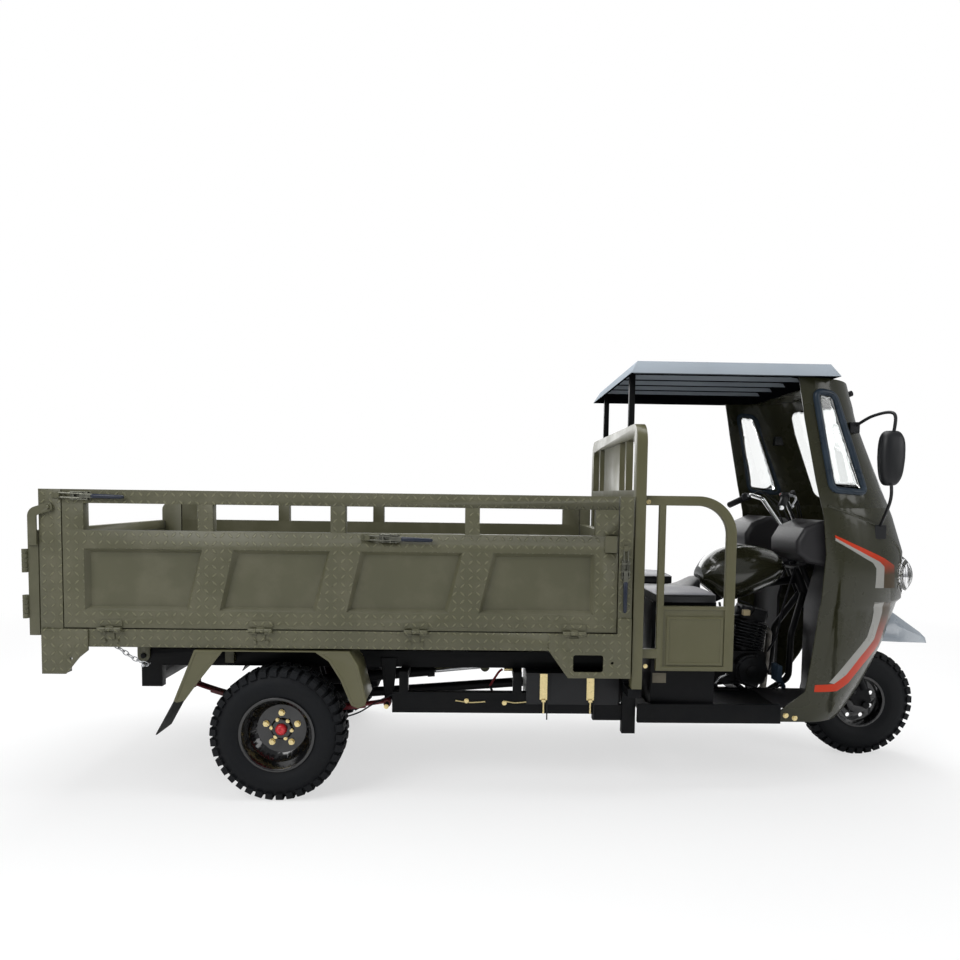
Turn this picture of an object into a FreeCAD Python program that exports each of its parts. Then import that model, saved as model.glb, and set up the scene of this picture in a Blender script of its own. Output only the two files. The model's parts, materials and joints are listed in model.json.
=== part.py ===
"""Three-wheeled cargo tricycle with a half-open cab and a dump bed.

Millimetres, +X forward, +Y to the vehicle's left, +Z up. The origin is on the ground, under the middle of the vehicle.
"""

import FreeCAD
import Part
import math
import os

from FreeCAD import Vector as V

# Overall places

REAR_AXLE_X = -1044.0
WHEELBASE = 2846.0
FRONT_AXLE_X = REAR_AXLE_X + WHEELBASE
REAR_TRACK = 1210.0

# Fits between pieces

FIT = 0.05
SEAT_GAP = 0.3
SHELL_CLEARANCE = 0.5
PIN_CLEARANCE = 0.3

# Wheels

REAR_TYRE_RADIUS = 287.0
FRONT_TYRE_RADIUS = 279.0
REAR_TYRE_WIDTH = 160.0
FRONT_TYRE_WIDTH = 120.0
REAR_SHOULDER = 74.0
FRONT_SHOULDER = 54.0
REAR_BEAD = 156.0
FRONT_BEAD = 128.0
REAR_LUGS = 26
FRONT_LUGS = 28
LUG_HEIGHT = 12.0
LUG_WIDTH = 26.0
LUG_SLANT = 16.0
LUG_GAP = 5.0
LUG_ROOT = 34.0
TYRE_WALL = 14.0
TYRE_FOOT = 20.0
RIM_LIP = 7.0
RIM_LIP_EDGE = 4.0
RIM_WALL = 5.0
WHEEL_DISC = 8.0
HUB_RADIUS = 48.0
HUB_BORE = 18.0
HUB_RAISE = 10.0
DISC_INSET = 30.0
DISC_FLAT = 107.0
DRUM_RADIUS = 104.0
DRUM_DEPTH = 58.0
DRUM_EDGE = 8.0
FRONT_HUB_RADIUS = 62.0
FRONT_HUB_HALF = 44.0
FRONT_DISC_HALF = 4.0
FRONT_HOLE_CIRCLE = 90.0
FRONT_HOLE_RADIUS = 11.0
FRONT_HOLES = 8

# Dump bed

BED_REAR_X = -2042.0
BED_FRONT_X = 475.0
BED_HALF = 650.0
BEAM_BOTTOM = 658.0
BEAM_TOP = 734.0
BEAM_WIDTH = 50.0
BEAM_WALL = 4.0
SIDE_TOP = 1327.0
SIDE_SLIT = 6.0
SIDE_THICK = 45.0
POST_REAR = 93.0
POST_FRONT = 60.0
POST_THICK = 48.0
DOOR_GAP = 5.0
FLOOR_PLATE = 4.0
CROSS_HEIGHT = 44.0
CROSS_WIDTH = 40.0
CROSS_COUNT = 7
RUNNER_Y = 390.0
RUNNER_WIDTH = 40.0
RUNNER_REAR_INSET = 60.0
RUNNER_FRONT_INSET = 28.0
FRONT_WALL_THICK = 40.0
WALL_PANEL_MARGIN = 70.0
WALL_PANEL_SHARE = 0.40
TOP_RAIL = 58.0
SIDE_SLOT = 113.0
SECOND_RAIL = 78.0
BOTTOM_RAIL = 75.0
RIB_PLACES = (-1325.0, -786.0, -221.0)
RIB_WIDTH = 130.0
RIB_LEAN = 60.0
STAY_PLACES = (-1346.0, -787.0, -216.0)
STAY_WIDTH = 63.0
END_STILE = 88.0
FRONT_STILE = 98.0
RECESS_DEPTH = 24.0
RECESS_BEVEL = 16.0
CORNER_PLATE = 8.0
CORNER_PLATE_BOTTOM = 541.0
CORNER_PLATE_RISE = 68.0
REAR_PLATE_LENGTH = 195.0
FRONT_PLATE_LENGTH = 355.0
PLATE_SLOT = ((-250.0, -119.0), (567.0, 642.0))
PLATE_SLOT_CORNER = 12.0
PLATE_FLANGE = 95.0
TIE_HOLE = 6.0
REAR_TIE_X = -1915.0
FRONT_TIE_X = 395.0
TIE_Z = 608.0
SIDE_HINGE_PLACES = (-1748.0, -1113.0, -453.0, 227.0)
SIDE_HINGE_WIDTH = 100.0
SIDE_HINGE_RADIUS = 9.0
SIDE_HINGE_OUT = 16.0
SIDE_HINGE_LEAF = 5.0
SIDE_HINGE_LEAF_HEIGHT = 38.0
SIDE_HINGE_STRAP = 46.0
SIDE_HINGE_CORNER = 10.0
KNUCKLE_GAP = 0.5
HINGE_PIN = 4.0

# Tailgate

GATE_TOP = 1150.0
GATE_BOTTOM = 705.0
GATE_THICK = 43.0
GATE_FRAME = 46.0
GATE_PIVOT_X = -1996.0
GATE_PIVOT_Z = 1251.0
GATE_PIN = 8.0
GATE_EYE = 18.0
GATE_ARM = 8.0
GATE_ARM_WIDTH = 36.0
GATE_ARM_REACH = 68.0
GATE_ARM_DROP = 22.0
GATE_ARM_LAP = 60.0
GATE_ARM_BEND = 24.0
GATE_LEAF_RIM = 45.0
LEAF_HINGE_PLACES = (1023.0, 828.0)
LEAF_HINGE_HEIGHT = 100.0
LEAF_HINGE_RADIUS = 12.0
LEAF_HINGE_PLATE = 6.0
LEAF_HINGE_REACH = 120.0
LEAF_HINGE_BLOCK = 58.0
LEAF_KNUCKLES = 5

# Lift cylinder under the bed

LIFT_Y = -170.0
LIFT_EYE_X = -150.0
LIFT_EYE_Z = 480.0
LIFT_FOOT_X = -960.0
LIFT_FOOT_Z = 400.0
LIFT_BORE = 10.0
LIFT_BARREL = 27.0
LIFT_GLAND = 5.0
LIFT_GLAND_LENGTH = 34.0
LIFT_ROD = 14.0
LIFT_MOUTH = 562.0
LIFT_BOTTOM = 54.0
LIFT_ROD_END = 60.0
LIFT_EYE_HALF = 28.0
LIFT_EYE_RADIUS = 21.0
LIFT_EAR = 10.0
LIFT_EAR_GAP = 4.0
LIFT_EAR_HALF = 60.0
LIFT_FOOT_EAR = 12.0
LIFT_BEAM = 45.0

# Chassis

RAIL_TOP = 600.0
RAIL_HEIGHT = 75.0
RAIL_WIDTH = 40.0
RAIL_REAR_X = -1731.0
RAIL_FRONT_X = 470.0
RAIL_NICK = 14.0
RAIL_PAD_PLACES = (-1300.0, -300.0, 380.0)
RAIL_PAD_LENGTH = 60.0
RAIL_CROSS_PLACES = (RAIL_REAR_X, -1320.0, -60.0, 380.0)
RAIL_CROSS_WIDTH = 45.0
UNDERRUN_DROP = 100.0
UNDERRUN_LENGTH = 93.0
BED_PAD = 6.0
BED_PIVOT_BACK = 15.0
BED_PIVOT_DROP = 30.0
BED_PIVOT_RADIUS = 12.0
BED_PIVOT_EAR = 28.0
BED_PIVOT_GAP = 2.0
LOW_RAIL_TOP = 432.0
LOW_RAIL_BOTTOM = 338.0
LOW_RAIL_Y = 500.0
LOW_RAIL_REAR_X = -571.0
LOW_RAIL_STEP_X = 35.0
LOW_RAIL_STEP_TOP = 380.7
LOW_RAIL_END_X = 340.0
LOW_RAIL_END_Z = 309.0
LOW_RAIL_HANGERS = (-540.0, -25.0)
DECK_TOP = 398.0
DECK_BOTTOM = 312.0
DECK_REAR_X = 535.0
DECK_FRONT_X = 1185.0
DECK_HALF = 545.0
DECK_EDGE = 24.0
DECK_PLATE = 6.0
DECK_RISE = 60.0
DECK_INNER_Y = 217.0
CAB_RAIL_Y = 215.0
CAB_RAIL_WIDTH = 40.0
CAB_CROSS_PLACES = (600.0, 1140.0)
POST_LEN = 60.0
POST_BOTTOM = 255.0
POST_TOP = 640.0
POST_OUT = 25.0
HEADBOARD_FOOT_Z = 490.0
CRADLE_Y = 120.0
CRADLE_Z = 350.0
CRADLE_RADIUS = 16.0
CRADLE_BEND = 55.0
CRADLE_FRONT = ((1405.0, 110.0, 640.0), (1395.0, CRADLE_Y, 420.0), (1290.0, CRADLE_Y, CRADLE_Z))
CRADLE_REAR = ((760.0, CRADLE_Y, CRADLE_Z), (700.0, CRADLE_Y, 420.0), (690.0, CRADLE_Y, 560.0))
BACKBONE_RADIUS = 20.0
BACKBONE_BEND = 80.0
BACKBONE_PLACES = ((1180.0, 868.0), (940.0, 760.0), (700.0, 760.0))
TANK_MOUNT = (1190.0, 870.0)
TANK_MOUNT_RADIUS = 12.0
BULKHEAD_X = 680.0
BULKHEAD_THICK = 25.0
BULKHEAD_LOW = 540.0
BULKHEAD_TOP = 790.0

# Rear springs and axle

SPRING_Y = 452.0
SPRING_WIDTH = 50.0
SPRING_BOLT = 8.7
SPRING_EYE = 17.0
SPRING_LEAF = 9.0
SPRING_HALVES = (440.0, 350.0, 260.0, 170.0)
SPRING_RISE = 62.0
SPRING_SEAT_RISE = 66.0
SPRING_FRONT_X = -596.0
SPRING_FRONT_Z = 372.0
SPRING_REAR_X = -1470.0
SPRING_REAR_Z = 455.0
SHACKLE_TOP_Z = 505.0
SHACKLE_PLATE = 6.0
SHACKLE_HALF = 14.0
HANGER_PLATE = 8.0
HANGER_RISE = 45.0
HANGER_BOSS = 18.0
HANGER_BORDER = 7.0
HANGER_POCKET = 3.0
FRONT_HANGER_WIDTH = 78.0
FRONT_HANGER_BOLT = 72.0
REAR_HANGER_WIDTH = 70.0
AXLE_BEAM = 36.0
AXLE_END = 96.0
AXLE_CASE = 112.0
AXLE_CASE_HALF = 88.0
AXLE_NOSE = (70.0, 42.0, 120.0)
AXLE_PAD_HALF = 55.0
PROP_END = (996.5, 430.0)
PROP_RADIUS = 24.0
PROP_JOINT = 38.0
PROP_JOINT_LENGTH = 60.0

# Fenders and tool box

FENDER_TOP = 648.0
FENDER_WALL = 4.0
FENDER_INNER_Y = 490.0
FENDER_OUTER_Y = 660.0
FENDER_LEGS = (
    (-1485.0, 427.0),
    (-1396.0, FENDER_TOP),
    (-737.0, FENDER_TOP),
    (-700.0, 590.0),
    (-662.0, 440.0),
)
FENDER_REAR_SKIRT = ((-1470.0, 420.0), (-1438.0, 430.0), (-1380.0, 510.0), (-1272.0, FENDER_TOP))
FENDER_FRONT_SKIRT = ((-668.0, 414.0), (-700.0, 402.0), (-728.0, 414.0), (-775.0, 525.0), (-825.0, 605.0))
FENDER_FRONT_ROOT_X = -888.0
FENDER_BORDER = 11.0
FENDER_POCKET = 2.0
FENDER_BRACKET_PLACES = (-1340.0, -860.0)
FENDER_BRACKET = 40.0
FLAP_DROP = 147.7
FLAP_BACK = 80.0
FLAP_THICK = 6.0
TOOL_BOX_X = (35.0, 455.0)
TOOL_BOX_Y = (-505.0, -255.0)
TOOL_BOX_BOTTOM = 381.0
TOOL_BOX_WALL = 4.0
TOOL_STRAP_PLACES = (113.0, 325.0)
TOOL_STRAP_WIDTH = 34.0
TOOL_STRAP = 2.0
TOOL_STRAP_ROD = 3.0
TOOL_STRAP_BOTTOM = 312.0

# Steering

RAKE = 24.0
FORK_TRAIL_OFFSET = 35.0
HEAD_LOW = 560.0
HEAD_HIGH = 760.0
HEAD_RADIUS = 30.0
STEM_RADIUS = 16.0
LEG_SPREAD = 95.0
LEG_PITCH = 62.0
LEG_RADIUS = 17.0
LEG_SLIDER = 4.0
LEG_START = 60.0
LEG_STEP = 330.0
CLAMP_REACH = 24.0
CLAMP_BACK = 28.0
CLAMP_BACK_HALF = 46.0
LOW_CLAMP = 20.0
HIGH_CLAMP = 14.0
CLAMP_GAP = 6.0
AXLE_REACH = 26.0
FOOT_PLATE = 14.0
GUARD_SEAT_Z = 612.0
GUARD_SEAT_X = (1600.0, 1690.0)
GUARD_SEAT_THICK = 8.0
MUDGUARD_SHEET = 4.0
BAR_RADIUS = 11.0
BAR_BEND = 22.0
BAR_CLAMP_RISE = 34.3
BAR_CLAMP_AHEAD = 40.0
BAR_CLAMP_RADIUS = 14.0
BAR_CLAMP_HALF = 54.0
BAR_TURNS = ((1335.0, 150.0, 1325.0), (1300.0, 230.0, 1345.0), (1225.0, 370.0, 1285.0))
GRIP_RADIUS = 17.0
GRIP_START = 45.0
GRIP_LENGTH = 118.0

# Engine, exhaust and tank

CASE_X = (1000.0, 1290.0)
CASE_Z = (375.0, 545.0)
CASE_HALF = 85.0
CASE_CORNER = 26.0
CLUTCH_PLACE = (1200.0, 455.0)
CLUTCH_RADIUS = 82.0
CLUTCH_REACH = 142.0
SPROCKET_PLACE = (1075.0, 450.0)
SPROCKET_RADIUS = 60.0
COVER_STEP = 12.0
COVER_RAISE = 9.0
COVER_CAP = 28.0
COVER_BOSS = 9.0
COVER_BOSSES = 5
SPROCKET_REACH = 122.0
ENGINE_LUG_X = (1180.0, 1220.0)
CYLINDER_TILT = 12.0
CYLINDER_FOOT = (1195.0, 540.0)
CYLINDER_RADIUS = 58.0
CYLINDER_HEIGHT = 200.0
FIN_COUNT = 9
FIN_PITCH = 16.0
FIN_THICK = 7.0
FIN_START = 18.0
FIN_HALF = 80.0
FIN_CORNER = 26.0
HEAD_START = 165.0
HEAD_BLOCK_HALF = 62.0
HEAD_BLOCK_HEIGHT = 60.0
HEAD_CAP_RADIUS = 24.0
PORT_Y = 40.0
PORT_Z = 640.0
PORT_X = (1216.0, 1312.0)
PORT_RADIUS = 24.0
INTAKE_Z = 700.0
CARB_X = (1020.0, 1085.0)
CARB_HALF = 38.0
CARB_Z = (655.0, 745.0)
CARB_BOWL_RADIUS = 26.0
AIR_BOX_X = (840.0, 965.0)
AIR_BOX_HALF = 80.0
AIR_BOX_Z = (640.0, 735.0)
PIPE_RADIUS = 17.0
PIPE_BEND = 30.0
PIPE_PLACES = ((1352.0, PORT_Y, PORT_Z), (1340.0, 70.0, 300.0), (1000.0, 150.0, 285.0), (640.0, 150.0, 265.0))
SILENCER_RADIUS = 50.0
SILENCER_LENGTH = 460.0
TANK_STATIONS = (
    (955.0, 880.0, 965.0, 85.0),
    (1027.0, 830.0, 1056.0, 120.0),
    (1088.0, 803.0, 1081.0, 138.0),
    (1232.0, 834.0, 1086.0, 145.0),
    (1325.0, 880.0, 1064.0, 125.0),
    (1372.0, 932.0, 1015.0, 80.0),
)
TANK_POINTS = 10
TANK_WAIST = 0.92
TANK_TUNNEL_HALF = 28.0
TANK_TUNNEL_TOP = 925.0

# Seats

SEAT_RISE = 0.3
SEAT_REAR_X = 612.0
SEAT_HALF = 190.0
SEAT_FRONT_X = 949.0
SEAT_TOP = 862.0
SEAT_HORN_TOP = 925.0
SIDE_SEAT_X = (600.0, 885.0)
SIDE_SEAT_Y = (215.0, 550.0)
SIDE_SEAT_Z = (858.0, 905.0)
SIDE_SEAT_CORNER = 18.0
SEAT_BOX_X = (596.0, 885.0)
SEAT_BOX_INNER_Y = 262.0
SEAT_BOX_INSET = 27.0
SEAT_BOX_WALL = 6.0

# Cab frame and roof

HEADBOARD_X = 485.0
HEADBOARD_HALF = 640.0
HEADBOARD_TOP = 1645.0
HEADBOARD_DEPTH = 44.0
HEADBOARD_WIDTH = 62.0
HEADBOARD_BOTTOM = 560.0
HEADBOARD_BAR_TOP = 1356.0
HEADBOARD_BAR = 42.0
HEADBOARD_LOW_BAR = 800.0
HEADBOARD_CORNER = 90.0
HEADBOARD_PANEL_HALF = 220.0
HEADBOARD_SLATS = (-388.0, 354.0)
HEADBOARD_SLAT_WIDTH = 34.0
HEADBOARD_SLEEVE = 80.0
GUARD_THICK = 28.0
GUARD_INSET = 30.0
GUARD_TUBE = 42.0
GUARD_FRONT_X = 915.0
GUARD_TOP = 1312.0
GUARD_BOTTOM = 565.0
GUARD_START_X = 565.0
GUARD_BEND = 150.0
GUARD_POST_X = (596.0, 624.0)
GUARD_PANEL_TOP = 850.0
GUARD_CAP = 15.0
GUARD_FOOT = 20.0
GUARD_RAISED_X = (640.0, 890.0)
GUARD_RAISED_Z = (590.0, 805.0)
GUARD_RAISED_BORDER = 12.0
GUARD_RAISED_DEPTH = 3.0
GUARD_SHEET = 6.0
ROOF_REAR_X = 469.0
ROOF_FRONT_X = 1400.0
ROOF_HALF = 543.0
ROOF_EDGE_Z = 1868.0
ROOF_RISE = 58.0
ROOF_CROWN = 22.0
ROOF_SLOPE = 34.0
ROOF_CROWN_INSET = 190.0
ROOF_WALL = 12.0
ROOF_RIB = 26.0
ROOF_RIB_PLACES = (-345.0, -172.0, 0.0, 172.0, 345.0)
ROOF_RIB_HALF = 16.0
STRUT_X = (16.0, 42.0)
STRUT_Y = (330.0, 360.0)

# Cab shell levels: height, rear edge, centre of the rounded nose, its length and half width

SHELL_LEVELS = (
    (306.0, 1195.0, 1330.0, 300.0, 497.0),
    (352.0, 1189.0, 1345.0, 325.0, 504.0),
    (448.0, 1307.0, 1365.0, 378.0, 510.0),
    (560.0, 1325.0, 1390.0, 418.0, 511.0),
    (650.0, 1337.0, 1405.0, 450.0, 512.0),
    (836.0, 1358.0, 1414.0, 508.0, 512.0),
    (856.0, 1360.0, 1415.0, 530.0, 521.0),
    (1080.0, 1375.0, 1430.0, 508.0, 521.0),
    (1250.0, 1358.0, 1415.0, 457.0, 520.0),
    (1410.0, 1320.0, 1375.0, 424.0, 510.0),
    (1690.0, 1262.0, 1315.0, 351.0, 500.0),
    (1867.7, 1230.0, 1284.0, 322.0, 500.0),
)
SHELL_SPREAD = 22.5
SHELL_WALL = 8.0
SHELL_BACK = 40.0
SHELL_SPLIT_Z = 1290.0
COWL_SEAM_X = 1435.0
SHELL_TOP_PANEL_X = 1392.0
ARCH_PLACES = ((340.0, 200.0), (330.0, 640.0), (250.0, 770.0), (150.0, 800.0))
SIDE_WINDOW = ((1318.0, 1794.0), (1388.0, 1784.0), (1541.0, 1368.0), (1399.0, 1389.0))
SIDE_WINDOW_CORNER = 14.0
FRONT_WINDOW_LOW = (350.0, 1330.0)
FRONT_WINDOW_HIGH = (325.0, 1810.0)
FRONT_WINDOW_CORNER = 45.0
GLASS_OUT = 1.5
GLASS_IN = 6.5

# Inside and on the cab shell

SHIELD_INNER_Y = 165.0
SHIELD_OUTER_Y = 560.0
SHIELD_WALL = 12.0
SHIELD_FOOT_Z = 371.0
SHIELD_FOOT = 6.0
SHIELD_X = 1440.0
SHIELD_LEAN = ((1488.0, 1004.0), (1548.0, 1136.0))
CONSOLE_OUTER_Y = 490.0
CONSOLE_CORNER = 26.0
CONSOLE_PLACES = (
    (1492.0, 1004.0),
    (1312.0, 1036.0),
    (1258.0, 1076.0),
    (1256.0, 1136.0),
    (1290.0, 1196.0),
    (1372.0, 1232.0),
    (1470.0, 1226.0),
    (1552.0, 1134.0),
)
LAMP_CENTRE = (1808.0, 240.0, 965.0)
LAMP_RADIUS = 112.0
MIRROR_X = (1545.0, 1655.0)
MIRROR_Y = (590.0, 640.0)
MIRROR_Z = (1390.0, 1630.0)
MIRROR_CORNER = 22.0
MIRROR_ARM = 7.0
MIRROR_BEND = 22.0
MIRROR_HIGH_ARM = (
    (1515.0, 425.0, 1655.0),
    (1555.0, 530.0, 1700.0),
    (1600.0, 615.0, 1700.0),
    (1600.0, 615.0, 1560.0),
)
MIRROR_LOW_ARM = ((1600.0, 615.0, 1400.0), (1600.0, 615.0, 1325.0), (1645.0, 452.0, 1196.0))
MIRROR_HIGH_FOOT = ((1492.0, 395.0, 1630.0), (1538.0, 452.0, 1680.0))
MIRROR_LOW_FOOT = ((1612.0, 425.0, 1150.0), (1668.0, 476.0, 1215.0))
PEDAL_ARM = ((1345.0, -136.3, 386.7), (1345.0, -200.0, 386.7), (1301.0, -200.0, 465.0))
PEDAL_ARM_RADIUS = 9.0
PEDAL_BEND = 18.0
PEDAL_PAD = ((1290.0, -240.0, 425.0), (1312.0, -160.0, 505.0))


def box(x0, x1, y0, y1, z0, z1):
    return Part.makeBox(x1 - x0, y1 - y0, z1 - z0, V(x0, y0, z0))


def rod(start, end, radius):
    axis = end.sub(start)
    return Part.makeCylinder(radius, axis.Length, start, axis)


def rod_y(x, z, y0, y1, radius):
    return Part.makeCylinder(radius, y1 - y0, V(x, y0, z), V(0, 1, 0))


def prism(points, travel):
    outline = Part.makePolygon(points + [points[0]])
    return Part.Face(outline).extrude(travel)


def plate_y(outline, y0, y1):
    """A plate whose outline is given in X and Z, from y0 to y1."""
    return prism([V(x, y0, z) for x, z in outline], V(0, y1 - y0, 0))


def plate_x(outline, x0, x1):
    """A plate whose outline is given in Y and Z, from x0 to x1."""
    return prism([V(x0, y, z) for y, z in outline], V(x1 - x0, 0, 0))


def plate_z(outline, z0, z1):
    """A plate whose outline is given in X and Y, from z0 to z1."""
    return prism([V(x, y, z0) for x, y in outline], V(0, 0, z1 - z0))


def fuse(solids):
    whole = solids[0].fuse(solids[1:]) if len(solids) > 1 else solids[0]
    return whole.removeSplitter()


def bordered_plate_y(outline, y0, y1, border, pocket):
    """A plate in X and Z from y0 to y1, with a shallow pocket inside a raised border at y1."""
    plate = plate_y(outline, y0, y1)
    face = Part.Face(Part.makePolygon([V(x, y1 - pocket, z) for x, z in outline + [outline[0]]]))
    inner = face.makeOffset2D(-border)
    return plate.cut(inner.extrude(V(0, pocket + 1.0, 0)))


def mirrored(shape):
    return shape.mirror(V(0, 0, 0), V(0, 1, 0))


def both(shape):
    return [shape, mirrored(shape)]


def round_edges(shape, radius, chosen):
    edges = [edge for edge in shape.Edges if chosen(edge)]
    return shape.makeFillet(radius, edges) if edges else shape


def along(edge, direction):
    """True for a straight edge that runs along the direction."""
    if not isinstance(edge.Curve, Part.Line):
        return False
    return abs(abs(edge.tangentAt(edge.FirstParameter).dot(direction)) - 1.0) < 1e-6


def rounded_path(points, radius):
    """Straight runs joined by tangent arcs of one radius."""
    edges = []
    start = points[0]
    for before, corner, after in zip(points, points[1:], points[2:]):
        back = before.sub(corner).normalize()
        onward = after.sub(corner).normalize()
        half = back.getAngle(onward) / 2.0
        reach = radius / math.tan(half)
        into = corner.add(V(back).multiply(reach))
        out = corner.add(V(onward).multiply(reach))
        bisector = back.add(onward).normalize()
        centre = corner.add(V(bisector).multiply(radius / math.sin(half)))
        middle = centre.sub(V(bisector).multiply(radius))
        edges.append(Part.LineSegment(start, into).toShape())
        edges.append(Part.Arc(into, middle, out).toShape())
        start = out
    edges.append(Part.LineSegment(start, points[-1]).toShape())
    return Part.Wire(edges)


def bent_rod(points, radius, bend):
    """A round rod of straight runs joined by tangent bends of one radius."""
    pieces = []
    start = points[0]
    for before, corner, after in zip(points, points[1:], points[2:]):
        back = before.sub(corner).normalize()
        onward = after.sub(corner).normalize()
        turn = math.pi - back.getAngle(onward)
        reach = bend * math.tan(turn / 2.0)
        into = corner.add(V(back).multiply(reach))
        out = corner.add(V(onward).multiply(reach))
        bisector = back.add(onward).normalize()
        centre = corner.add(V(bisector).multiply(bend / math.cos(turn / 2.0)))
        heading = V(back).multiply(-1.0)
        axis = into.sub(centre).cross(heading).normalize()
        disc = Part.Face(Part.Wire(Part.Circle(into, heading, radius).toShape()))
        pieces.append(rod(start, into, radius))
        pieces.append(disc.revolve(centre, axis, math.degrees(turn)))
        start = out
    pieces.append(rod(start, points[-1], radius))
    return fuse(pieces)


def bent_flat_y(points, width, y0, y1, bend):
    """A flat bar of one width, bent in the X and Z plane, from y0 to y1."""
    flat = [V(x, y0, z) for x, z in points]
    path = rounded_path(flat, bend)
    direction = flat[1].sub(flat[0]).normalize()
    side = V(direction.z, 0, -direction.x).multiply(width / 2.0)
    corners = [
        flat[0].add(side),
        flat[0].sub(side),
        flat[0].sub(side).add(V(0, y1 - y0, 0)),
        flat[0].add(side).add(V(0, y1 - y0, 0)),
    ]
    section = Part.makePolygon(corners + [corners[0]])
    return path.makePipeShell([section], True, False)


def revolve_y(profile, x, z):
    """A ring about the line through x and z along Y; the profile is in radius and Y."""
    points = [V(x + radius, y, z) for radius, y in profile]
    face = Part.Face(Part.makePolygon(points + [points[0]]))
    return face.revolve(V(x, 0, z), V(0, 1, 0), 360)


def save(name, solids):
    shape = solids[0] if len(solids) == 1 else Part.makeCompound(solids)
    shape.exportStep("parts/" + name + ".step")


# Dump bed


def channel_beam(side):
    """An edge beam: a channel along X with its web outside."""
    outer = box(BED_REAR_X, BED_FRONT_X, BED_HALF - BEAM_WIDTH, BED_HALF, BEAM_BOTTOM, BEAM_TOP)
    hollow = box(
        BED_REAR_X,
        BED_FRONT_X,
        BED_HALF - BEAM_WIDTH,
        BED_HALF - BEAM_WALL,
        BEAM_BOTTOM + BEAM_WALL,
        BEAM_TOP - BEAM_WALL,
    )
    beam = outer.cut(hollow)
    return beam if side > 0 else mirrored(beam)


def cross_member(x):
    low = BEAM_TOP - FLOOR_PLATE - CROSS_HEIGHT
    half = BED_HALF - BEAM_WALL
    member = box(x, x + CROSS_WIDTH, -half, half, low, BEAM_TOP - FLOOR_PLATE)
    ends = box(x, x + CROSS_WIDTH, -half, half, BEAM_TOP - BEAM_WALL, BEAM_TOP)
    return member.cut(ends)


def rear_corner_plate():
    x0 = BED_REAR_X + BEAM_WALL
    x1 = x0 + REAR_PLATE_LENGTH
    outline = [
        (x0, BEAM_TOP),
        (x1, BEAM_TOP),
        (x1, BEAM_BOTTOM - 15.0),
        (x1 - 38.0, BEAM_BOTTOM - 46.0),
        (x0 + 100.0, CORNER_PLATE_BOTTOM),
        (x0, CORNER_PLATE_BOTTOM),
    ]
    plate = plate_y(outline, BED_HALF, BED_HALF + CORNER_PLATE)
    plate = plate.cut(rod_y(REAR_TIE_X, TIE_Z, BED_HALF - 1.0, BED_HALF + CORNER_PLATE + 1.0, TIE_HOLE))
    flange = box(x0, x0 + PLATE_FLANGE, BED_HALF - BEAM_WIDTH, BED_HALF, CORNER_PLATE_BOTTOM, BEAM_BOTTOM)
    return fuse([plate, flange])


def front_corner_plate():
    x1 = BED_FRONT_X
    x0 = x1 - FRONT_PLATE_LENGTH
    outline = [
        (x0, BEAM_TOP),
        (x0, BEAM_BOTTOM),
        (x0 + 84.0, CORNER_PLATE_BOTTOM),
        (x1, CORNER_PLATE_BOTTOM),
        (x1, BEAM_TOP + CORNER_PLATE_RISE),
        (x1 - POST_FRONT, BEAM_TOP + CORNER_PLATE_RISE),
        (x1 - POST_FRONT, BEAM_TOP),
    ]
    plate = plate_y(outline, BED_HALF, BED_HALF + CORNER_PLATE)
    (slot_rear, slot_front), (slot_low, slot_high) = PLATE_SLOT
    slot = box(x1 + slot_rear, x1 + slot_front, BED_HALF, BED_HALF + CORNER_PLATE, slot_low, slot_high)
    slot = round_edges(slot, PLATE_SLOT_CORNER, lambda edge: along(edge, V(0, 1, 0)))
    plate = plate.cut(rod_y(FRONT_TIE_X, TIE_Z, BED_HALF - 1.0, BED_HALF + CORNER_PLATE + 1.0, TIE_HOLE))
    hinge_x = SIDE_HINGE_PLACES[-1]
    half = SIDE_HINGE_WIDTH / 5.0
    notch = box(hinge_x - half, hinge_x + half, BED_HALF, BED_HALF + CORNER_PLATE, BEAM_TOP - half, BEAM_TOP)
    plate = plate.cut(notch)
    flange = box(x1 - POST_FRONT, x1, BED_HALF - BEAM_WIDTH, BED_HALF, CORNER_PLATE_BOTTOM, BEAM_BOTTOM)
    return fuse([plate.cut(slot), flange])


def hinge_axis_y():
    return BED_HALF + SIDE_HINGE_OUT


def hinge_axis_z():
    return BEAM_TOP + SIDE_SLIT / 2.0


def side_hinge_low(x):
    """The bed's half of a drop side hinge: strap, two outer knuckles and the pin."""
    y = hinge_axis_y()
    z = hinge_axis_z()
    third = SIDE_HINGE_WIDTH / 3.0
    face_y = BED_HALF + SIDE_HINGE_LEAF
    strap = box(x - third / 2.0, x + third / 2.0, BED_HALF, face_y, z - SIDE_HINGE_STRAP, z - 14.0)
    knuckles = []
    for start in (x - SIDE_HINGE_WIDTH / 2.0, x + third / 2.0 + KNUCKLE_GAP):
        end = start + third - KNUCKLE_GAP
        knuckle = rod(V(start, y, z), V(end, y, z), SIDE_HINGE_RADIUS)
        lug = box(start, end, BED_HALF, y, z - SIDE_HINGE_RADIUS - 6.0, z - SIDE_HINGE_RADIUS + 4.0)
        knuckles += [knuckle, lug]
    pin = rod(V(x - SIDE_HINGE_WIDTH / 2.0, y, z), V(x + SIDE_HINGE_WIDTH / 2.0, y, z), HINGE_PIN)
    return fuse([strap, pin] + knuckles)


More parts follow.
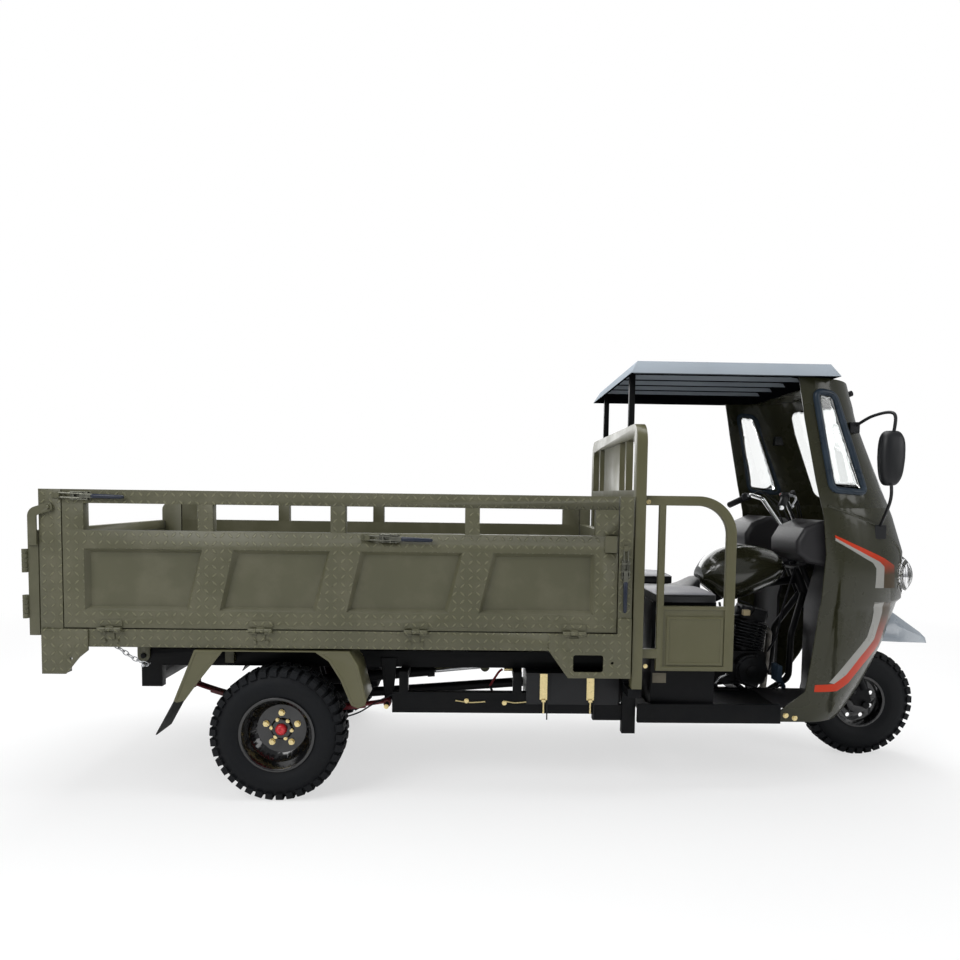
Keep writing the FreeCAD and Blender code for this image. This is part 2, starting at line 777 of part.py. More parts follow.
def side_hinge_high(x):
    """The drop side's half: a rounded leaf plate with the middle knuckle."""
    y = hinge_axis_y()
    z = hinge_axis_z()
    third = SIDE_HINGE_WIDTH / 3.0
    low = z + 3.0
    leaf = box(
        x - SIDE_HINGE_WIDTH / 2.0,
        x + SIDE_HINGE_WIDTH / 2.0,
        BED_HALF,
        BED_HALF + SIDE_HINGE_LEAF,
        z + SIDE_HINGE_RADIUS + 1.0,
        z + SIDE_HINGE_LEAF_HEIGHT,
    )
    high = z + SIDE_HINGE_LEAF_HEIGHT / 2.0
    corners = [edge for edge in leaf.Edges if along(edge, V(0, 1, 0)) and edge.CenterOfMass.z > high]
    leaf = leaf.makeFillet(SIDE_HINGE_CORNER, corners)
    start = x - third / 2.0 + 2.0 * KNUCKLE_GAP
    end = x + third / 2.0 - KNUCKLE_GAP
    tongue = box(start, end, BED_HALF, y, low, z + SIDE_HINGE_RADIUS + 4.0)
    knuckle = rod(V(start, y, z), V(end, y, z), SIDE_HINGE_RADIUS)
    bore = rod(V(x - third, y, z), V(x + third, y, z), HINGE_PIN + FIT)
    return fuse([leaf, tongue, knuckle]).cut(bore)


def bed_runner():
    """A runner under the cross members, with the ear that turns on the pivot pin."""
    low = RAIL_TOP + BED_PAD + SEAT_GAP
    high = BEAM_TOP - FLOOR_PLATE - CROSS_HEIGHT
    y0 = RUNNER_Y - RUNNER_WIDTH / 2.0
    rear = BED_REAR_X + RUNNER_REAR_INSET
    runner = box(rear, BED_FRONT_X - RUNNER_FRONT_INSET, y0, y0 + RUNNER_WIDTH, low, high)
    pivot_x = RAIL_REAR_X + BED_PIVOT_BACK
    pivot_z = RAIL_TOP - BED_PIVOT_DROP
    ear_y = RUNNER_Y + RUNNER_WIDTH / 2.0
    half = BED_PIVOT_EAR
    near = ear_y + BED_PIVOT_GAP
    far = ear_y + BED_PIVOT_RADIUS
    ear = box(pivot_x - half, pivot_x + half, near, far, pivot_z, high)
    root = box(pivot_x - half, pivot_x + half, ear_y - BEAM_WALL, far, high - 24.0, high)
    boss = rod_y(pivot_x, pivot_z, near, far, half)
    bore = rod_y(pivot_x, pivot_z, ear_y - 1.0, far + 1.0, BED_PIVOT_RADIUS + FIT)
    return fuse([runner, ear, root, boss]).cut(bore)


def bed_frame():
    pieces = [channel_beam(1), channel_beam(-1)]
    span = BED_FRONT_X - BED_REAR_X - CROSS_WIDTH
    for step in range(CROSS_COUNT):
        pieces.append(cross_member(BED_REAR_X + span * step / (CROSS_COUNT - 1)))
    for part in (rear_corner_plate(), front_corner_plate(), bed_runner()):
        pieces += both(part)
    for x in SIDE_HINGE_PLACES:
        pieces += both(side_hinge_low(x))
    pieces.append(lift_ear())
    return fuse(pieces)


def lift_ear():
    """The bracket under the bed that carries the lift rod's eye: a cross bar with two tapered ears."""
    high = BEAM_TOP - FLOOR_PLATE - CROSS_HEIGHT
    reach = RUNNER_Y - RUNNER_WIDTH / 2.0
    bar = box(LIFT_EYE_X - 24.0, LIFT_EYE_X + 24.0, -reach, reach, high - 30.0, high + 20.0)
    pieces = [bar]
    gap = LIFT_EYE_HALF + LIFT_EAR_GAP
    for y in (LIFT_Y - gap - LIFT_EAR, LIFT_Y + gap):
        outline = [
            (LIFT_EYE_X - LIFT_EAR_HALF, high - 30.0),
            (LIFT_EYE_X + LIFT_EAR_HALF, high - 30.0),
            (LIFT_EYE_X + LIFT_EYE_RADIUS, LIFT_EYE_Z - 8.0),
            (LIFT_EYE_X - LIFT_EYE_RADIUS, LIFT_EYE_Z - 8.0),
        ]
        pieces.append(plate_y(outline, y, y + LIFT_EAR))
        pieces.append(rod_y(LIFT_EYE_X, LIFT_EYE_Z, y, y + LIFT_EAR, LIFT_EYE_RADIUS + 1.0))
    return fuse(pieces)


def bed_floor():
    half = BED_HALF - BEAM_WIDTH
    front = BED_FRONT_X - POST_FRONT - DOOR_GAP
    return box(BED_REAR_X, front, -half, half, BEAM_TOP - FLOOR_PLATE, BEAM_TOP)


def front_wall():
    """The bed's front wall between the corner posts, with two pressed panels."""
    x0 = BED_FRONT_X - POST_FRONT
    x1 = x0 + FRONT_WALL_THICK
    half = BED_HALF - POST_THICK
    top = second_rail_top()
    low = BEAM_TOP + WALL_PANEL_MARGIN
    high = top - WALL_PANEL_MARGIN
    wall = box(x0, x1, -half, half, BEAM_TOP, top)
    for centre in (-half / 2.0, half / 2.0):
        wall = wall.cut(bevelled_pocket_x(x1, centre, half * WALL_PANEL_SHARE, low, high))
    return wall


def bevelled_pocket_x(x_face, y, half, z0, z1):
    """A pocket into a face that looks along +X, narrower at its floor."""
    places = ((y - half, z0), (y + half, z0), (y + half, z1), (y - half, z1))
    outer = [V(x_face, across, z) for across, z in places]
    inset = RECESS_BEVEL
    x_in = x_face - RECESS_DEPTH
    inner = [
        V(x_in, y - half + inset, z0 + inset),
        V(x_in, y + half - inset, z0 + inset),
        V(x_in, y + half - inset, z1 - inset),
        V(x_in, y - half + inset, z1 - inset),
    ]
    wires = [Part.makePolygon(outer + [outer[0]]), Part.makePolygon(inner + [inner[0]])]
    return Part.makeLoft(wires, True, True)


def corner_posts():
    rear = box(BED_REAR_X, BED_REAR_X + POST_REAR, BED_HALF - POST_THICK, BED_HALF, BEAM_TOP, SIDE_TOP)
    front = box(BED_FRONT_X - POST_FRONT, BED_FRONT_X, BED_HALF - POST_THICK, BED_HALF, BEAM_TOP, SIDE_TOP)
    pivot = rod_y(GATE_PIVOT_X, GATE_PIVOT_Z, BED_HALF, BED_HALF + DOOR_GAP + GATE_ARM + 7.0, GATE_PIN)
    return both(fuse([rear, pivot])) + both(front)


# Drop sides


def second_rail_top():
    return SIDE_TOP - TOP_RAIL - SIDE_SLOT


def side_rear_x():
    return BED_REAR_X + POST_REAR + DOOR_GAP


def side_front_x():
    return BED_FRONT_X - POST_FRONT - DOOR_GAP


def side_recesses():
    """Four recesses between slanted ribs, with bevelled walls; outlines in X and Z."""
    top = second_rail_top() - SECOND_RAIL
    low = BEAM_TOP + SIDE_SLIT + BOTTOM_RAIL
    lean = RIB_LEAN / 2.0
    edges = [(side_rear_x() + END_STILE, side_rear_x() + END_STILE)]
    for place in RIB_PLACES:
        edges.append((place - RIB_WIDTH / 2.0 - lean, place - RIB_WIDTH / 2.0 + lean))
        edges.append((place + RIB_WIDTH / 2.0 - lean, place + RIB_WIDTH / 2.0 + lean))
    edges.append((side_front_x() - FRONT_STILE, side_front_x() - FRONT_STILE))
    pockets = []
    for rear, front in zip(edges[0::2], edges[1::2]):
        inset = RECESS_BEVEL
        outer = [(rear[0], low), (front[0], low), (front[1], top), (rear[1], top)]
        inner = [
            (rear[0] + inset, low + inset),
            (front[0] - inset, low + inset),
            (front[1] - inset, top - inset),
            (rear[1] + inset, top - inset),
        ]
        mouth = [V(x, -BED_HALF, z) for x, z in outer]
        floor = [V(x, -BED_HALF + RECESS_DEPTH, z) for x, z in inner]
        wires = [Part.makePolygon(mouth + [mouth[0]]), Part.makePolygon(floor + [floor[0]])]
        pockets.append(Part.makeLoft(wires, True, True))
    return pockets


def side_panel():
    """The right side's pressed panel with its slanted ribs and recesses, and its hinge leaves."""
    inner = -BED_HALF + SIDE_THICK
    low = BEAM_TOP + SIDE_SLIT
    panel = box(side_rear_x(), side_front_x(), -BED_HALF, inner, low, second_rail_top())
    for recess in side_recesses():
        panel = panel.cut(recess)
    return fuse([panel] + [mirrored(side_hinge_high(x)) for x in SIDE_HINGE_PLACES])


def side_rack():
    """The top rail of the right side and the stays that carry it, each a bar of its own."""
    x0 = side_rear_x()
    x1 = side_front_x()
    inner = -BED_HALF + SIDE_THICK
    low = second_rail_top()
    high = SIDE_TOP - TOP_RAIL
    spans = [(x0, x0 + END_STILE), (x1 - FRONT_STILE, x1)]
    spans += [(place - STAY_WIDTH / 2.0, place + STAY_WIDTH / 2.0) for place in STAY_PLACES]
    stays = [box(rear, front, -BED_HALF, inner, low, high) for rear, front in spans]
    return [box(x0, x1, -BED_HALF, inner, high, SIDE_TOP)] + stays


# Tailgate


def gate_front_x():
    return BED_REAR_X - DOOR_GAP


def leaf_axis_x():
    return gate_front_x() - GATE_THICK - LEAF_HINGE_RADIUS


def leaf_axis_y():
    return BED_HALF + 2.0


def gate_frame():
    """The top-hung frame with its two bent arms and the fixed hinge knuckles."""
    x1 = gate_front_x()
    x0 = x1 - GATE_THICK
    ring = box(x0, x1, -BED_HALF, BED_HALF, GATE_BOTTOM, GATE_TOP)
    half = BED_HALF - GATE_FRAME
    window = box(x0, x1, -half, half, GATE_BOTTOM + GATE_FRAME, GATE_TOP - GATE_FRAME)
    near = BED_HALF + DOOR_GAP
    pieces = [ring.cut(window)]
    arm = bent_flat_y(
        [
            (GATE_PIVOT_X, GATE_PIVOT_Z),
            (GATE_PIVOT_X - GATE_ARM_REACH, GATE_PIVOT_Z - GATE_ARM_DROP),
            (GATE_PIVOT_X - GATE_ARM_REACH, GATE_TOP - GATE_ARM_LAP),
        ],
        GATE_ARM_WIDTH,
        near,
        near + GATE_ARM,
        GATE_ARM_BEND,
    )
    eye = rod_y(GATE_PIVOT_X, GATE_PIVOT_Z, near, near + GATE_ARM, GATE_EYE)
    bore = rod_y(GATE_PIVOT_X, GATE_PIVOT_Z, BED_HALF, near + GATE_ARM + 1.0, GATE_PIN + FIT)
    foot = box(x0 + 4.0, x1 - 4.0, BED_HALF, near, GATE_TOP - GATE_ARM_LAP, GATE_TOP)
    pieces += both(fuse([arm, eye, foot]).cut(bore))
    for place in LEAF_HINGE_PLACES:
        pieces += both(leaf_hinge(place, 0))
    return fuse(pieces)


def leaf_hinge(z, odd):
    """One half of a knuckle hinge on a vertical pin: even knuckles on the frame, odd ones on the leaf."""
    x = leaf_axis_x()
    y = leaf_axis_y()
    pitch = LEAF_HINGE_HEIGHT / LEAF_KNUCKLES
    low = z - LEAF_HINGE_HEIGHT / 2.0
    frame_x = gate_front_x() - GATE_THICK
    pieces = []
    for step in range(odd, LEAF_KNUCKLES, 2):
        start = low + step * pitch + KNUCKLE_GAP
        end = start + pitch - 2.0 * KNUCKLE_GAP
        pieces.append(rod(V(x, y, start), V(x, y, end), LEAF_HINGE_RADIUS))
        if odd:
            pieces.append(box(x - LEAF_HINGE_PLATE - 1.0, x - 1.0, y - LEAF_HINGE_REACH, y, start, end))
        else:
            pieces.append(box(x, frame_x, y - LEAF_HINGE_RADIUS, y, start, end))
    if odd:
        near = y - LEAF_HINGE_REACH
        rear = x - LEAF_HINGE_PLATE - 1.0
        leaf = box(rear, x - 1.0, near, near + LEAF_HINGE_BLOCK + 2.0, low, low + LEAF_HINGE_HEIGHT)
        block = box(rear, frame_x, near, near + LEAF_HINGE_BLOCK, low, low + LEAF_HINGE_HEIGHT)
        bore = Part.makeCylinder(HINGE_PIN + FIT, LEAF_HINGE_HEIGHT, V(x, y, low))
        return fuse(pieces + [leaf, block]).cut(bore)
    pin = Part.makeCylinder(HINGE_PIN, LEAF_HINGE_HEIGHT, V(x, y, low))
    return fuse(pieces + [pin])


def gate_leaf():
    """The right leaf, inset in the frame, with a pressed recess."""
    x1 = gate_front_x()
    x0 = x1 - GATE_THICK
    outer = -(BED_HALF - GATE_FRAME - DOOR_GAP)
    low = GATE_BOTTOM + GATE_FRAME + DOOR_GAP
    high = GATE_TOP - GATE_FRAME - DOOR_GAP
    leaf = box(x0, x1, outer, -DOOR_GAP, low, high)
    rim = GATE_LEAF_RIM
    depth = RECESS_DEPTH
    inset = RECESS_BEVEL
    mouth = [
        V(x0, outer + rim, low + rim),
        V(x0, -DOOR_GAP - rim, low + rim),
        V(x0, -DOOR_GAP - rim, high - rim),
        V(x0, outer + rim, high - rim),
    ]
    floor = [
        V(x0 + depth, outer + rim + inset, low + rim + inset),
        V(x0 + depth, -DOOR_GAP - rim - inset, low + rim + inset),
        V(x0 + depth, -DOOR_GAP - rim - inset, high - rim - inset),
        V(x0 + depth, outer + rim + inset, high - rim - inset),
    ]
    wires = [Part.makePolygon(mouth + [mouth[0]]), Part.makePolygon(floor + [floor[0]])]
    leaf = leaf.cut(Part.makeLoft(wires, True, True))
    hinges = [mirrored(leaf_hinge(place, 1)) for place in LEAF_HINGE_PLACES]
    return fuse([leaf] + hinges)


# Wheels


def tyre_lug(x, y, radius, side, half, shoulder):
    """One lug at the tyre's lowest point: a bar that slants outward and wraps over the shoulder."""
    section = [
        (LUG_GAP * side, LUG_HEIGHT + 4.0),
        (LUG_GAP * side, 0.0),
        ((shoulder - LUG_GAP) * side, 0.0),
        (shoulder * side, 5.0),
        ((half - 2.0) * side, LUG_ROOT),
        ((half - 12.0) * side, LUG_ROOT + 6.0),
        ((half - 16.0) * side, LUG_HEIGHT + 12.0),
    ]
    bar = plate_x([(y + across, up) for across, up in section], x - LUG_WIDTH * 2.0, x + LUG_WIDTH * 2.0)
    outline = [
        (x - LUG_WIDTH / 2.0, y),
        (x + LUG_WIDTH / 2.0, y),
        (x + LUG_WIDTH / 2.0 + LUG_SLANT, y + half * side),
        (x - LUG_WIDTH / 2.0 + LUG_SLANT, y + half * side),
    ]
    tread = rod_y(x, radius, y - half, y + half, radius)
    return bar.common(plate_z(outline, -1.0, LUG_ROOT * 2.0)).common(tread)


def tyre(x, y, radius, width, shoulder, bead, lugs):
    """A tyre: a round hollow carcass with a row of slanted lugs over each shoulder."""
    half = width / 2.0
    base = radius - LUG_HEIGHT
    crown = shoulder - TYRE_WALL
    profile = [
        (bead, y - half + TYRE_FOOT),
        (base - LUG_ROOT * 2.0, y - half),
        (base - TYRE_WALL, y - half + TYRE_WALL / 2.0),
        (base, y - crown),
        (base, y + crown),
        (base - TYRE_WALL, y + half - TYRE_WALL / 2.0),
        (base - LUG_ROOT * 2.0, y + half),
        (bead, y + half - TYRE_FOOT),
        (bead, y + half - TYRE_FOOT - TYRE_WALL),
        (base - LUG_ROOT, y + half - TYRE_FOOT - TYRE_WALL),
        (base - LUG_ROOT, y - half + TYRE_FOOT + TYRE_WALL),
        (bead, y - half + TYRE_FOOT + TYRE_WALL),
    ]
    pieces = [revolve_y(profile, x, radius)]
    for side, shift in ((-1, 0.0), (1, 0.5)):
        lug = tyre_lug(x, y, radius, side, half, shoulder)
        for step in range(lugs):
            pieces.append(lug.rotated(V(x, 0, radius), V(0, 1, 0), 360.0 * (step + shift) / lugs))
    return pieces[0].fuse(pieces[1:])


def rear_rim():
    """The left dished steel wheel: barrel with lips, recessed disc and hub."""
    y = REAR_TRACK / 2.0
    half = REAR_TYRE_WIDTH / 2.0
    disc_y = y - DISC_INSET
    lip = REAR_BEAD + RIM_LIP
    seat = REAR_BEAD - SEAT_GAP
    inner = seat - RIM_WALL
    barrel = [
        (lip, y - half + 9.0),
        (lip, y - half + 9.0 + RIM_LIP_EDGE),
        (seat, y - half + 16.0),
        (seat, y + half - 16.0),
        (lip, y + half - 9.0 - RIM_LIP_EDGE),
        (lip, y + half - 9.0),
        (inner, y + half - 11.0),
        (inner - 10.0, y + 24.0),
        (inner - 14.0, disc_y + WHEEL_DISC + 30.0),
        (DISC_FLAT, disc_y + WHEEL_DISC),
        (HUB_RADIUS, disc_y + WHEEL_DISC),
        (HUB_RADIUS - 6.0, disc_y + WHEEL_DISC + HUB_RAISE),
        (HUB_BORE + FIT, disc_y + WHEEL_DISC + HUB_RAISE),
        (HUB_BORE + FIT, disc_y),
        (DISC_FLAT + 4.0, disc_y),
        (inner - 8.0, disc_y + 26.0),
        (inner - 3.0, y - 30.0),
        (inner, y - half + 10.0),
    ]
    return revolve_y(barrel, REAR_AXLE_X, REAR_TYRE_RADIUS)


def brake_drum():
    """The drum behind the left wheel's disc, which turns with it."""
    y = REAR_TRACK / 2.0 - DISC_INSET
    profile = [
        (HUB_BORE + FIT, y - DRUM_DEPTH),
        (DRUM_RADIUS - DRUM_EDGE, y - DRUM_DEPTH),
        (DRUM_RADIUS, y - DRUM_DEPTH + DRUM_EDGE),
        (DRUM_RADIUS, y - DRUM_EDGE),
        (DRUM_RADIUS - DRUM_EDGE, y),
        (HUB_BORE + FIT, y),
    ]
    return revolve_y(profile, REAR_AXLE_X, REAR_TYRE_RADIUS)


def front_rim():
    """The front wheel: barrel with lips, a thin disc with round holes and a wide hub."""
    half = FRONT_TYRE_WIDTH / 2.0
    lip = FRONT_BEAD + RIM_LIP
    seat = FRONT_BEAD - SEAT_GAP
    inner = seat - RIM_WALL
    root = inner - 8.0
    profile = [
        (lip, -half + 9.0),
        (lip, -half + 9.0 + RIM_LIP_EDGE),
        (seat, -half + 16.0),
        (seat, half - 16.0),
        (lip, half - 9.0 - RIM_LIP_EDGE),
        (lip, half - 9.0),
        (inner, half - 11.0),
        (root, FRONT_DISC_HALF + 12.0),
        (root, FRONT_DISC_HALF),
        (FRONT_HUB_RADIUS + 8.0, FRONT_DISC_HALF),
        (FRONT_HUB_RADIUS, FRONT_HUB_HALF - 4.0),
        (HUB_BORE + FIT, FRONT_HUB_HALF),
        (HUB_BORE + FIT, -FRONT_HUB_HALF),
        (FRONT_HUB_RADIUS, 4.0 - FRONT_HUB_HALF),
        (FRONT_HUB_RADIUS + 8.0, -FRONT_DISC_HALF),
        (root, -FRONT_DISC_HALF),
        (root, -FRONT_DISC_HALF - 12.0),
        (inner, -half + 11.0),
    ]
    wheel = revolve_y(profile, FRONT_AXLE_X, FRONT_TYRE_RADIUS)
    holes = []
    for step in range(FRONT_HOLES):
        angle = 2.0 * math.pi * (step + 0.5) / FRONT_HOLES
        x = FRONT_AXLE_X + FRONT_HOLE_CIRCLE * math.cos(angle)
        z = FRONT_TYRE_RADIUS + FRONT_HOLE_CIRCLE * math.sin(angle)
        holes.append(rod_y(x, z, -FRONT_HUB_HALF, FRONT_HUB_HALF, FRONT_HOLE_RADIUS))
    return wheel.cut(Part.makeCompound(holes))


# Steering


def steer_point(distance, forward=0.0, y=0.0):
    """A point by its distance up the steering axis from axle height, and its offset in front of that axis."""
    lean = math.radians(RAKE)
    foot = V(FRONT_AXLE_X - FORK_TRAIL_OFFSET, 0, FRONT_TYRE_RADIUS)
    up = V(-math.sin(lean), 0, math.cos(lean))
    ahead = V(math.cos(lean), 0, math.sin(lean))
    return foot.add(up.multiply(distance)).add(ahead.multiply(forward)).add(V(0, y, 0))


def clamp_plate(distance, thick):
    """A plate square to the steering axis that holds the four legs, narrower behind."""
    front = LEG_PITCH + CLAMP_REACH
    half = LEG_SPREAD + HUB_BORE
    places = [
        (-CLAMP_BACK, -CLAMP_BACK_HALF),
        (0.0, -half),
        (front, -half),
        (front, half),
        (0.0, half),
        (-CLAMP_BACK, CLAMP_BACK_HALF),
    ]
    corners = [steer_point(distance, ahead, y) for ahead, y in places]
    travel = steer_point(distance + thick).sub(steer_point(distance))
    return prism(corners, travel)


def fork_leg(ahead, y):
    """One shock leg: a thick slider below and a thinner tube up to the clamps."""
    top = HEAD_HIGH + CLAMP_GAP + HIGH_CLAMP
    slider = rod(steer_point(LEG_START, ahead, y), steer_point(LEG_STEP, ahead, y), LEG_RADIUS + LEG_SLIDER)
    tube = rod(steer_point(LEG_STEP, ahead, y), steer_point(top, ahead, y), LEG_RADIUS - 2.0)
    return [slider, tube]


def fork():
    """Stem, two clamps, four shock legs, their bottom plates and the front axle."""
    low = HEAD_LOW - LOW_CLAMP - CLAMP_GAP
    high = HEAD_HIGH + CLAMP_GAP
    x0, x1 = GUARD_SEAT_X
    pieces = [
        rod(steer_point(low), steer_point(high + 30.0), STEM_RADIUS),
        clamp_plate(low, LOW_CLAMP),
        clamp_plate(high, HIGH_CLAMP),
        box(x0, x1, -LEG_SPREAD, LEG_SPREAD, GUARD_SEAT_Z - GUARD_SEAT_THICK, GUARD_SEAT_Z),
    ]
    for y in (-LEG_SPREAD, LEG_SPREAD):
        pieces += fork_leg(0.0, y) + fork_leg(LEG_PITCH, y)
        pieces.append(fork_foot(y))
    reach = LEG_SPREAD + AXLE_REACH
    pieces.append(rod_y(FRONT_AXLE_X, FRONT_TYRE_RADIUS, -reach, reach, HUB_BORE))
    return fuse(pieces)


def fork_foot(y):
    """The bottom plate that ties a pair of legs to the axle."""
    lean = math.radians(RAKE)
    near = y - FOOT_PLATE / 2.0
    corners = [
        steer_point(95.0, -24.0, near),
        steer_point(95.0, LEG_PITCH + 24.0, near),
        steer_point(-10.0, LEG_PITCH + 10.0, near),
        steer_point(-32.0, FORK_TRAIL_OFFSET * math.cos(lean), near),
        steer_point(0.0, -16.0, near),
    ]
    return prism(corners, V(0, FOOT_PLATE, 0))


def handlebar():
    """A tall bent bar on a cross rod over the upper clamp."""
    base = steer_point(HEAD_HIGH + BAR_CLAMP_RISE, BAR_CLAMP_AHEAD)
    pieces = [rod(V(base.x, -BAR_CLAMP_HALF, base.z), V(base.x, BAR_CLAMP_HALF, base.z), BAR_CLAMP_RADIUS)]
    for side in (-1, 1):
        points = [V(base.x, side * 40.0, base.z), V(base.x, side * 70.0, base.z + 60.0)]
        points += [V(x, side * y, z) for x, y, z in BAR_TURNS]
        pieces.append(bent_rod(points, BAR_RADIUS, BAR_BEND))
    return fuse(pieces)


def handlebar_grips():
    x0, y0, z0 = BAR_TURNS[1]
    x1, y1, z1 = BAR_TURNS[2]
    start = V(x0, -y0, z0)
    axis = V(x1, -y1, z1).sub(start).normalize()
    near = start.add(V(axis).multiply(GRIP_START))
    grip = Part.makeCylinder(GRIP_RADIUS, GRIP_LENGTH, near, axis)
    core = Part.makeCylinder(BAR_RADIUS + FIT, GRIP_LENGTH + 1.0, near.sub(axis), axis)
    return both(grip.cut(core))


def guard_section(x, low, high, half, offset):
    """One section of the front guard: flat below, leaning sides and a narrow flat ridge."""
    peak = high - offset
    side = half - offset
    shoulder = low + (peak - low) * 0.55
    points = [
        V(x, -side, low),
        V(x, side, low),
        V(x, side * 0.86, shoulder),
        V(x, side * 0.35, peak),
        V(x, -side * 0.35, peak),
        V(x, -side * 0.86, shoulder),
    ]
    return Part.makePolygon(points + [points[0]])


def front_mudguard():
    """A tent-shaped guard over the wheel, open below, on the fork's cross plate."""
    seat = GUARD_SEAT_Z + SEAT_GAP
    stations = (
        (1596.0, seat, 640.0, 58.0),
        (1705.0, seat, 706.0, 70.0),
        (1760.0, seat, 738.0, 98.0),
        (1955.0, 606.0, 752.0, 110.0),
        (2116.0, 599.0, 642.0, 90.0),
    )
    outer = Part.makeLoft([guard_section(*place, 0.0) for place in stations], True, True)
    inner = Part.makeLoft([guard_section(*place, MUDGUARD_SHEET) for place in stations], True, True)
    return outer.cut(inner.translated(V(0, 0, -0.5)))


# Chassis


def rail_y0():
    return RUNNER_Y - RAIL_WIDTH / 2.0


def rail_y1():
    return RUNNER_Y + RAIL_WIDTH / 2.0


def rail_low():
    return RAIL_TOP - RAIL_HEIGHT


def chassis_rail():
    """The left rail with its end stub, bed pivot pin and the pads that the bed's runner rests on."""
    y0 = rail_y0()
    y1 = rail_y1()
    low = rail_low()
    rail = box(RAIL_REAR_X, RAIL_FRONT_X, y0, y1, low, RAIL_TOP)
    nick = [(RAIL_REAR_X, RAIL_TOP - RAIL_NICK), (RAIL_REAR_X + RAIL_NICK, RAIL_TOP), (RAIL_REAR_X, RAIL_TOP)]
    pin_x = RAIL_REAR_X + BED_PIVOT_BACK
    pieces = [
        rail.cut(plate_y(nick, y0, y1)),
        box(RAIL_REAR_X, RAIL_REAR_X + UNDERRUN_LENGTH, y0, y1, low - UNDERRUN_DROP, low),
        rod_y(pin_x, RAIL_TOP - BED_PIVOT_DROP, y0, y1 + HANGER_BOSS, BED_PIVOT_RADIUS),
    ]
    for x in RAIL_PAD_PLACES:
        pieces.append(box(x, x + RAIL_PAD_LENGTH, y0, y1, RAIL_TOP, RAIL_TOP + BED_PAD))
    return pieces


def spring_hanger(x, low, width, bolt):
    """A tear-drop hanger plate with a raised rim outside the rail, its boss and its bolt."""
    y0 = rail_y1()
    high = rail_low() + HANGER_RISE
    half = width / 2.0
    outline = [(x - half, high), (x + half, high), (x + HANGER_BOSS, low), (x - HANGER_BOSS, low)]
    plate = bordered_plate_y(outline, y0, y0 + HANGER_PLATE, HANGER_BORDER, HANGER_POCKET)
    boss = rod_y(x, low, y0, y0 + HANGER_PLATE, HANGER_BOSS)
    return fuse([plate, boss, rod_y(x, low, y0, y0 + bolt, SPRING_BOLT)])


def chassis_frame():
    y0 = rail_y0()
    low = rail_low()
    pieces = []
    for x in RAIL_CROSS_PLACES:
        pieces.append(box(x, x + RAIL_CROSS_WIDTH, -y0, y0, low + 6.0, RAIL_TOP - 12.0))
    under = low - UNDERRUN_DROP
    pieces.append(box(RAIL_REAR_X, RAIL_REAR_X + 50.0, -y0, y0, under, under + RAIL_CROSS_WIDTH))
    front = spring_hanger(SPRING_FRONT_X, SPRING_FRONT_Z, FRONT_HANGER_WIDTH, FRONT_HANGER_BOLT)
    rear = spring_hanger(SPRING_REAR_X, SHACKLE_TOP_Z, REAR_HANGER_WIDTH, HANGER_PLATE)
    for part in chassis_rail() + [front, rear, lower_rail(), cab_rail(), step_post(), cradle_tube()]:
        pieces += both(part)
    reach = DECK_HALF - POST_OUT
    for x in CAB_CROSS_PLACES:
        pieces.append(box(x, x + CROSS_WIDTH, -reach, reach, DECK_BOTTOM + 10.0, DECK_BOTTOM + 50.0))
    return fuse(pieces + [head_tube(), backbone(), lift_foot()])


def lower_rail():
    """The low side rail from ahead of the rear wheel to the step post, and the posts that hang it."""
    y0 = LOW_RAIL_Y - RAIL_WIDTH
    y1 = LOW_RAIL_Y
    low = rail_low()
    pieces = [
        box(LOW_RAIL_REAR_X, LOW_RAIL_STEP_X, y0, y1, LOW_RAIL_BOTTOM, LOW_RAIL_TOP),
        box(LOW_RAIL_STEP_X, LOW_RAIL_END_X, y0, y1, LOW_RAIL_BOTTOM, LOW_RAIL_STEP_TOP),
        box(LOW_RAIL_END_X, RAIL_FRONT_X, y0, y1, LOW_RAIL_END_Z, LOW_RAIL_STEP_TOP),
    ]
    for x in LOW_RAIL_HANGERS:
        pieces.append(box(x, x + RAIL_WIDTH, rail_y0(), y1, low - 30.0, low))
        pieces.append(box(x, x + RAIL_WIDTH, y0, y1, LOW_RAIL_TOP, low))
    return fuse(pieces)


def cab_rail():
    """A floor rail under the cab, from the step post to the cradle."""
    low = DECK_BOTTOM + 10.0
    return box(RAIL_FRONT_X, DECK_FRONT_X, CAB_RAIL_Y, CAB_RAIL_Y + CAB_RAIL_WIDTH, low, low + 50.0)


def step_post():
    """The black post behind the cab that carries the low rail and the headboard's foot."""
    x0 = RAIL_FRONT_X
    x1 = RAIL_FRONT_X + POST_LEN
    y1 = DECK_HALF - POST_OUT
    y0 = y1 - RAIL_WIDTH
    low = rail_low()
    inner = CAB_RAIL_Y
    pieces = [
        box(x0, x1, y0, y1, POST_BOTTOM, POST_TOP),
        box(x0 - RAIL_WIDTH, x1, inner, y1, low, low + 50.0),
        box(x0, x0 + 50.0, inner, inner + CAB_RAIL_WIDTH, DECK_BOTTOM + 10.0, low + 50.0),
        box(x0, x1, y0, HEADBOARD_HALF - 4.0, HEADBOARD_FOOT_Z - RAIL_WIDTH, HEADBOARD_FOOT_Z - SEAT_GAP),
    ]
    return fuse(pieces)


def cradle_tube():
    """The tube from the steering head down in front of the engine and back under it."""
    top = steer_point(HEAD_LOW + 60.0, -BACKBONE_RADIUS)
    points = [V(top.x, BACKBONE_RADIUS, top.z)] + [V(*place) for place in CRADLE_FRONT + CRADLE_REAR]
    tube = bent_rod(points, CRADLE_RADIUS, CRADLE_BEND)
    x = CAB_CROSS_PLACES[1]
    low = DECK_BOTTOM + 10.0
    strap = box(x, x + CROSS_WIDTH, CRADLE_Y - BACKBONE_RADIUS, CAB_RAIL_Y, low, low + 40.0)
    return fuse([tube, strap])


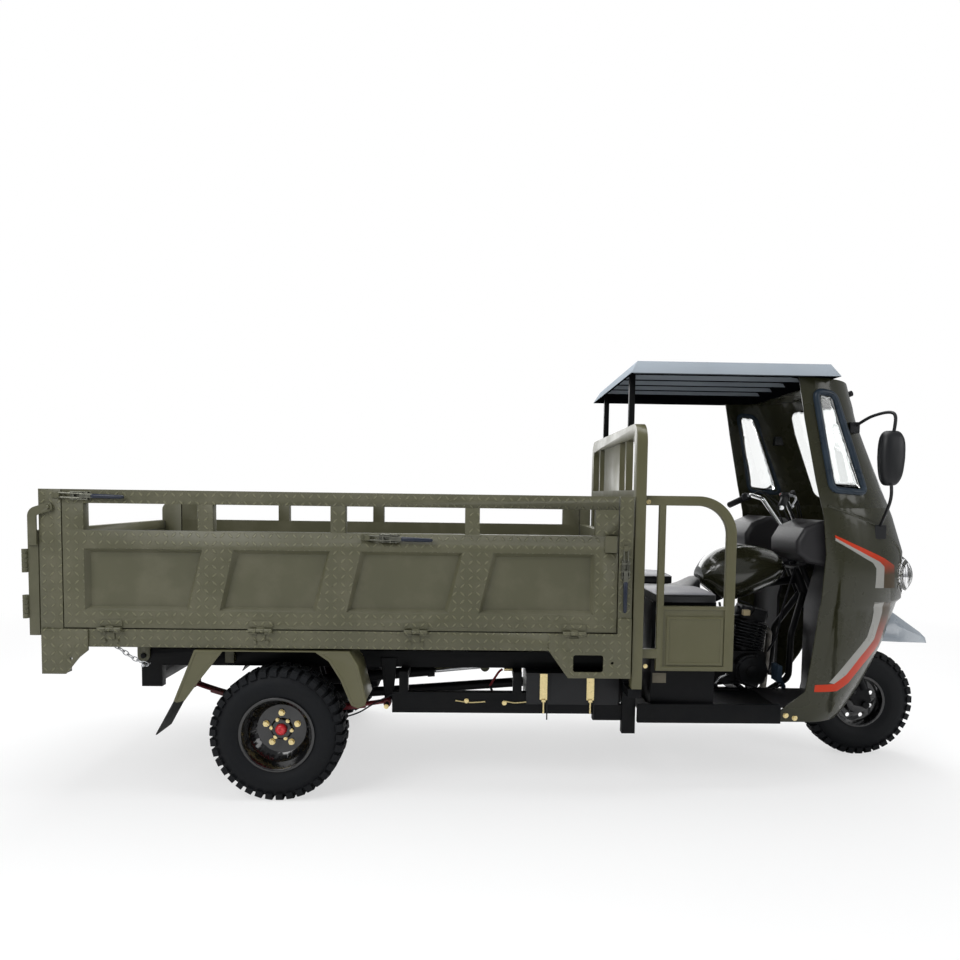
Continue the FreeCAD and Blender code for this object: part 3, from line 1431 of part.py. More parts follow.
def head_tube():
    outer = rod(steer_point(HEAD_LOW), steer_point(HEAD_HIGH), HEAD_RADIUS)
    bore = rod(steer_point(HEAD_LOW - 2.0), steer_point(HEAD_HIGH + 2.0), STEM_RADIUS + FIT)
    return outer.cut(bore)


def backbone():
    """The backbone tube under the tank, down to the seat bulkhead, with the tank's cross pin."""
    top = steer_point(HEAD_HIGH - 60.0, -BACKBONE_RADIUS - 4.0)
    points = [V(top.x, 0, top.z)] + [V(x, 0, z) for x, z in BACKBONE_PLACES]
    x0 = BULKHEAD_X
    x1 = BULKHEAD_X + BULKHEAD_THICK
    leg_y = CAB_RAIL_Y - BULKHEAD_THICK
    pin_x, pin_z = TANK_MOUNT
    reach = TANK_TUNNEL_HALF - SEAT_GAP
    pieces = [
        bent_rod(points, BACKBONE_RADIUS, BACKBONE_BEND),
        box(x0, x1, -CAB_RAIL_Y, CAB_RAIL_Y, BULKHEAD_LOW, BULKHEAD_TOP),
        rod_y(pin_x, pin_z, -reach, reach, TANK_MOUNT_RADIUS),
    ]
    pieces += both(box(x0, x1, leg_y, CAB_RAIL_Y, DECK_BOTTOM + 10.0, BULKHEAD_LOW + 20.0))
    return fuse(pieces)


def lift_foot():
    """The clevis under a cross member that the lift cylinder turns on."""
    low = rail_low() + 6.0
    x0 = LIFT_FOOT_X - LIFT_EAR_HALF
    x1 = x0 + LIFT_BEAM
    reach = rail_y0() + 5.0
    pieces = [box(x0, x1, -reach, reach, low, RAIL_TOP - 12.0)]
    radius = LIFT_EYE_RADIUS + 1.0
    gap = LIFT_EYE_HALF + LIFT_EAR_GAP
    for near in (LIFT_Y - gap - LIFT_FOOT_EAR, LIFT_Y + gap):
        tip = [(LIFT_FOOT_X + radius, LIFT_FOOT_Z), (LIFT_FOOT_X - radius, LIFT_FOOT_Z)]
        outline = [(x0, low), (x1, low)] + tip
        pieces.append(plate_y(outline, near, near + LIFT_FOOT_EAR))
        pieces.append(rod_y(LIFT_FOOT_X, LIFT_FOOT_Z, near, near + LIFT_FOOT_EAR, radius))
    reach = gap + LIFT_FOOT_EAR
    pieces.append(rod_y(LIFT_FOOT_X, LIFT_FOOT_Z, LIFT_Y - reach, LIFT_Y + reach, LIFT_BORE))
    return fuse(pieces)


def lift_point(distance):
    """A point on the lift's centre line, by its distance from the foot's pin."""
    line = V(LIFT_EYE_X - LIFT_FOOT_X, 0, LIFT_EYE_Z - LIFT_FOOT_Z)
    line.normalize()
    return V(LIFT_FOOT_X, LIFT_Y, LIFT_FOOT_Z).add(line.multiply(distance))


def lift_length():
    return math.hypot(LIFT_EYE_X - LIFT_FOOT_X, LIFT_EYE_Z - LIFT_FOOT_Z)


def lift_barrel():
    """The cylinder's barrel with its gland and the eye that turns on the foot's pin."""
    tube = rod(lift_point(HUB_BORE), lift_point(LIFT_MOUTH), LIFT_BARREL)
    gland = rod(lift_point(LIFT_MOUTH - LIFT_GLAND_LENGTH), lift_point(LIFT_MOUTH), LIFT_BARREL + LIFT_GLAND)
    bore = rod(lift_point(LIFT_BOTTOM), lift_point(LIFT_MOUTH + 1.0), LIFT_ROD + FIT)
    near = LIFT_Y - LIFT_EYE_HALF
    far = LIFT_Y + LIFT_EYE_HALF
    eye = rod_y(LIFT_FOOT_X, LIFT_FOOT_Z, near, far, LIFT_EYE_RADIUS + 3.0)
    pin = rod_y(LIFT_FOOT_X, LIFT_FOOT_Z, near - 1.0, far + 1.0, LIFT_BORE + FIT)
    return fuse([tube, gland, eye]).cut(bore).cut(pin)


def lift_rod():
    """The cylinder's rod with its eye, which stands free of the bed's bracket."""
    shaft = rod(lift_point(LIFT_ROD_END), lift_point(lift_length() - 12.0), LIFT_ROD)
    eye = rod_y(LIFT_EYE_X, LIFT_EYE_Z, LIFT_Y - LIFT_EYE_HALF, LIFT_Y + LIFT_EYE_HALF, LIFT_EYE_RADIUS)
    return fuse([shaft, eye])


# Rear springs and axle


def spring_seat_z():
    return REAR_TYRE_RADIUS + SPRING_SEAT_RISE


def spring_leaf(half_length, drop):
    """One leaf as an arc band through its two ends, in X and Z."""
    mid = V(REAR_AXLE_X, SPRING_Y - SPRING_WIDTH / 2.0, spring_seat_z() - drop)
    slope = (SPRING_FRONT_Z - SPRING_REAR_Z) / (SPRING_FRONT_X - SPRING_REAR_X)
    rise = SPRING_RISE * (half_length / SPRING_HALVES[0]) ** 2
    ends = []
    for sign in (-1, 1):
        x = REAR_AXLE_X + sign * half_length
        ends.append(V(x, mid.y, mid.z + rise + slope * sign * half_length))
    shift = V(0, 0, SPRING_LEAF)
    edges = [
        Part.Arc(ends[0], mid, ends[1]).toShape(),
        Part.Arc(ends[0].add(shift), mid.add(shift), ends[1].add(shift)).toShape(),
        Part.LineSegment(ends[0], ends[0].add(shift)).toShape(),
        Part.LineSegment(ends[1], ends[1].add(shift)).toShape(),
    ]
    return Part.Face(Part.Wire(Part.__sortEdges__(edges))).extrude(V(0, SPRING_WIDTH, 0))


def leaf_spring():
    """The left spring: four leaves, each shorter than the one above, and the two eyes of the longest."""
    y0 = SPRING_Y - SPRING_WIDTH / 2.0
    y1 = SPRING_Y + SPRING_WIDTH / 2.0
    eyes = ((SPRING_FRONT_X, SPRING_FRONT_Z), (SPRING_REAR_X, SPRING_REAR_Z))
    pieces = [spring_leaf(half, (SPRING_LEAF - 1.0) * step) for step, half in enumerate(SPRING_HALVES)]
    pieces += [rod_y(x, z, y0, y1, SPRING_EYE) for x, z in eyes]
    spring = fuse(pieces)
    for x, z in eyes:
        spring = spring.cut(rod_y(x, z, y0 - 1.0, y1 + 1.0, SPRING_BOLT + PIN_CLEARANCE))
    return spring


def rear_axle():
    """The axle beam with its differential housing, spring seats and stub ends."""
    half = REAR_TRACK / 2.0
    x = REAR_AXLE_X
    z = REAR_TYRE_RADIUS
    case = Part.makeSphere(AXLE_CASE, V(x, 0, z))
    room = box(x - AXLE_CASE, x + AXLE_CASE, -AXLE_CASE_HALF, AXLE_CASE_HALF, z - AXLE_CASE, z + AXLE_CASE)
    nose = Part.makeCone(*AXLE_NOSE, V(x + AXLE_NOSE[0], 0, z), V(1, 0, 0))
    pieces = [
        rod_y(x, z, AXLE_END - half, half - AXLE_END, AXLE_BEAM),
        rod_y(x, z, 6.0 - half, half - 6.0, HUB_BORE),
        case.common(room),
        nose,
    ]
    top = spring_seat_z() - (SPRING_LEAF - 1.0) * (len(SPRING_HALVES) - 1)
    pad = [
        (x - AXLE_PAD_HALF, z + BACKBONE_RADIUS),
        (x + AXLE_PAD_HALF, z + BACKBONE_RADIUS),
        (x + AXLE_PAD_HALF, top - 5.7),
        (x - AXLE_PAD_HALF, top + 4.6),
    ]
    y0 = SPRING_Y - SPRING_WIDTH / 2.0
    return fuse(pieces + both(plate_y(pad, y0, y0 + SPRING_WIDTH)))


def propeller_shaft():
    """The shaft between the axle's nose and the engine, with a joint at each end."""
    start = V(REAR_AXLE_X + AXLE_NOSE[0] + AXLE_NOSE[2] + 3.5, 0, REAR_TYRE_RADIUS)
    end = V(PROP_END[0], 0, PROP_END[1])
    joint = end.sub(start).normalize().multiply(PROP_JOINT_LENGTH)
    pieces = [rod(start, end, PROP_RADIUS)]
    pieces.append(rod(start, start.add(joint), PROP_JOINT))
    pieces.append(rod(end.sub(joint), end, PROP_JOINT))
    return fuse(pieces)


def shackle():
    """Two link plates and two bolts between the rear hanger and the spring's rear eye."""
    y0 = SPRING_Y - SPRING_WIDTH / 2.0
    y1 = SPRING_Y + SPRING_WIDTH / 2.0
    near = y0 - SEAT_GAP - SHACKLE_PLATE
    far = y1 + SEAT_GAP + SHACKLE_PLATE
    x0 = SPRING_REAR_X - SHACKLE_HALF
    x1 = SPRING_REAR_X + SHACKLE_HALF
    pieces = []
    for y in (near, y1 + SEAT_GAP):
        pieces.append(box(x0, x1, y, y + SHACKLE_PLATE, SPRING_REAR_Z, SHACKLE_TOP_Z))
        for z in (SPRING_REAR_Z, SHACKLE_TOP_Z):
            pieces.append(rod_y(SPRING_REAR_X, z, y, y + SHACKLE_PLATE, SHACKLE_HALF))
    pieces.append(rod_y(SPRING_REAR_X, SPRING_REAR_Z, near, far, SPRING_BOLT))
    pieces.append(rod_y(SPRING_REAR_X, SHACKLE_TOP_Z, rail_y1() + HANGER_PLATE + SEAT_GAP, far, SPRING_BOLT))
    return fuse(pieces)


# Fenders and tool box


def fender_skin():
    """The bent sheet over the tyre: rear leg, flat top and curved front leg."""
    outer = list(FENDER_LEGS)
    inner = [(x - FENDER_WALL, z) for x, z in outer[3:]][::-1]
    inner.append((outer[2][0] - FENDER_WALL, FENDER_TOP - FENDER_WALL))
    inner.append((outer[1][0] + FENDER_WALL, FENDER_TOP - FENDER_WALL))
    inner.append((outer[0][0] + FENDER_WALL, outer[0][1]))
    return plate_y(outer + inner, FENDER_INNER_Y, FENDER_OUTER_Y)


def fender():
    """A pressed fender: the skin, its two bordered skirts and the brackets to the frame rail."""
    rear = [FENDER_LEGS[0]] + list(FENDER_REAR_SKIRT) + [FENDER_LEGS[1]]
    front = [(FENDER_FRONT_ROOT_X, FENDER_TOP)] + list(FENDER_LEGS[2:]) + list(FENDER_FRONT_SKIRT)
    y0 = FENDER_OUTER_Y - FENDER_WALL
    pieces = [fender_skin()]
    for outline in (rear, front):
        pieces.append(bordered_plate_y(outline, y0, FENDER_OUTER_Y, FENDER_BORDER, FENDER_POCKET))
    under = FENDER_TOP - FENDER_WALL
    y = rail_y1()
    arm_y = y + POST_OUT - DOOR_GAP
    for x in FENDER_BRACKET_PLACES:
        far = x + FENDER_BRACKET
        pieces.append(box(x, far, y, arm_y + 10.0, RAIL_TOP - 55.0, RAIL_TOP - 25.0))
        pieces.append(box(x, far, arm_y, arm_y + 10.0, RAIL_TOP - 55.0, under))
        pieces.append(box(x, far, arm_y, FENDER_INNER_Y + 60.0, under - 8.0, under))
    return fuse(pieces)


def mud_flap():
    """A thin flap that hangs back from the fender's rear leg."""
    x, z = FENDER_LEGS[0]
    top = z - SEAT_GAP
    outline = [
        (x - 1.0, top),
        (x - 1.0 - FLAP_BACK, top - FLAP_DROP),
        (x - 1.0 - FLAP_BACK + FLAP_THICK, top - FLAP_DROP - 2.0),
        (x + FLAP_THICK, top),
    ]
    return plate_y(outline, FENDER_INNER_Y + 10.0, FENDER_OUTER_Y - FLAP_THICK)


def tool_box():
    """The hollow battery and tool box on the right, on the low rail, with two straps and their rods."""
    x0, x1 = TOOL_BOX_X
    y0, y1 = TOOL_BOX_Y
    wall = TOOL_BOX_WALL
    top = rail_low() - SEAT_GAP
    shell = box(x0, x1, y0, y1, TOOL_BOX_BOTTOM, top)
    hollow = box(x0 + wall, x1 - wall, y0 + wall, y1 - wall, TOOL_BOX_BOTTOM + wall, top - wall)
    pieces = [shell.cut(hollow)]
    for x in TOOL_STRAP_PLACES:
        middle = x + TOOL_STRAP_WIDTH / 2.0
        rod_y0 = y0 - TOOL_STRAP_ROD
        pieces.append(box(x, x + TOOL_STRAP_WIDTH, y0 - TOOL_STRAP, y0, TOOL_BOX_BOTTOM + 14.0, top))
        foot = V(middle, rod_y0, TOOL_STRAP_BOTTOM)
        pieces.append(rod(foot, V(middle, rod_y0, TOOL_BOX_BOTTOM + 39.0), TOOL_STRAP_ROD))
    return fuse(pieces)


# Cab


def running_boards():
    """The side decks of the cab with their black edge beams, and the floor between them."""
    edge = box(DECK_REAR_X, DECK_FRONT_X, DECK_HALF - DECK_EDGE, DECK_HALF, DECK_BOTTOM, DECK_TOP)
    low = DECK_BOTTOM + DECK_RISE + SEAT_GAP
    deck = box(DECK_REAR_X, DECK_FRONT_X, DECK_INNER_Y, DECK_HALF, low, low + DECK_PLATE)
    return both(fuse([edge, deck]))


def engine_cover(place, radius, y0, reach):
    """A round side cover: a stepped disc with a ring of bolt bosses, outward from y0."""
    x, z = place
    out = 1.0 if reach > y0 else -1.0
    step_y = reach - out * COVER_STEP
    near, far = sorted((y0, reach))
    low, high = sorted((y0, reach + out * COVER_RAISE))
    pieces = [rod_y(x, z, min(y0, step_y), max(y0, step_y), radius)]
    pieces.append(rod_y(x, z, near, far, radius - COVER_STEP))
    pieces.append(rod_y(x, z, low, high, COVER_CAP))
    for step in range(COVER_BOSSES):
        angle = 2.0 * math.pi * step / COVER_BOSSES
        boss_x = x + (radius - COVER_BOSS / 2.0) * math.cos(angle)
        boss_z = z + (radius - COVER_BOSS / 2.0) * math.sin(angle)
        pieces.append(rod_y(boss_x, boss_z, near, far, COVER_BOSS))
    return pieces


def cylinder_fin(height, half_x, half_y, thick):
    """A plate square to the cylinder's axis, with rounded corners, at a height above its foot."""
    fin = box(-half_x, half_x, -half_y, half_y, height, height + thick)
    fin = round_edges(fin, FIN_CORNER, lambda edge: along(edge, V(0, 0, 1)))
    fin.rotate(V(0, 0, 0), V(0, 1, 0), CYLINDER_TILT)
    return fin.translated(V(CYLINDER_FOOT[0], 0, CYLINDER_FOOT[1]))


def engine_cylinder():
    """The tilted cylinder with its stack of fins, the head block and the two valve caps."""
    lean = math.radians(CYLINDER_TILT)
    tilt = V(math.sin(lean), 0, math.cos(lean))
    foot = V(CYLINDER_FOOT[0], 0, CYLINDER_FOOT[1])
    pieces = [Part.makeCylinder(CYLINDER_RADIUS, CYLINDER_HEIGHT, foot, tilt)]
    for step in range(FIN_COUNT):
        pieces.append(cylinder_fin(FIN_START + step * FIN_PITCH, FIN_HALF, FIN_HALF, FIN_THICK))
    pieces.append(cylinder_fin(HEAD_START, HEAD_BLOCK_HALF + 8.0, HEAD_BLOCK_HALF, HEAD_BLOCK_HEIGHT))
    cap = foot.add(V(tilt).multiply(HEAD_START + HEAD_BLOCK_HEIGHT / 2.0))
    across = V(tilt.z, 0, -tilt.x).multiply(HEAD_BLOCK_HALF + 20.0)
    pieces.append(rod(cap.sub(across), cap.add(across), HEAD_CAP_RADIUS))
    return pieces


def engine():
    """Crankcase, side covers, finned cylinder with head, carburettor and air box."""
    case = box(*CASE_X, -CASE_HALF, CASE_HALF, *CASE_Z)
    case = round_edges(case, CASE_CORNER, lambda edge: along(edge, V(0, 1, 0)))
    pieces = [case] + engine_cylinder()
    for side in (-1.0, 1.0):
        pieces += engine_cover(CLUTCH_PLACE, CLUTCH_RADIUS, side * CASE_HALF, side * CLUTCH_REACH)
        x, z = SPROCKET_PLACE
        near, far = sorted((side * CASE_HALF, side * SPROCKET_REACH))
        pieces.append(rod_y(x, z, near, far, SPROCKET_RADIUS))
    seat = CRADLE_Z + CRADLE_RADIUS + SEAT_GAP
    pieces += both(box(*ENGINE_LUG_X, CRADLE_Y - CRADLE_RADIUS, CRADLE_Y + CRADLE_RADIUS, seat, seat + 34.0))
    pieces.append(rod(V(PORT_X[0], PORT_Y, PORT_Z), V(PORT_X[1], PORT_Y, PORT_Z), PORT_RADIUS))
    carb_front = V(CARB_X[1] - DOOR_GAP, 0, INTAKE_Z + DOOR_GAP)
    pieces.append(rod(V(CYLINDER_FOOT[0] - POST_OUT, 0, INTAKE_Z - 10.0), carb_front, CARB_BOWL_RADIUS))
    pieces.append(box(*CARB_X, -CARB_HALF, CARB_HALF, *CARB_Z))
    bowl = V((CARB_X[0] + CARB_X[1]) / 2.0, 0, CARB_Z[0])
    pieces.append(rod(bowl.sub(V(0, 0, CARB_BOWL_RADIUS)), bowl.add(V(0, 0, DOOR_GAP)), CARB_BOWL_RADIUS))
    duct = V(CARB_X[0] + DOOR_GAP, 0, INTAKE_Z)
    pieces.append(rod(duct, V(AIR_BOX_X[1] - DOOR_GAP, 0, INTAKE_Z), CARB_BOWL_RADIUS + 4.0))
    air_box = box(*AIR_BOX_X, -AIR_BOX_HALF, AIR_BOX_HALF, *AIR_BOX_Z)
    pieces.append(round_edges(air_box, PORT_RADIUS, lambda edge: along(edge, V(0, 1, 0))))
    return fuse(pieces)


def exhaust():
    """The pipe from the cylinder's port, round under the engine to the silencer."""
    start = V(PORT_X[1] + SEAT_GAP, PORT_Y, PORT_Z)
    places = [V(*place) for place in PIPE_PLACES]
    pipe = bent_rod([start] + places, PIPE_RADIUS, PIPE_BEND)
    end = places[-1]
    return fuse([pipe, rod(end, end.sub(V(SILENCER_LENGTH, 0, 0)), SILENCER_RADIUS)])


def tank_section(x, low, high, half):
    """A closed rounded section of the tank, a little narrower below its middle."""
    middle = (low + high) / 2.0
    rise = (high - low) / 2.0
    points = []
    for step in range(TANK_POINTS):
        angle = 2.0 * math.pi * step / TANK_POINTS
        across = half * math.cos(angle)
        if step > TANK_POINTS / 2:
            across *= TANK_WAIST
        points.append(V(x, across, middle + rise * math.sin(angle)))
    curve = Part.BSplineCurve()
    curve.interpolate(points, PeriodicFlag=True)
    return Part.Wire(curve.toShape())


def fuel_tank():
    """A motorcycle tank lofted through rounded sections along X, with the tunnel for the backbone."""
    tank = Part.makeLoft([tank_section(*station) for station in TANK_STATIONS], True, False)
    low = BULKHEAD_TOP - TANK_TUNNEL_HALF
    return tank.cut(box(DECK_REAR_X, FRONT_AXLE_X, -TANK_TUNNEL_HALF, TANK_TUNNEL_HALF, low, TANK_TUNNEL_TOP))


def driver_seat():
    """The driver's saddle, whose front rises behind the tank; the outline is in X and Z."""
    low = BULKHEAD_TOP + SEAT_RISE
    outline = [
        (SEAT_REAR_X, low),
        (SEAT_FRONT_X - 69.0, low),
        (SEAT_FRONT_X - 19.0, SEAT_TOP - 6.0),
        (SEAT_FRONT_X, SEAT_HORN_TOP - 15.0),
        (SEAT_FRONT_X - 11.0, SEAT_HORN_TOP),
        (SEAT_FRONT_X - 43.0, SEAT_HORN_TOP - 20.0),
        (SEAT_FRONT_X - 79.0, SEAT_TOP + 6.0),
        (SEAT_REAR_X, SEAT_TOP),
    ]
    return plate_y(outline, -SEAT_HALF, SEAT_HALF)


def side_seat():
    seat = box(*SIDE_SEAT_X, *SIDE_SEAT_Y, *SIDE_SEAT_Z)
    top = SIDE_SEAT_Z[1]
    return round_edges(seat, SIDE_SEAT_CORNER, lambda edge: edge.CenterOfMass.z > top - 1.0)


def seat_box():
    """The sheet box under the left side seat, behind the engine."""
    x0, x1 = SEAT_BOX_X
    y0 = SEAT_BOX_INNER_Y
    y1 = DECK_HALF - SEAT_BOX_INSET
    low = DECK_BOTTOM + DECK_RISE + DECK_PLATE + 2.0 * SEAT_GAP
    high = SIDE_SEAT_Z[0] - SEAT_GAP
    wall = SEAT_BOX_WALL
    outer = box(x0, x1, y0, y1, low, high)
    return outer.cut(box(x0 + wall, x1 - wall, y0 + wall, y1 - wall, low + wall, high - wall))


def side_guard():
    """The right guard: a bent tube loop with an inner post and a pressed lower panel."""
    y0 = GUARD_INSET - HEADBOARD_HALF
    y1 = y0 + GUARD_THICK
    rear, post_front = GUARD_POST_X
    front = GUARD_FRONT_X
    low = GUARD_BOTTOM
    high = GUARD_PANEL_TOP
    half = GUARD_TUBE / 2.0
    path = [(GUARD_START_X, GUARD_TOP), (front, GUARD_TOP), (front, low)]
    loop = bent_flat_y(path, GUARD_TUBE, y0, y1, GUARD_BEND)
    x0, x1 = GUARD_RAISED_X
    z0, z1 = GUARD_RAISED_Z
    raised = [(x0, z0), (x1, z0), (x1, z1), (x0, z1)]
    tie_x = HEADBOARD_X + HEADBOARD_DEPTH
    pieces = [
        loop,
        box(rear, post_front, y0, y1, low, GUARD_TOP),
        box(rear, front, y0 + 8.0, y0 + 8.0 + GUARD_SHEET, low, high),
        raised_frame_y(raised, y0 + 2.0, y0 + 8.0 + GUARD_SHEET),
        box(rear, front, y0, y1, high - GUARD_CAP, high),
        box(rear, front, y0, y1, low, low + GUARD_FOOT),
        box(tie_x, rear, y0, y1, GUARD_TOP - half, GUARD_TOP + half),
        box(tie_x, rear, y0, y1, low + 55.0, low + 95.0),
    ]
    return fuse(pieces)


def raised_frame_y(outline, y0, y1):
    """The pressed frame on the guard's panel: a plate with its middle set back."""
    plate = plate_y(outline, y0, y1)
    face = Part.Face(Part.makePolygon([V(x, y0, z) for x, z in outline + [outline[0]]]))
    inner = face.makeOffset2D(-GUARD_RAISED_BORDER)
    return plate.cut(inner.extrude(V(0, GUARD_RAISED_DEPTH, 0)))


def headboard():
    """The frame between cab and bed: bent outer tube, cross bars, centre panel and slats."""
    x0 = HEADBOARD_X
    x1 = HEADBOARD_X + HEADBOARD_DEPTH
    half = HEADBOARD_HALF
    inner = half - HEADBOARD_WIDTH
    top = HEADBOARD_TOP - HEADBOARD_WIDTH
    bar = HEADBOARD_BAR_TOP
    low_bar = HEADBOARD_LOW_BAR
    corner = HEADBOARD_CORNER
    outer = box(x0, x1, -half, half, HEADBOARD_BOTTOM, HEADBOARD_TOP)
    outer = round_edges(outer, corner, lambda edge: along(edge, V(1, 0, 0)) and edge.CenterOfMass.z > bar)
    window = box(x0, x1, -inner, inner, HEADBOARD_FOOT_Z, top)
    inner_corner = corner - 40.0
    window = round_edges(window, inner_corner, lambda edge: along(edge, V(1, 0, 0)) and edge.CenterOfMass.z > bar)
    pieces = [
        outer.cut(window),
        box(x0, x1 - 8.0, -inner, inner, bar - HEADBOARD_BAR, bar),
        box(x0 + 4.0, x1 - 10.0, -HEADBOARD_PANEL_HALF, HEADBOARD_PANEL_HALF, bar, top),
        box(x0, x1, -inner, inner, low_bar, low_bar + HEADBOARD_BAR),
    ]
    for y in HEADBOARD_SLATS:
        pieces.append(box(x0 + 2.0, x1 - 10.0, y, y + HEADBOARD_SLAT_WIDTH, bar, top))
    pieces += both(box(x0, x1, inner, half, HEADBOARD_FOOT_Z, HEADBOARD_FOOT_Z + HEADBOARD_SLEEVE))
    return fuse(pieces)


def roof_struts():
    x0, x1 = STRUT_X
    high = ROOF_EDGE_Z + ROOF_RIB - SEAT_GAP
    return both(box(HEADBOARD_X + x0, HEADBOARD_X + x1, *STRUT_Y, HEADBOARD_TOP, high))


def roof():
    """A pressed tray roof: sloped fascia, crowned top, hollow beneath with lengthwise ribs."""
    outer = roof_body(0.0)
    pieces = [outer.cut(roof_body(ROOF_WALL))]
    low = ROOF_EDGE_Z + ROOF_RIB
    for y in ROOF_RIB_PLACES:
        rib = box(ROOF_REAR_X, ROOF_FRONT_X, y - ROOF_RIB_HALF, y + ROOF_RIB_HALF, low, low + ROOF_RISE)
        pieces.append(rib.common(outer))
    return fuse(pieces)


def roof_body(wall):
    """The roof's solid form, or with a wall the room inside it, open below."""
    wires = []
    for rise, inset in ((0.0, 0.0), (ROOF_RISE, ROOF_SLOPE), (ROOF_RISE + ROOF_CROWN, ROOF_CROWN_INSET)):
        z = ROOF_EDGE_Z + rise - min(wall, wall if rise else 1.0)
        x0 = ROOF_REAR_X + inset + wall
        x1 = ROOF_FRONT_X - inset - wall
        half = ROOF_HALF - inset - wall
        corners = [V(x0, -half, z), V(x1, -half, z), V(x1, half, z), V(x0, half, z)]
        wires.append(Part.makePolygon(corners + [corners[0]]))
    return Part.makeLoft(wires, True, True)


# Cab shell


def shell_section(z, rear, centre, length, half, wall):
    """One horizontal section of the cab shell: straight sides and a half ellipse at the nose."""
    side = half - wall
    points = []
    for step in range(-4, 5):
        angle = math.radians(step * SHELL_SPREAD)
        points.append(V(centre + (length - wall) * math.cos(angle), side * math.sin(angle), z))
    curve = Part.BSplineCurve()
    curve.interpolate(Points=points, InitialTangent=V(1, 0, 0), FinalTangent=V(-1, 0, 0), Scale=False)
    back = rear - (SHELL_BACK if wall else 0.0)
    edges = [
        curve.toShape(),
        Part.LineSegment(points[-1], V(back, side, z)).toShape(),
        Part.LineSegment(V(back, side, z), V(back, -side, z)).toShape(),
        Part.LineSegment(V(back, -side, z), points[0]).toShape(),
    ]
    return Part.Wire(edges)


def shell_body(wall):
    """The shell's solid form, set in by a wall and then run out past its ends and its back."""
    wires = [shell_section(*level, wall) for level in SHELL_LEVELS]
    if wall:
        low = SHELL_LEVELS[0]
        high = SHELL_LEVELS[-1]
        wires.insert(0, shell_section(low[0] - 10.0, *low[1:], wall))
        wires.append(shell_section(high[0] + 10.0, *high[1:], wall))
    return Part.makeLoft(wires, True, True)


def cab_shell(outside, room):
    """The cab's pressed shell with its wheel arch, side windows, windscreen opening and top panel."""
    shell = outside.cut(room)
    arch = list(ARCH_PLACES) + [(-y, z) for y, z in ARCH_PLACES[::-1]]
    top = SHELL_LEVELS[-1][0]
    panel = outside.common(box(SHELL_TOP_PANEL_X, FRONT_AXLE_X, -DECK_HALF, DECK_HALF, top - SHELL_WALL, top))
    shell = shell.fuse(panel)
    shell = shell.cut(plate_x(arch, DECK_FRONT_X - POST_OUT, FRONT_AXLE_X + HEADBOARD_HALF))
    shell = shell.cut(side_window(0.0))
    return shell.cut(front_window(0.0))


def side_window(inset):
    """A cutter through both sides for the windows, or set in for the glass."""
    turns = ((inset, -inset), (-inset, -inset), (-inset, inset), (inset, inset))
    outline = [(x + dx, z + dz) for (x, z), (dx, dz) in zip(SIDE_WINDOW, turns)]
    cutter = plate_y(outline, -BED_HALF, BED_HALF)
    return round_edges(cutter, SIDE_WINDOW_CORNER, lambda edge: along(edge, V(0, 1, 0)))


def front_window(inset):
    """A cutter through the nose for the windscreen's opening, or set in for the glass."""
    low_y = FRONT_WINDOW_LOW[0] - inset
    high_y = FRONT_WINDOW_HIGH[0] - inset
    low = FRONT_WINDOW_LOW[1] + inset
    high = FRONT_WINDOW_HIGH[1] - inset
    outline = [(-low_y, low), (low_y, low), (high_y, high), (-high_y, high)]
    cutter = plate_x(outline, SHELL_TOP_PANEL_X + 108.0, FRONT_AXLE_X + HEADBOARD_HALF)
    return round_edges(cutter, FRONT_WINDOW_CORNER, lambda edge: along(edge, V(1, 0, 0)))


def shell_part(shell, low, high):
    """The part of the shell between two heights, where the cowl and the window frame meet."""
    return shell.common(box(RAIL_FRONT_X, FRONT_AXLE_X * 2.0, -BED_HALF, BED_HALF, low, high))


def cowl_panels(shell):
    """The lower shell as its nose panel and two side panels, which meet on upright seams."""
    cowl = shell_part(shell, POST_BOTTOM, SHELL_SPLIT_Z)
    nose = cowl.common(box(COWL_SEAM_X, FRONT_AXLE_X * 2.0, -BED_HALF, BED_HALF, 0.0, SHELL_SPLIT_Z))
    sides = [box(RAIL_FRONT_X, COWL_SEAM_X, y, y + BED_HALF, 0.0, SHELL_SPLIT_Z) for y in (-BED_HALF, 0.0)]
    return [nose] + [cowl.common(side) for side in sides]


def leg_sheet():
    """The left inner cover: foot plate, low wall and the dash wall that leans forward."""
    foot = SHIELD_FOOT_Z
    wall = SHIELD_WALL
    low_x, low_z = SHIELD_LEAN[0]
    high_x, high_z = SHIELD_LEAN[1]
    outline = [
        (DECK_FRONT_X + SEAT_GAP, foot),
        (SHIELD_X + wall, foot),
        (SHIELD_X + wall, low_z - 204.0),
        (low_x + wall, low_z - 4.0),
        (high_x + wall, high_z - 6.0),
        (high_x, high_z),
        (low_x, low_z),
        (SHIELD_X, low_z - 202.0),
        (SHIELD_X, foot + SHIELD_FOOT),
        (DECK_FRONT_X + SEAT_GAP, foot + SHIELD_FOOT),
    ]
    return plate_y(outline, SHIELD_INNER_Y, SHIELD_OUTER_Y)


def dash_console():
    """The left half of the moulded console: a hood with rounded rims on the dash wall."""
    hood = plate_y(list(CONSOLE_PLACES), SHIELD_INNER_Y, CONSOLE_OUTER_Y)
    front = CONSOLE_PLACES[0][0] - 50.0
    rims = lambda edge: not along(edge, V(0, 1, 0)) and edge.CenterOfMass.x < front
    return round_edges(hood, CONSOLE_CORNER, rims)


def leg_shields(room):
    """The inner covers of both sides, each mirrored before it is cut to the shell's room."""
    pairs = zip(both(leg_sheet()), both(dash_console()))
    return [fuse([sheet.common(room), hood]) for sheet, hood in pairs]


def headlamp():
    """The ball whose outer part stands proud of the cab shell as the left headlamp."""
    return Part.makeSphere(LAMP_RADIUS, V(*LAMP_CENTRE))


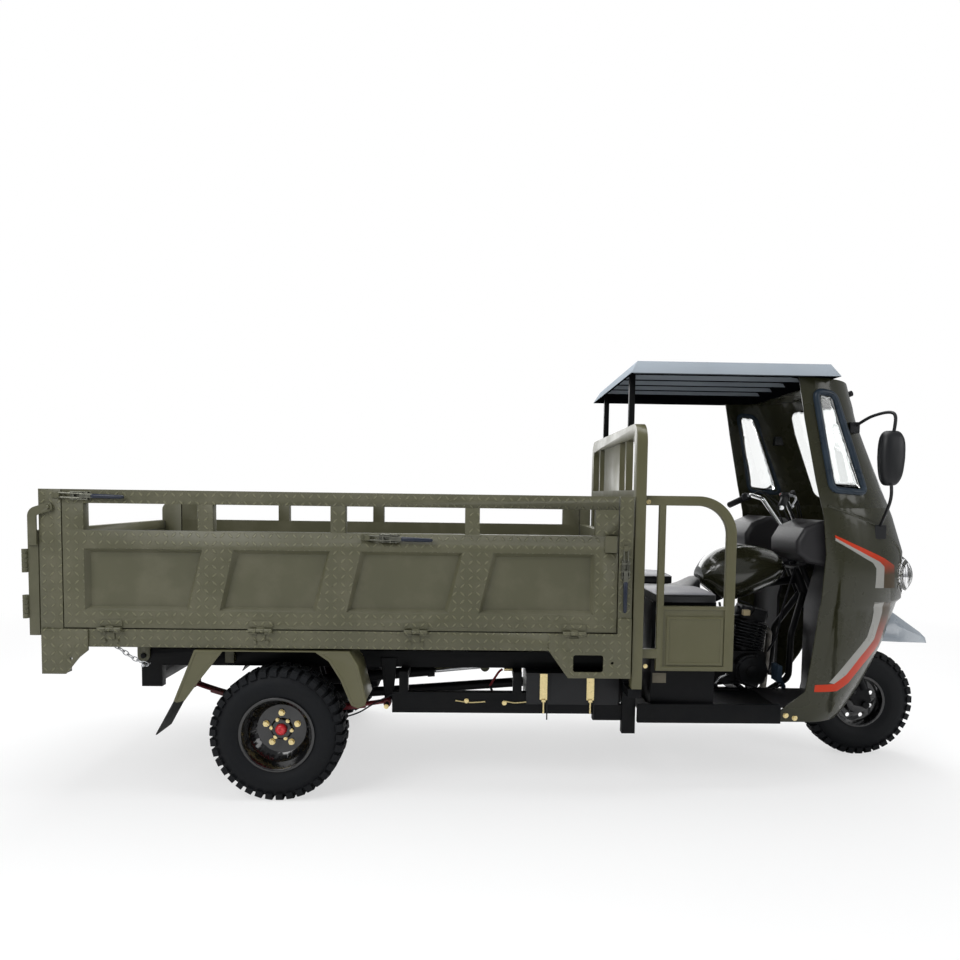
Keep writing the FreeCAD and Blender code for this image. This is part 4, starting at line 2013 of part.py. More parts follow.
def mirror():
    """The left truck mirror: two bent arms on feet at the cab shell, and a rounded housing."""
    head = box(*MIRROR_X, *MIRROR_Y, *MIRROR_Z)
    pieces = [round_edges(head, MIRROR_CORNER, lambda edge: along(edge, V(0, 1, 0)))]
    for arm in (MIRROR_HIGH_ARM, MIRROR_LOW_ARM):
        pieces.append(bent_rod([V(*place) for place in arm], MIRROR_ARM, MIRROR_BEND))
    for (x0, y0, z0), (x1, y1, z1) in (MIRROR_HIGH_FOOT, MIRROR_LOW_FOOT):
        pieces.append(box(x0, x1, y0, y1, z0, z1))
    return fuse(pieces)


def brake_pedal():
    """The pedal's pad on its bent arm from the cradle tube."""
    (x0, y0, z0), (x1, y1, z1) = PEDAL_PAD
    arm = bent_rod([V(*place) for place in PEDAL_ARM], PEDAL_ARM_RADIUS, PEDAL_BEND)
    return fuse([arm, box(x0, x1, y0, y1, z0, z1)])


def save_bed():
    save("bed_frame", [bed_frame()])
    save("bed_floor", [bed_floor()])
    save("bed_ends", corner_posts() + [front_wall()])
    right = [side_panel()] + side_rack()
    save("drop_side_right", right)
    save("drop_side_left", [mirrored(piece) for piece in right])
    save("tailgate_frame", [gate_frame()])
    leaf = gate_leaf()
    save("tailgate_leaf_right", [leaf])
    save("tailgate_leaf_left", [mirrored(leaf)])


def save_wheels():
    rear_tyre = tyre(
        REAR_AXLE_X, REAR_TRACK / 2.0, REAR_TYRE_RADIUS, REAR_TYRE_WIDTH, REAR_SHOULDER, REAR_BEAD, REAR_LUGS
    )
    front_tyre = tyre(
        FRONT_AXLE_X, 0.0, FRONT_TYRE_RADIUS, FRONT_TYRE_WIDTH, FRONT_SHOULDER, FRONT_BEAD, FRONT_LUGS
    )
    wheel = [rear_rim(), brake_drum()]
    save("rear_tyre_left", [rear_tyre])
    save("rear_tyre_right", [mirrored(rear_tyre)])
    save("rear_wheel_left", wheel)
    save("rear_wheel_right", [mirrored(part) for part in wheel])
    save("front_tyre", [front_tyre])
    save("front_wheel", [front_rim()])


def save_chassis():
    save("tool_box", [tool_box()])
    save("fork", [fork()])
    save("handlebar", [handlebar()])
    save("handlebar_grips", handlebar_grips())
    save("front_mudguard", [front_mudguard()])
    save("chassis_frame", [chassis_frame()])
    save("lift_barrel", [lift_barrel()])
    save("lift_rod", [lift_rod()])
    save("leaf_springs", both(leaf_spring()) + both(shackle()))
    save("rear_axle", [rear_axle(), propeller_shaft()])
    save("rear_fenders", both(fender()))
    save("mud_flaps", both(mud_flap()))


def save_cab():
    save("running_boards", running_boards())
    save("engine", [engine()])
    save("exhaust", [exhaust()])
    save("fuel_tank", [fuel_tank()])
    save("driver_seat", [driver_seat()])
    save("side_seats", both(side_seat()))
    save("seat_boxes", both(seat_box()))
    save("side_guard", [side_guard()])
    save("headboard", [headboard()])
    save("roof_struts", roof_struts())
    save("roof", [roof()])
    save("brake_pedal", [brake_pedal()])


def save_shell():
    """The cab shell and what is cut by it; the left pieces are mirrored before they are cut."""
    outside = shell_body(0.0)
    shell = cab_shell(outside, shell_body(SHELL_WALL))
    save("cab_cowl", cowl_panels(shell))
    save("window_frame", [shell_part(shell, SHELL_SPLIT_Z, SHELL_LEVELS[-1][0] + 1.0)])
    skin = shell_body(GLASS_OUT).cut(shell_body(GLASS_IN))
    save("windscreen", [skin.common(front_window(SEAT_GAP))])
    save("side_glass", skin.common(side_window(SEAT_GAP)).Solids)
    save("leg_shield", leg_shields(shell_body(SHELL_WALL + SHELL_CLEARANCE)))
    save("headlamps", [lamp.cut(outside) for lamp in both(headlamp())])
    clear = shell_body(-SEAT_GAP)
    save("mirrors", [arm.cut(clear) for arm in both(mirror())])


def build():
    os.makedirs("parts", exist_ok=True)
    save_bed()
    save_wheels()
    save_chassis()
    save_cab()
    save_shell()


build()
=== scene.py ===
"""Looks of the three-wheeled cargo tricycle.

Finishes for its solids, tyres, seats, trim, fasteners and the stage.

Metres, +X forward, +Y to the vehicle's left, +Z up, with the ground at zero.
"""

import json
import math

import bmesh
import bpy
from mathutils import Matrix, Vector
from mathutils.bvhtree import BVHTree

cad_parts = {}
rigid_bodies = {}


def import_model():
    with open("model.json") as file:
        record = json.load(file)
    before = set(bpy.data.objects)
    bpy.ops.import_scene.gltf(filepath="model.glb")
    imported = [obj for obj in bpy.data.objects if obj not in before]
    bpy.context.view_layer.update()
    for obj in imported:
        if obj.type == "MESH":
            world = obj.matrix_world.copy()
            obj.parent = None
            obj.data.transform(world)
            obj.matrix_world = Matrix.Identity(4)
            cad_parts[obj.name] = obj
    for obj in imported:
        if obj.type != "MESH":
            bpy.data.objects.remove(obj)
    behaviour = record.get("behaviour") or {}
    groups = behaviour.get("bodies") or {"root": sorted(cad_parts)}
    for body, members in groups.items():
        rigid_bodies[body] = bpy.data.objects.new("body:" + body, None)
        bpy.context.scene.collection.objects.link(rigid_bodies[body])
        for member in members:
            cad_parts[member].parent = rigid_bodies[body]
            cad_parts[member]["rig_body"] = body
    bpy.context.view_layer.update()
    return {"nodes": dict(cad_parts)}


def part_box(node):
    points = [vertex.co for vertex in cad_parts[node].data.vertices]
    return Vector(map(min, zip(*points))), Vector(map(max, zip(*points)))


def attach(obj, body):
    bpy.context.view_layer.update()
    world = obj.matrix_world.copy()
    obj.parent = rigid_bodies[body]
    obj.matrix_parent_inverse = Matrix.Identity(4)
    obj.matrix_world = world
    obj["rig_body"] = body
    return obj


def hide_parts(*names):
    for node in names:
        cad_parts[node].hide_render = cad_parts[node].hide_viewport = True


bl_info = {
    "name": "Cargo tricycle looks",
    "version": (1, 0, 0),
    "blender": (4, 5, 0),
    "location": "3D View > Sidebar > Tricycle",
    "description": "Finishes, tyres, seats, trim and stage of a three-wheeled cargo tricycle",
    "category": "Object",
}

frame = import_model()


def screen(red, green, blue):
    """A linear colour from its screen values, each from 0 to 255."""
    return tuple(
        ((part / 255.0 + 0.055) / 1.055) ** 2.4 if part > 10 else part / 3294.6 for part in (red, green, blue)
    )


# Sizes and colours


class PaintColours(bpy.types.PropertyGroup):
    bed: bpy.props.FloatVectorProperty(
        name="Bed paint",
        description="Olive drab of the dump bed and its sides",
        subtype="COLOR",
        default=screen(80, 79, 60),
    )
    cab: bpy.props.FloatVectorProperty(
        name="Cab paint",
        description="Dark glossy olive of the cab shell and tank",
        subtype="COLOR",
        default=screen(43, 43, 28),
    )
    guard: bpy.props.FloatVectorProperty(
        name="Guard paint",
        description="Olive of the headboard and side guard",
        subtype="COLOR",
        default=screen(84, 82, 58),
    )
    roof: bpy.props.FloatVectorProperty(
        name="Roof paint",
        description="Pale silver of the roof and mudguard",
        subtype="COLOR",
        default=screen(150, 158, 166),
    )
    chassis: bpy.props.FloatVectorProperty(
        name="Chassis paint",
        description="Black of the frame, rails and wheels",
        subtype="COLOR",
        default=screen(11, 12, 14),
    )
    spring: bpy.props.FloatVectorProperty(
        name="Spring paint",
        description="Dark red of the leaf springs",
        subtype="COLOR",
        default=screen(96, 22, 30),
    )
    hub: bpy.props.FloatVectorProperty(
        name="Hub cap",
        description="Red of the hub caps",
        subtype="COLOR",
        default=screen(196, 36, 44),
    )
    stripe_red: bpy.props.FloatVectorProperty(
        name="Red stripe",
        description="Orange-red of the cab's stripes",
        subtype="COLOR",
        default=screen(180, 52, 24),
    )
    stripe_silver: bpy.props.FloatVectorProperty(
        name="Silver stripe",
        description="Silver of the cab's stripes",
        subtype="COLOR",
        default=screen(146, 145, 140),
    )
    handle: bpy.props.FloatVectorProperty(
        name="Latch handle",
        description="Navy of the latch handles",
        subtype="COLOR",
        default=screen(30, 36, 50),
    )


class TyreSizes(bpy.types.PropertyGroup):
    lug_height: bpy.props.FloatProperty(
        name="Lug height",
        description="How far a lug stands out of the tread",
        default=0.011,
        unit="LENGTH",
    )
    rear_lugs: bpy.props.IntProperty(
        name="Rear lugs", description="Lug rows round a rear tyre", default=38
    )
    front_lugs: bpy.props.IntProperty(
        name="Front lugs", description="Lug rows round the front tyre", default=36
    )
    rear_bead: bpy.props.FloatProperty(
        name="Rear bead",
        description="Radius of the rear tyres' beads",
        default=0.156,
        unit="LENGTH",
    )
    front_bead: bpy.props.FloatProperty(
        name="Front bead",
        description="Radius of the front tyre's beads",
        default=0.128,
        unit="LENGTH",
    )


class TrimSizes(bpy.types.PropertyGroup):
    seal: bpy.props.FloatProperty(
        name="Seal width",
        description="Width of the rubber round the side windows",
        default=0.030,
        unit="LENGTH",
    )
    bolt: bpy.props.FloatProperty(
        name="Bolt head",
        description="Radius of the body bolts' heads",
        default=0.010,
        unit="LENGTH",
    )
    latch_grip: bpy.props.FloatProperty(
        name="Latch grip", description="Length of a latch's grip", default=0.135, unit="LENGTH"
    )
    cable: bpy.props.FloatProperty(
        name="Cable",
        description="Radius of the control and brake cables",
        default=0.0035,
        unit="LENGTH",
    )
    stripe_lift: bpy.props.FloatProperty(
        name="Stripe lift",
        description="How far a stripe lies off the shell",
        default=0.0006,
        unit="LENGTH",
    )


class StageSizes(bpy.types.PropertyGroup):
    camera: bpy.props.FloatVectorProperty(
        name="Camera",
        description="Place of the camera",
        subtype="TRANSLATION",
        default=(-0.185, -3.793, 1.328),
    )
    yaw: bpy.props.FloatProperty(
        name="Yaw",
        description="Turn of the view towards the front",
        default=math.radians(1.215),
        subtype="ANGLE",
    )
    pitch: bpy.props.FloatProperty(
        name="Pitch",
        description="Tilt of the view above the horizon",
        default=math.radians(-3.49),
        subtype="ANGLE",
    )
    roll: bpy.props.FloatProperty(
        name="Roll", description="Roll of the camera", default=math.radians(0.792), subtype="ANGLE"
    )
    focal: bpy.props.FloatProperty(
        name="Focal length", description="Focal length in pixels of the photograph", default=737.541
    )
    centre_x: bpy.props.FloatProperty(
        name="Centre across",
        description="Optical centre across the photograph, in pixels",
        default=495.103,
    )
    centre_y: bpy.props.FloatProperty(
        name="Centre down",
        description="Optical centre down the photograph, in pixels",
        default=539.602,
    )
    photo_width: bpy.props.FloatProperty(
        name="Photograph",
        description="Width and height of the photograph, in pixels",
        default=960.0,
    )


GROUPS = {
    "tricycle_paint": PaintColours,
    "tricycle_tyres": TyreSizes,
    "tricycle_trim": TrimSizes,
    "tricycle_stage": StageSizes,
}


# Node helpers


class Shading:
    """A material being built: its tree, its Principled shader and short ways to add nodes."""

    def __init__(self, name):
        self.material = bpy.data.materials.new(name)
        self.material.use_nodes = True
        self.tree = self.material.node_tree
        self.shader = self.tree.nodes["Principled BSDF"]
        self.place = self.add("ShaderNodeTexCoord").outputs["Object"]

    def add(self, kind, **settings):
        node = self.tree.nodes.new(kind)
        for name, value in settings.items():
            setattr(node, name, value)
        return node

    def link(self, source, target):
        self.tree.links.new(source, target)

    def math(self, operation, first, second=0.0, clamp=False):
        node = self.add("ShaderNodeMath", operation=operation, use_clamp=clamp)
        for socket, value in zip(node.inputs, (first, second)):
            if isinstance(value, (int, float)):
                socket.default_value = value
            else:
                self.link(value, socket)
        return node.outputs[0]

    def noise(self, scale, detail=4.0, roughness=0.55, stretch=None):
        node = self.add("ShaderNodeTexNoise")
        node.inputs["Scale"].default_value = scale
        node.inputs["Detail"].default_value = detail
        node.inputs["Roughness"].default_value = roughness
        vector = self.place
        if stretch:
            mapping = self.add("ShaderNodeMapping")
            mapping.inputs["Scale"].default_value = stretch
            self.link(self.place, mapping.inputs["Vector"])
            vector = mapping.outputs["Vector"]
        self.link(vector, node.inputs["Vector"])
        return node.outputs["Fac"]

    def spread(self, factor, low, high, start=0.3, end=0.7):
        """Maps a factor onto a range of values."""
        node = self.add("ShaderNodeMapRange")
        for name, value in (("From Min", start), ("From Max", end), ("To Min", low), ("To Max", high)):
            node.inputs[name].default_value = value
        self.link(factor, node.inputs["Value"])
        return node.outputs["Result"]

    def mix(self, factor, first, second):
        node = self.add("ShaderNodeMix", data_type="RGBA")
        if isinstance(factor, (int, float)):
            node.inputs["Factor"].default_value = factor
        else:
            self.link(factor, node.inputs["Factor"])
        for name, value in (("A", first), ("B", second)):
            socket = [entry for entry in node.inputs if entry.name == name and entry.type == "RGBA"][0]
            if isinstance(value, tuple):
                socket.default_value = (*value, 1.0)
            else:
                self.link(value, socket)
        return [entry for entry in node.outputs if entry.type == "RGBA"][0]

    def colour(self, value):
        socket = self.shader.inputs["Base Color"]
        if isinstance(value, tuple):
            socket.default_value = (*value, 1.0)
        else:
            self.link(value, socket)

    def rough(self, value):
        socket = self.shader.inputs["Roughness"]
        if isinstance(value, float):
            socket.default_value = value
        else:
            self.link(value, socket)

    def bump(self, height, distance, strength=1.0, below=None):
        node = self.add("ShaderNodeBump")
        node.inputs["Distance"].default_value = distance
        node.inputs["Strength"].default_value = strength
        self.link(height, node.inputs["Height"])
        if below is not None:
            self.link(below, node.inputs["Normal"])
        return node.outputs["Normal"]

    def normal(self, value):
        self.link(value, self.shader.inputs["Normal"])

    def set(self, **values):
        for name, value in values.items():
            self.shader.inputs[name.replace("_", " ")].default_value = value
        return self.material


def tint(colour, factor):
    return tuple(min(1.0, part * factor) for part in colour)


# Finishes

DUST = screen(150, 144, 124)
GRIME = screen(26, 23, 20)
TREAD_PITCH = 0.034
TREAD_BAR = (0.62, 0.20)
TREAD_DEPTH = 0.0022
TREAD_FACE = 0.6495
# Stops of the stripes' painted shade along their height, True where a stripe keeps its own colour.
STRIPE_STOPS = ((0.0, True), (0.18, True), (0.48, False), (0.74, False), (0.86, True), (1.0, True))
STRIPE_HEIGHTS = (0.45, 1.17)


def worn_paint(name, colour, rough, grain, dust=0.12, coat=0.0, gloss=0.4):
    """Sprayed paint: slight orange peel, drifting tone and soft dust that lies in broad patches."""
    shading = Shading(name)
    drift = shading.noise(1.6, 3.0)
    patches = shading.noise(7.0, 6.0, 0.6)
    toned = shading.mix(shading.spread(drift, 0.0, 1.0), tint(colour, 0.90), tint(colour, 1.10))
    dusty = shading.mix(shading.spread(patches, 0.0, dust, 0.45, 0.75), toned, DUST)
    shading.colour(dusty)
    shading.rough(shading.spread(patches, rough - 0.05, rough + 0.10))
    peel = shading.noise(grain, 2.0)
    shading.normal(shading.bump(peel, 0.0004, 0.35))
    shading.set(Coat_Weight=coat, Coat_Roughness=0.06, Specular_IOR_Level=gloss)
    return shading


def tread_height(shading):
    """Height of tread plate, bars that lean left and right by turns on a grid in X and Z, and the Y there."""
    length, width = TREAD_BAR
    parts = shading.add("ShaderNodeSeparateXYZ")
    shading.link(shading.place, parts.inputs["Vector"])
    across = shading.math("DIVIDE", parts.outputs["X"], TREAD_PITCH)
    up = shading.math("DIVIDE", parts.outputs["Z"], TREAD_PITCH)
    cell = shading.math("ADD", shading.math("FLOOR", across), shading.math("FLOOR", up))
    lean = shading.math("GREATER_THAN", shading.math("MODULO", shading.math("ABSOLUTE", cell), 2.0), 0.5)
    side = shading.math("SUBTRACT", shading.math("MULTIPLY", lean, 2.0), 1.0)
    local_x = shading.math("MULTIPLY", shading.math("SUBTRACT", shading.math("FRACT", across), 0.5), side)
    local_z = shading.math("SUBTRACT", shading.math("FRACT", up), 0.5)
    along = shading.math("ABSOLUTE", shading.math("ADD", local_x, local_z))
    over = shading.math("ABSOLUTE", shading.math("SUBTRACT", local_x, local_z))
    reach = shading.math("POWER", shading.math("DIVIDE", along, length), 2.0)
    thick = shading.math("DIVIDE", over, width)
    bar = shading.math("SUBTRACT", 1.0, shading.math("ADD", reach, thick), clamp=True)
    return shading.math("MINIMUM", shading.math("MULTIPLY", bar, 2.5), 1.0), parts.outputs["Y"]


def tread_paint(name, colour):
    """Bed paint over tread plate, on the faces that lie further out than the recessed panels, with a painted
    highlight on the bars' tops.
    """
    shading = worn_paint(name, colour, 0.42, 90.0)
    height, depth = tread_height(shading)
    outside = shading.math("GREATER_THAN", shading.math("ABSOLUTE", depth), TREAD_FACE)
    raised = shading.math("MULTIPLY", height, outside)
    below = shading.shader.inputs["Normal"].links[0].from_socket
    shading.normal(shading.bump(raised, TREAD_DEPTH, 1.0, below))
    base = shading.shader.inputs["Base Color"].links[0].from_socket
    # Painted highlight: the raised bars are lightened towards a paler olive where light catches them.
    painted_bar_highlight = shading.math("MULTIPLY", raised, 0.42)
    shading.colour(shading.mix(painted_bar_highlight, base, tint(colour, 2.6)))
    return shading.material


def paint_with_shaded_underside(name, above, below):
    """Paint of one colour on faces that look up or outwards, and painted shade, a near-black colour, on those
    that look down.
    """
    shading = worn_paint(name, above, 0.6, 50.0, 0.05, 0.0, 0.0)
    facing = shading.add("ShaderNodeNewGeometry").outputs["Normal"]
    parts = shading.add("ShaderNodeSeparateXYZ")
    shading.link(facing, parts.inputs["Vector"])
    # Painted shade: faces that look down take the darker colour, standing in for the shade under the roof.
    shaded_underside = shading.math("LESS_THAN", parts.outputs["Z"], -0.3)
    base = shading.shader.inputs["Base Color"].links[0].from_socket
    shading.colour(shading.mix(shaded_underside, base, below))
    return shading.material


def stripe_with_crease_shade(name, hot, crease_shade):
    """A stripe with painted shade by the shell's crease: its own colour at both ends, darkened in between by
    height.
    """
    shading = Shading(name)
    parts = shading.add("ShaderNodeSeparateXYZ")
    shading.link(shading.place, parts.inputs["Vector"])
    ramp = shading.add("ShaderNodeValToRGB")
    marks = ramp.color_ramp.elements
    for place, _ in STRIPE_STOPS[1:-1]:
        marks.new(place)
    for mark, (_, unshaded) in zip(marks, STRIPE_STOPS):
        mark.color = (*(hot if unshaded else crease_shade), 1.0)
    height = shading.spread(parts.outputs["Z"], 0.0, 1.0, *STRIPE_HEIGHTS)
    shading.link(height, ramp.inputs["Fac"])
    shading.link(ramp.outputs["Color"], shading.shader.inputs["Base Color"])
    shading.rough(0.30)
    return shading.set(Specular_IOR_Level=0.2)


def rubber(name, colour, rough=0.62):
    shading = Shading(name)
    fine = shading.noise(160.0, 3.0)
    broad = shading.noise(9.0, 4.0)
    shading.colour(shading.mix(shading.spread(broad, 0.0, 1.0), tint(colour, 0.8), tint(colour, 1.35)))
    shading.rough(shading.spread(broad, rough - 0.06, rough + 0.10))
    shading.normal(shading.bump(fine, 0.0004, 0.4))
    return shading.set(Specular_IOR_Level=0.2)


def metal(name, colour, rough, grain=60.0, stretch=None):
    shading = Shading(name)
    fine = shading.noise(grain, 4.0, stretch=stretch)
    shading.colour(shading.mix(shading.spread(fine, 0.0, 1.0), tint(colour, 0.82), colour))
    shading.rough(shading.spread(fine, max(0.04, rough - 0.06), rough + 0.08))
    shading.normal(shading.bump(fine, 0.0002, 0.2))
    return shading.set(Metallic=1.0)


def plastic(name, colour, rough, grain=220.0, depth=0.0003):
    shading = Shading(name)
    fine = shading.noise(grain, 2.0)
    broad = shading.noise(4.0, 3.0)
    shading.colour(shading.mix(shading.spread(broad, 0.0, 1.0), tint(colour, 0.88), tint(colour, 1.12)))
    shading.rough(shading.spread(fine, rough - 0.04, rough + 0.06))
    shading.normal(shading.bump(fine, depth, 0.5))
    return shading.set(Specular_IOR_Level=0.3)


def glass(name, colour, rough=0.02):
    shading = Shading(name)
    film = shading.noise(12.0, 3.0)
    shading.rough(shading.spread(film, rough, rough + 0.02))
    shading.colour(colour)
    return shading.set(Transmission_Weight=1.0, IOR=1.45)


def vinyl(name, colour):
    """Seat cover: a leather grain from small cells, with a drifting tone."""
    shading = Shading(name)
    cells = shading.add("ShaderNodeTexVoronoi", feature="DISTANCE_TO_EDGE")
    cells.inputs["Scale"].default_value = 260.0
    shading.link(shading.place, cells.inputs["Vector"])
    broad = shading.noise(8.0, 4.0)
    shading.colour(shading.mix(shading.spread(broad, 0.0, 1.0), tint(colour, 0.85), tint(colour, 1.15)))
    shading.rough(shading.spread(broad, 0.40, 0.55))
    shading.normal(shading.bump(cells.outputs["Distance"], 0.0006, 0.5))
    return shading.set(Sheen_Weight=0.1)


def cast_metal(name, colour, rough, metallic):
    shading = Shading(name)
    lumps = shading.noise(120.0, 5.0)
    grime = shading.noise(16.0, 6.0, 0.65)
    shading.colour(shading.mix(shading.spread(grime, 0.0, 0.8, 0.4, 0.7), colour, GRIME))
    shading.rough(shading.spread(grime, rough, rough + 0.25))
    shading.normal(shading.bump(lumps, 0.0005, 0.5))
    return shading.set(Metallic=metallic)


def make_finishes():
    """Every material of the object, by the finish's name."""
    paint = bpy.context.scene.tricycle_paint
    black = tuple(paint.chassis)
    silver = tuple(paint.stripe_silver)
    return {
        "bed": worn_paint("bed_paint", tuple(paint.bed), 0.42, 90.0).material,
        "tread": tread_paint("bed_tread_paint", tuple(paint.bed)),
        "guard": worn_paint("guard_paint", tuple(paint.guard), 0.34, 120.0, 0.06).material,
        "cab": worn_paint("cab_paint", tuple(paint.cab), 0.26, 30.0, 0.0, 0.22, 0.25).material,
        "tank": worn_paint("tank_paint", tuple(paint.cab), 0.20, 30.0, 0.0, 0.8).material,
        # The near-black colour below is painted shade on the roof's underside.
        "roof": paint_with_shaded_underside("roof_paint", tuple(paint.roof), screen(9, 10, 12)),
        "guard_silver": worn_paint("mudguard_paint", tuple(paint.roof), 0.24, 50.0, 0.05, 0.4).material,
        "chassis": worn_paint("chassis_paint", black, 0.38, 140.0, 0.01, 0.0, 0.12).material,
        "wheel": worn_paint("wheel_paint", tint(black, 0.6), 0.16, 40.0, 0.02, 0.6).material,
        "spring": worn_paint("spring_paint", tuple(paint.spring), 0.40, 80.0, 0.10).material,
        "hub": worn_paint("hub_paint", tuple(paint.hub), 0.30, 60.0, 0.0, 0.3).material,
        "tyre": rubber("tyre_rubber", screen(11, 13, 16)),
        "seal": rubber("seal_rubber", screen(38, 48, 58), 0.30),
        "grip": rubber("grip_rubber", screen(22, 22, 24), 0.55),
        "dash": plastic("dash_plastic", screen(32, 31, 33), 0.42),
        "black": plastic("black_plastic", screen(22, 23, 25), 0.42),
        "handle": plastic("handle_plastic", tuple(paint.handle), 0.32),
        "chrome": metal("bright_chrome", (0.78, 0.79, 0.80), 0.08),
        "steel": metal("plain_steel", (0.52, 0.53, 0.55), 0.34),
        "gold": metal("zinc_gold", (0.80, 0.66, 0.34), 0.30),
        "zinc": metal("zinc_plate", (0.17, 0.17, 0.14), 0.40),
        "engine": cast_metal("engine_castings", screen(40, 41, 44), 0.36, 0.6),
        "drum": cast_metal("drum_casting", screen(34, 33, 34), 0.55, 0.2),
        "exhaust": cast_metal("exhaust_metal", screen(120, 116, 110), 0.38, 0.9),
        "glass": glass("window_glass", (0.97, 0.985, 0.98)),
        "lens": glass("lamp_glass", (0.98, 0.98, 0.99), 0.05),
        "mirror": metal("mirror_glass", (0.86, 0.88, 0.90), 0.06, 20.0),
        "black_vinyl": vinyl("seat_vinyl", screen(22, 23, 25)),
        "grey_vinyl": vinyl("side_seat_vinyl", screen(98, 98, 106)),
        "flap": rubber("flap_rubber", screen(44, 45, 44), 0.66),
        # The brownish second colour is the red stripes' painted shade by the shell's crease.
        "red": stripe_with_crease_shade("stripe_red", tuple(paint.stripe_red), screen(66, 54, 36)),
        "silver": worn_paint("stripe_silver", silver, 0.30, 60.0, 0.0).material,
        "pedal": plastic("pedal_rubber", screen(52, 68, 84), 0.45),
        "plate": plastic("plate_paint", screen(104, 99, 84), 0.5),
        "cream": plastic("connector_plastic", screen(186, 170, 134), 0.5),
        "hose_red": rubber("red_hose", screen(112, 24, 30), 0.5),
        "cable": rubber("cable_sheath", screen(14, 15, 18), 0.4),
    }


FINISHED_NODES = {
    "tread": "bed_frame bed_ends drop_side_right drop_side_left",
    "bed": "bed_floor tailgate_frame tailgate_leaf_right tailgate_leaf_left",
    "guard": "rear_fenders side_guard headboard",
    "guard_silver": "front_mudguard",
    "roof": "roof",
    "cab": "cab_cowl window_frame",
    "tank": "fuel_tank",
    "chassis": "chassis_frame fork lift_barrel rear_axle running_boards seat_boxes roof_struts",
    "wheel": "rear_wheel_right rear_wheel_left front_wheel",
    "tyre": "rear_tyre_right rear_tyre_left front_tyre",
    "spring": "leaf_springs",
    "flap": "mud_flaps",
    "chrome": "handlebar lift_rod",
    "grip": "handlebar_grips",
    "pedal": "brake_pedal",
    "engine": "engine",
    "exhaust": "exhaust",
    "black_vinyl": "driver_seat",
    "grey_vinyl": "side_seats",
    "black": "tool_box mirrors",
    "dash": "leg_shield",
    "glass": "windscreen side_glass",
    "lens": "headlamps",
}
CLEAR_NODES = ("windscreen", "side_glass", "headlamps")
EASED_EDGE = 0.0015

SIDES = ((-1.0, "right"), (1.0, "left"))
FINISHES = {}
TREES = {}


# Mesh helpers


def link_mesh(name, mesh, finish, body):
    """A finished piece at the origin that rides on a body."""
    piece = bpy.data.objects.new(name, mesh)
    bpy.context.scene.collection.objects.link(piece)
    if not mesh.materials:
        mesh.materials.append(FINISHES[finish])
    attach(piece, body)
    return piece


def clean_mesh(name, build, smooth=True):
    """A mesh from a bmesh recipe, with doubles merged and faces turned outwards."""
    shape = bmesh.new()
    build(shape)
    bmesh.ops.remove_doubles(shape, verts=shape.verts, dist=1e-5)
    bmesh.ops.recalc_face_normals(shape, faces=shape.faces)
    mesh = bpy.data.meshes.new(name)
    shape.to_mesh(mesh)
    shape.free()
    if smooth:
        mesh.shade_smooth()
    return mesh


def skin(shape, rings, closed=False):
    """Adds quads between rings of vertices, and a face at each end unless the last ring meets the first."""
    after_rings = rings[1:] + rings[:1] if closed else rings[1:]
    for here, after in zip(rings, after_rings):
        for step, vert in enumerate(here):
            onward = (step + 1) % len(here)
            shape.faces.new((vert, here[onward], after[onward], after[step]))
    if not closed:
        shape.faces.new(rings[0])
        shape.faces.new(rings[-1])


def lathe(shape, profile, centre, steps):
    """Adds a ring about a line along Y through centre; the closed profile is in radius and Y."""
    rings = []
    for step in range(steps):
        across, up = math.cos(math.tau * step / steps), math.sin(math.tau * step / steps)
        ring = []
        for radius, y in profile:
            place = (centre[0] + radius * across, centre[1] + y, centre[2] + radius * up)
            ring.append(shape.verts.new(place))
        rings.append(ring)
    skin(shape, rings, closed=True)


def add_block(shape, low, high, bevel=0.0, turn=None):
    """Adds a box between two corners, with bevelled edges, turned by a matrix about its middle."""
    middle = (Vector(low) + Vector(high)) / 2.0
    size = Vector(high) - Vector(low)
    made = bmesh.ops.create_cube(shape, size=1.0, matrix=Matrix.Diagonal((*size, 1.0)))
    if bevel:
        edges = list({edge for vert in made["verts"] for edge in vert.link_edges})
        result = bmesh.ops.bevel(shape, geom=edges, offset=bevel, segments=2, affect="EDGES", profile=0.5)
        verts = result["verts"]
    else:
        verts = made["verts"]
    place = Matrix.Translation(middle) @ (turn or Matrix.Identity(4))
    bmesh.ops.transform(shape, matrix=place, verts=verts)


def add_rod(shape, start, end, radius, sides=16, tip=None):
    """Adds a closed round rod between two points, narrowed to tip at its end."""
    start, end = Vector(start), Vector(end)
    axis = end - start
    turn = axis.to_track_quat("Z", "Y").to_matrix().to_4x4()
    place = Matrix.Translation((start + end) / 2.0) @ turn
    far = radius if tip is None else tip
    bmesh.ops.create_cone(
        shape, cap_ends=True, segments=sides, radius1=radius, radius2=far, depth=axis.length, matrix=place
    )


# Geometry Nodes

RING_STEPS = 12
WASHER_SIDES = 20
BOLT_SIDES = 6
LINK_STEPS = 20
LINK_SHAPE = (0.68, 0.36, 0.36)
WIRE_STEPS = 8


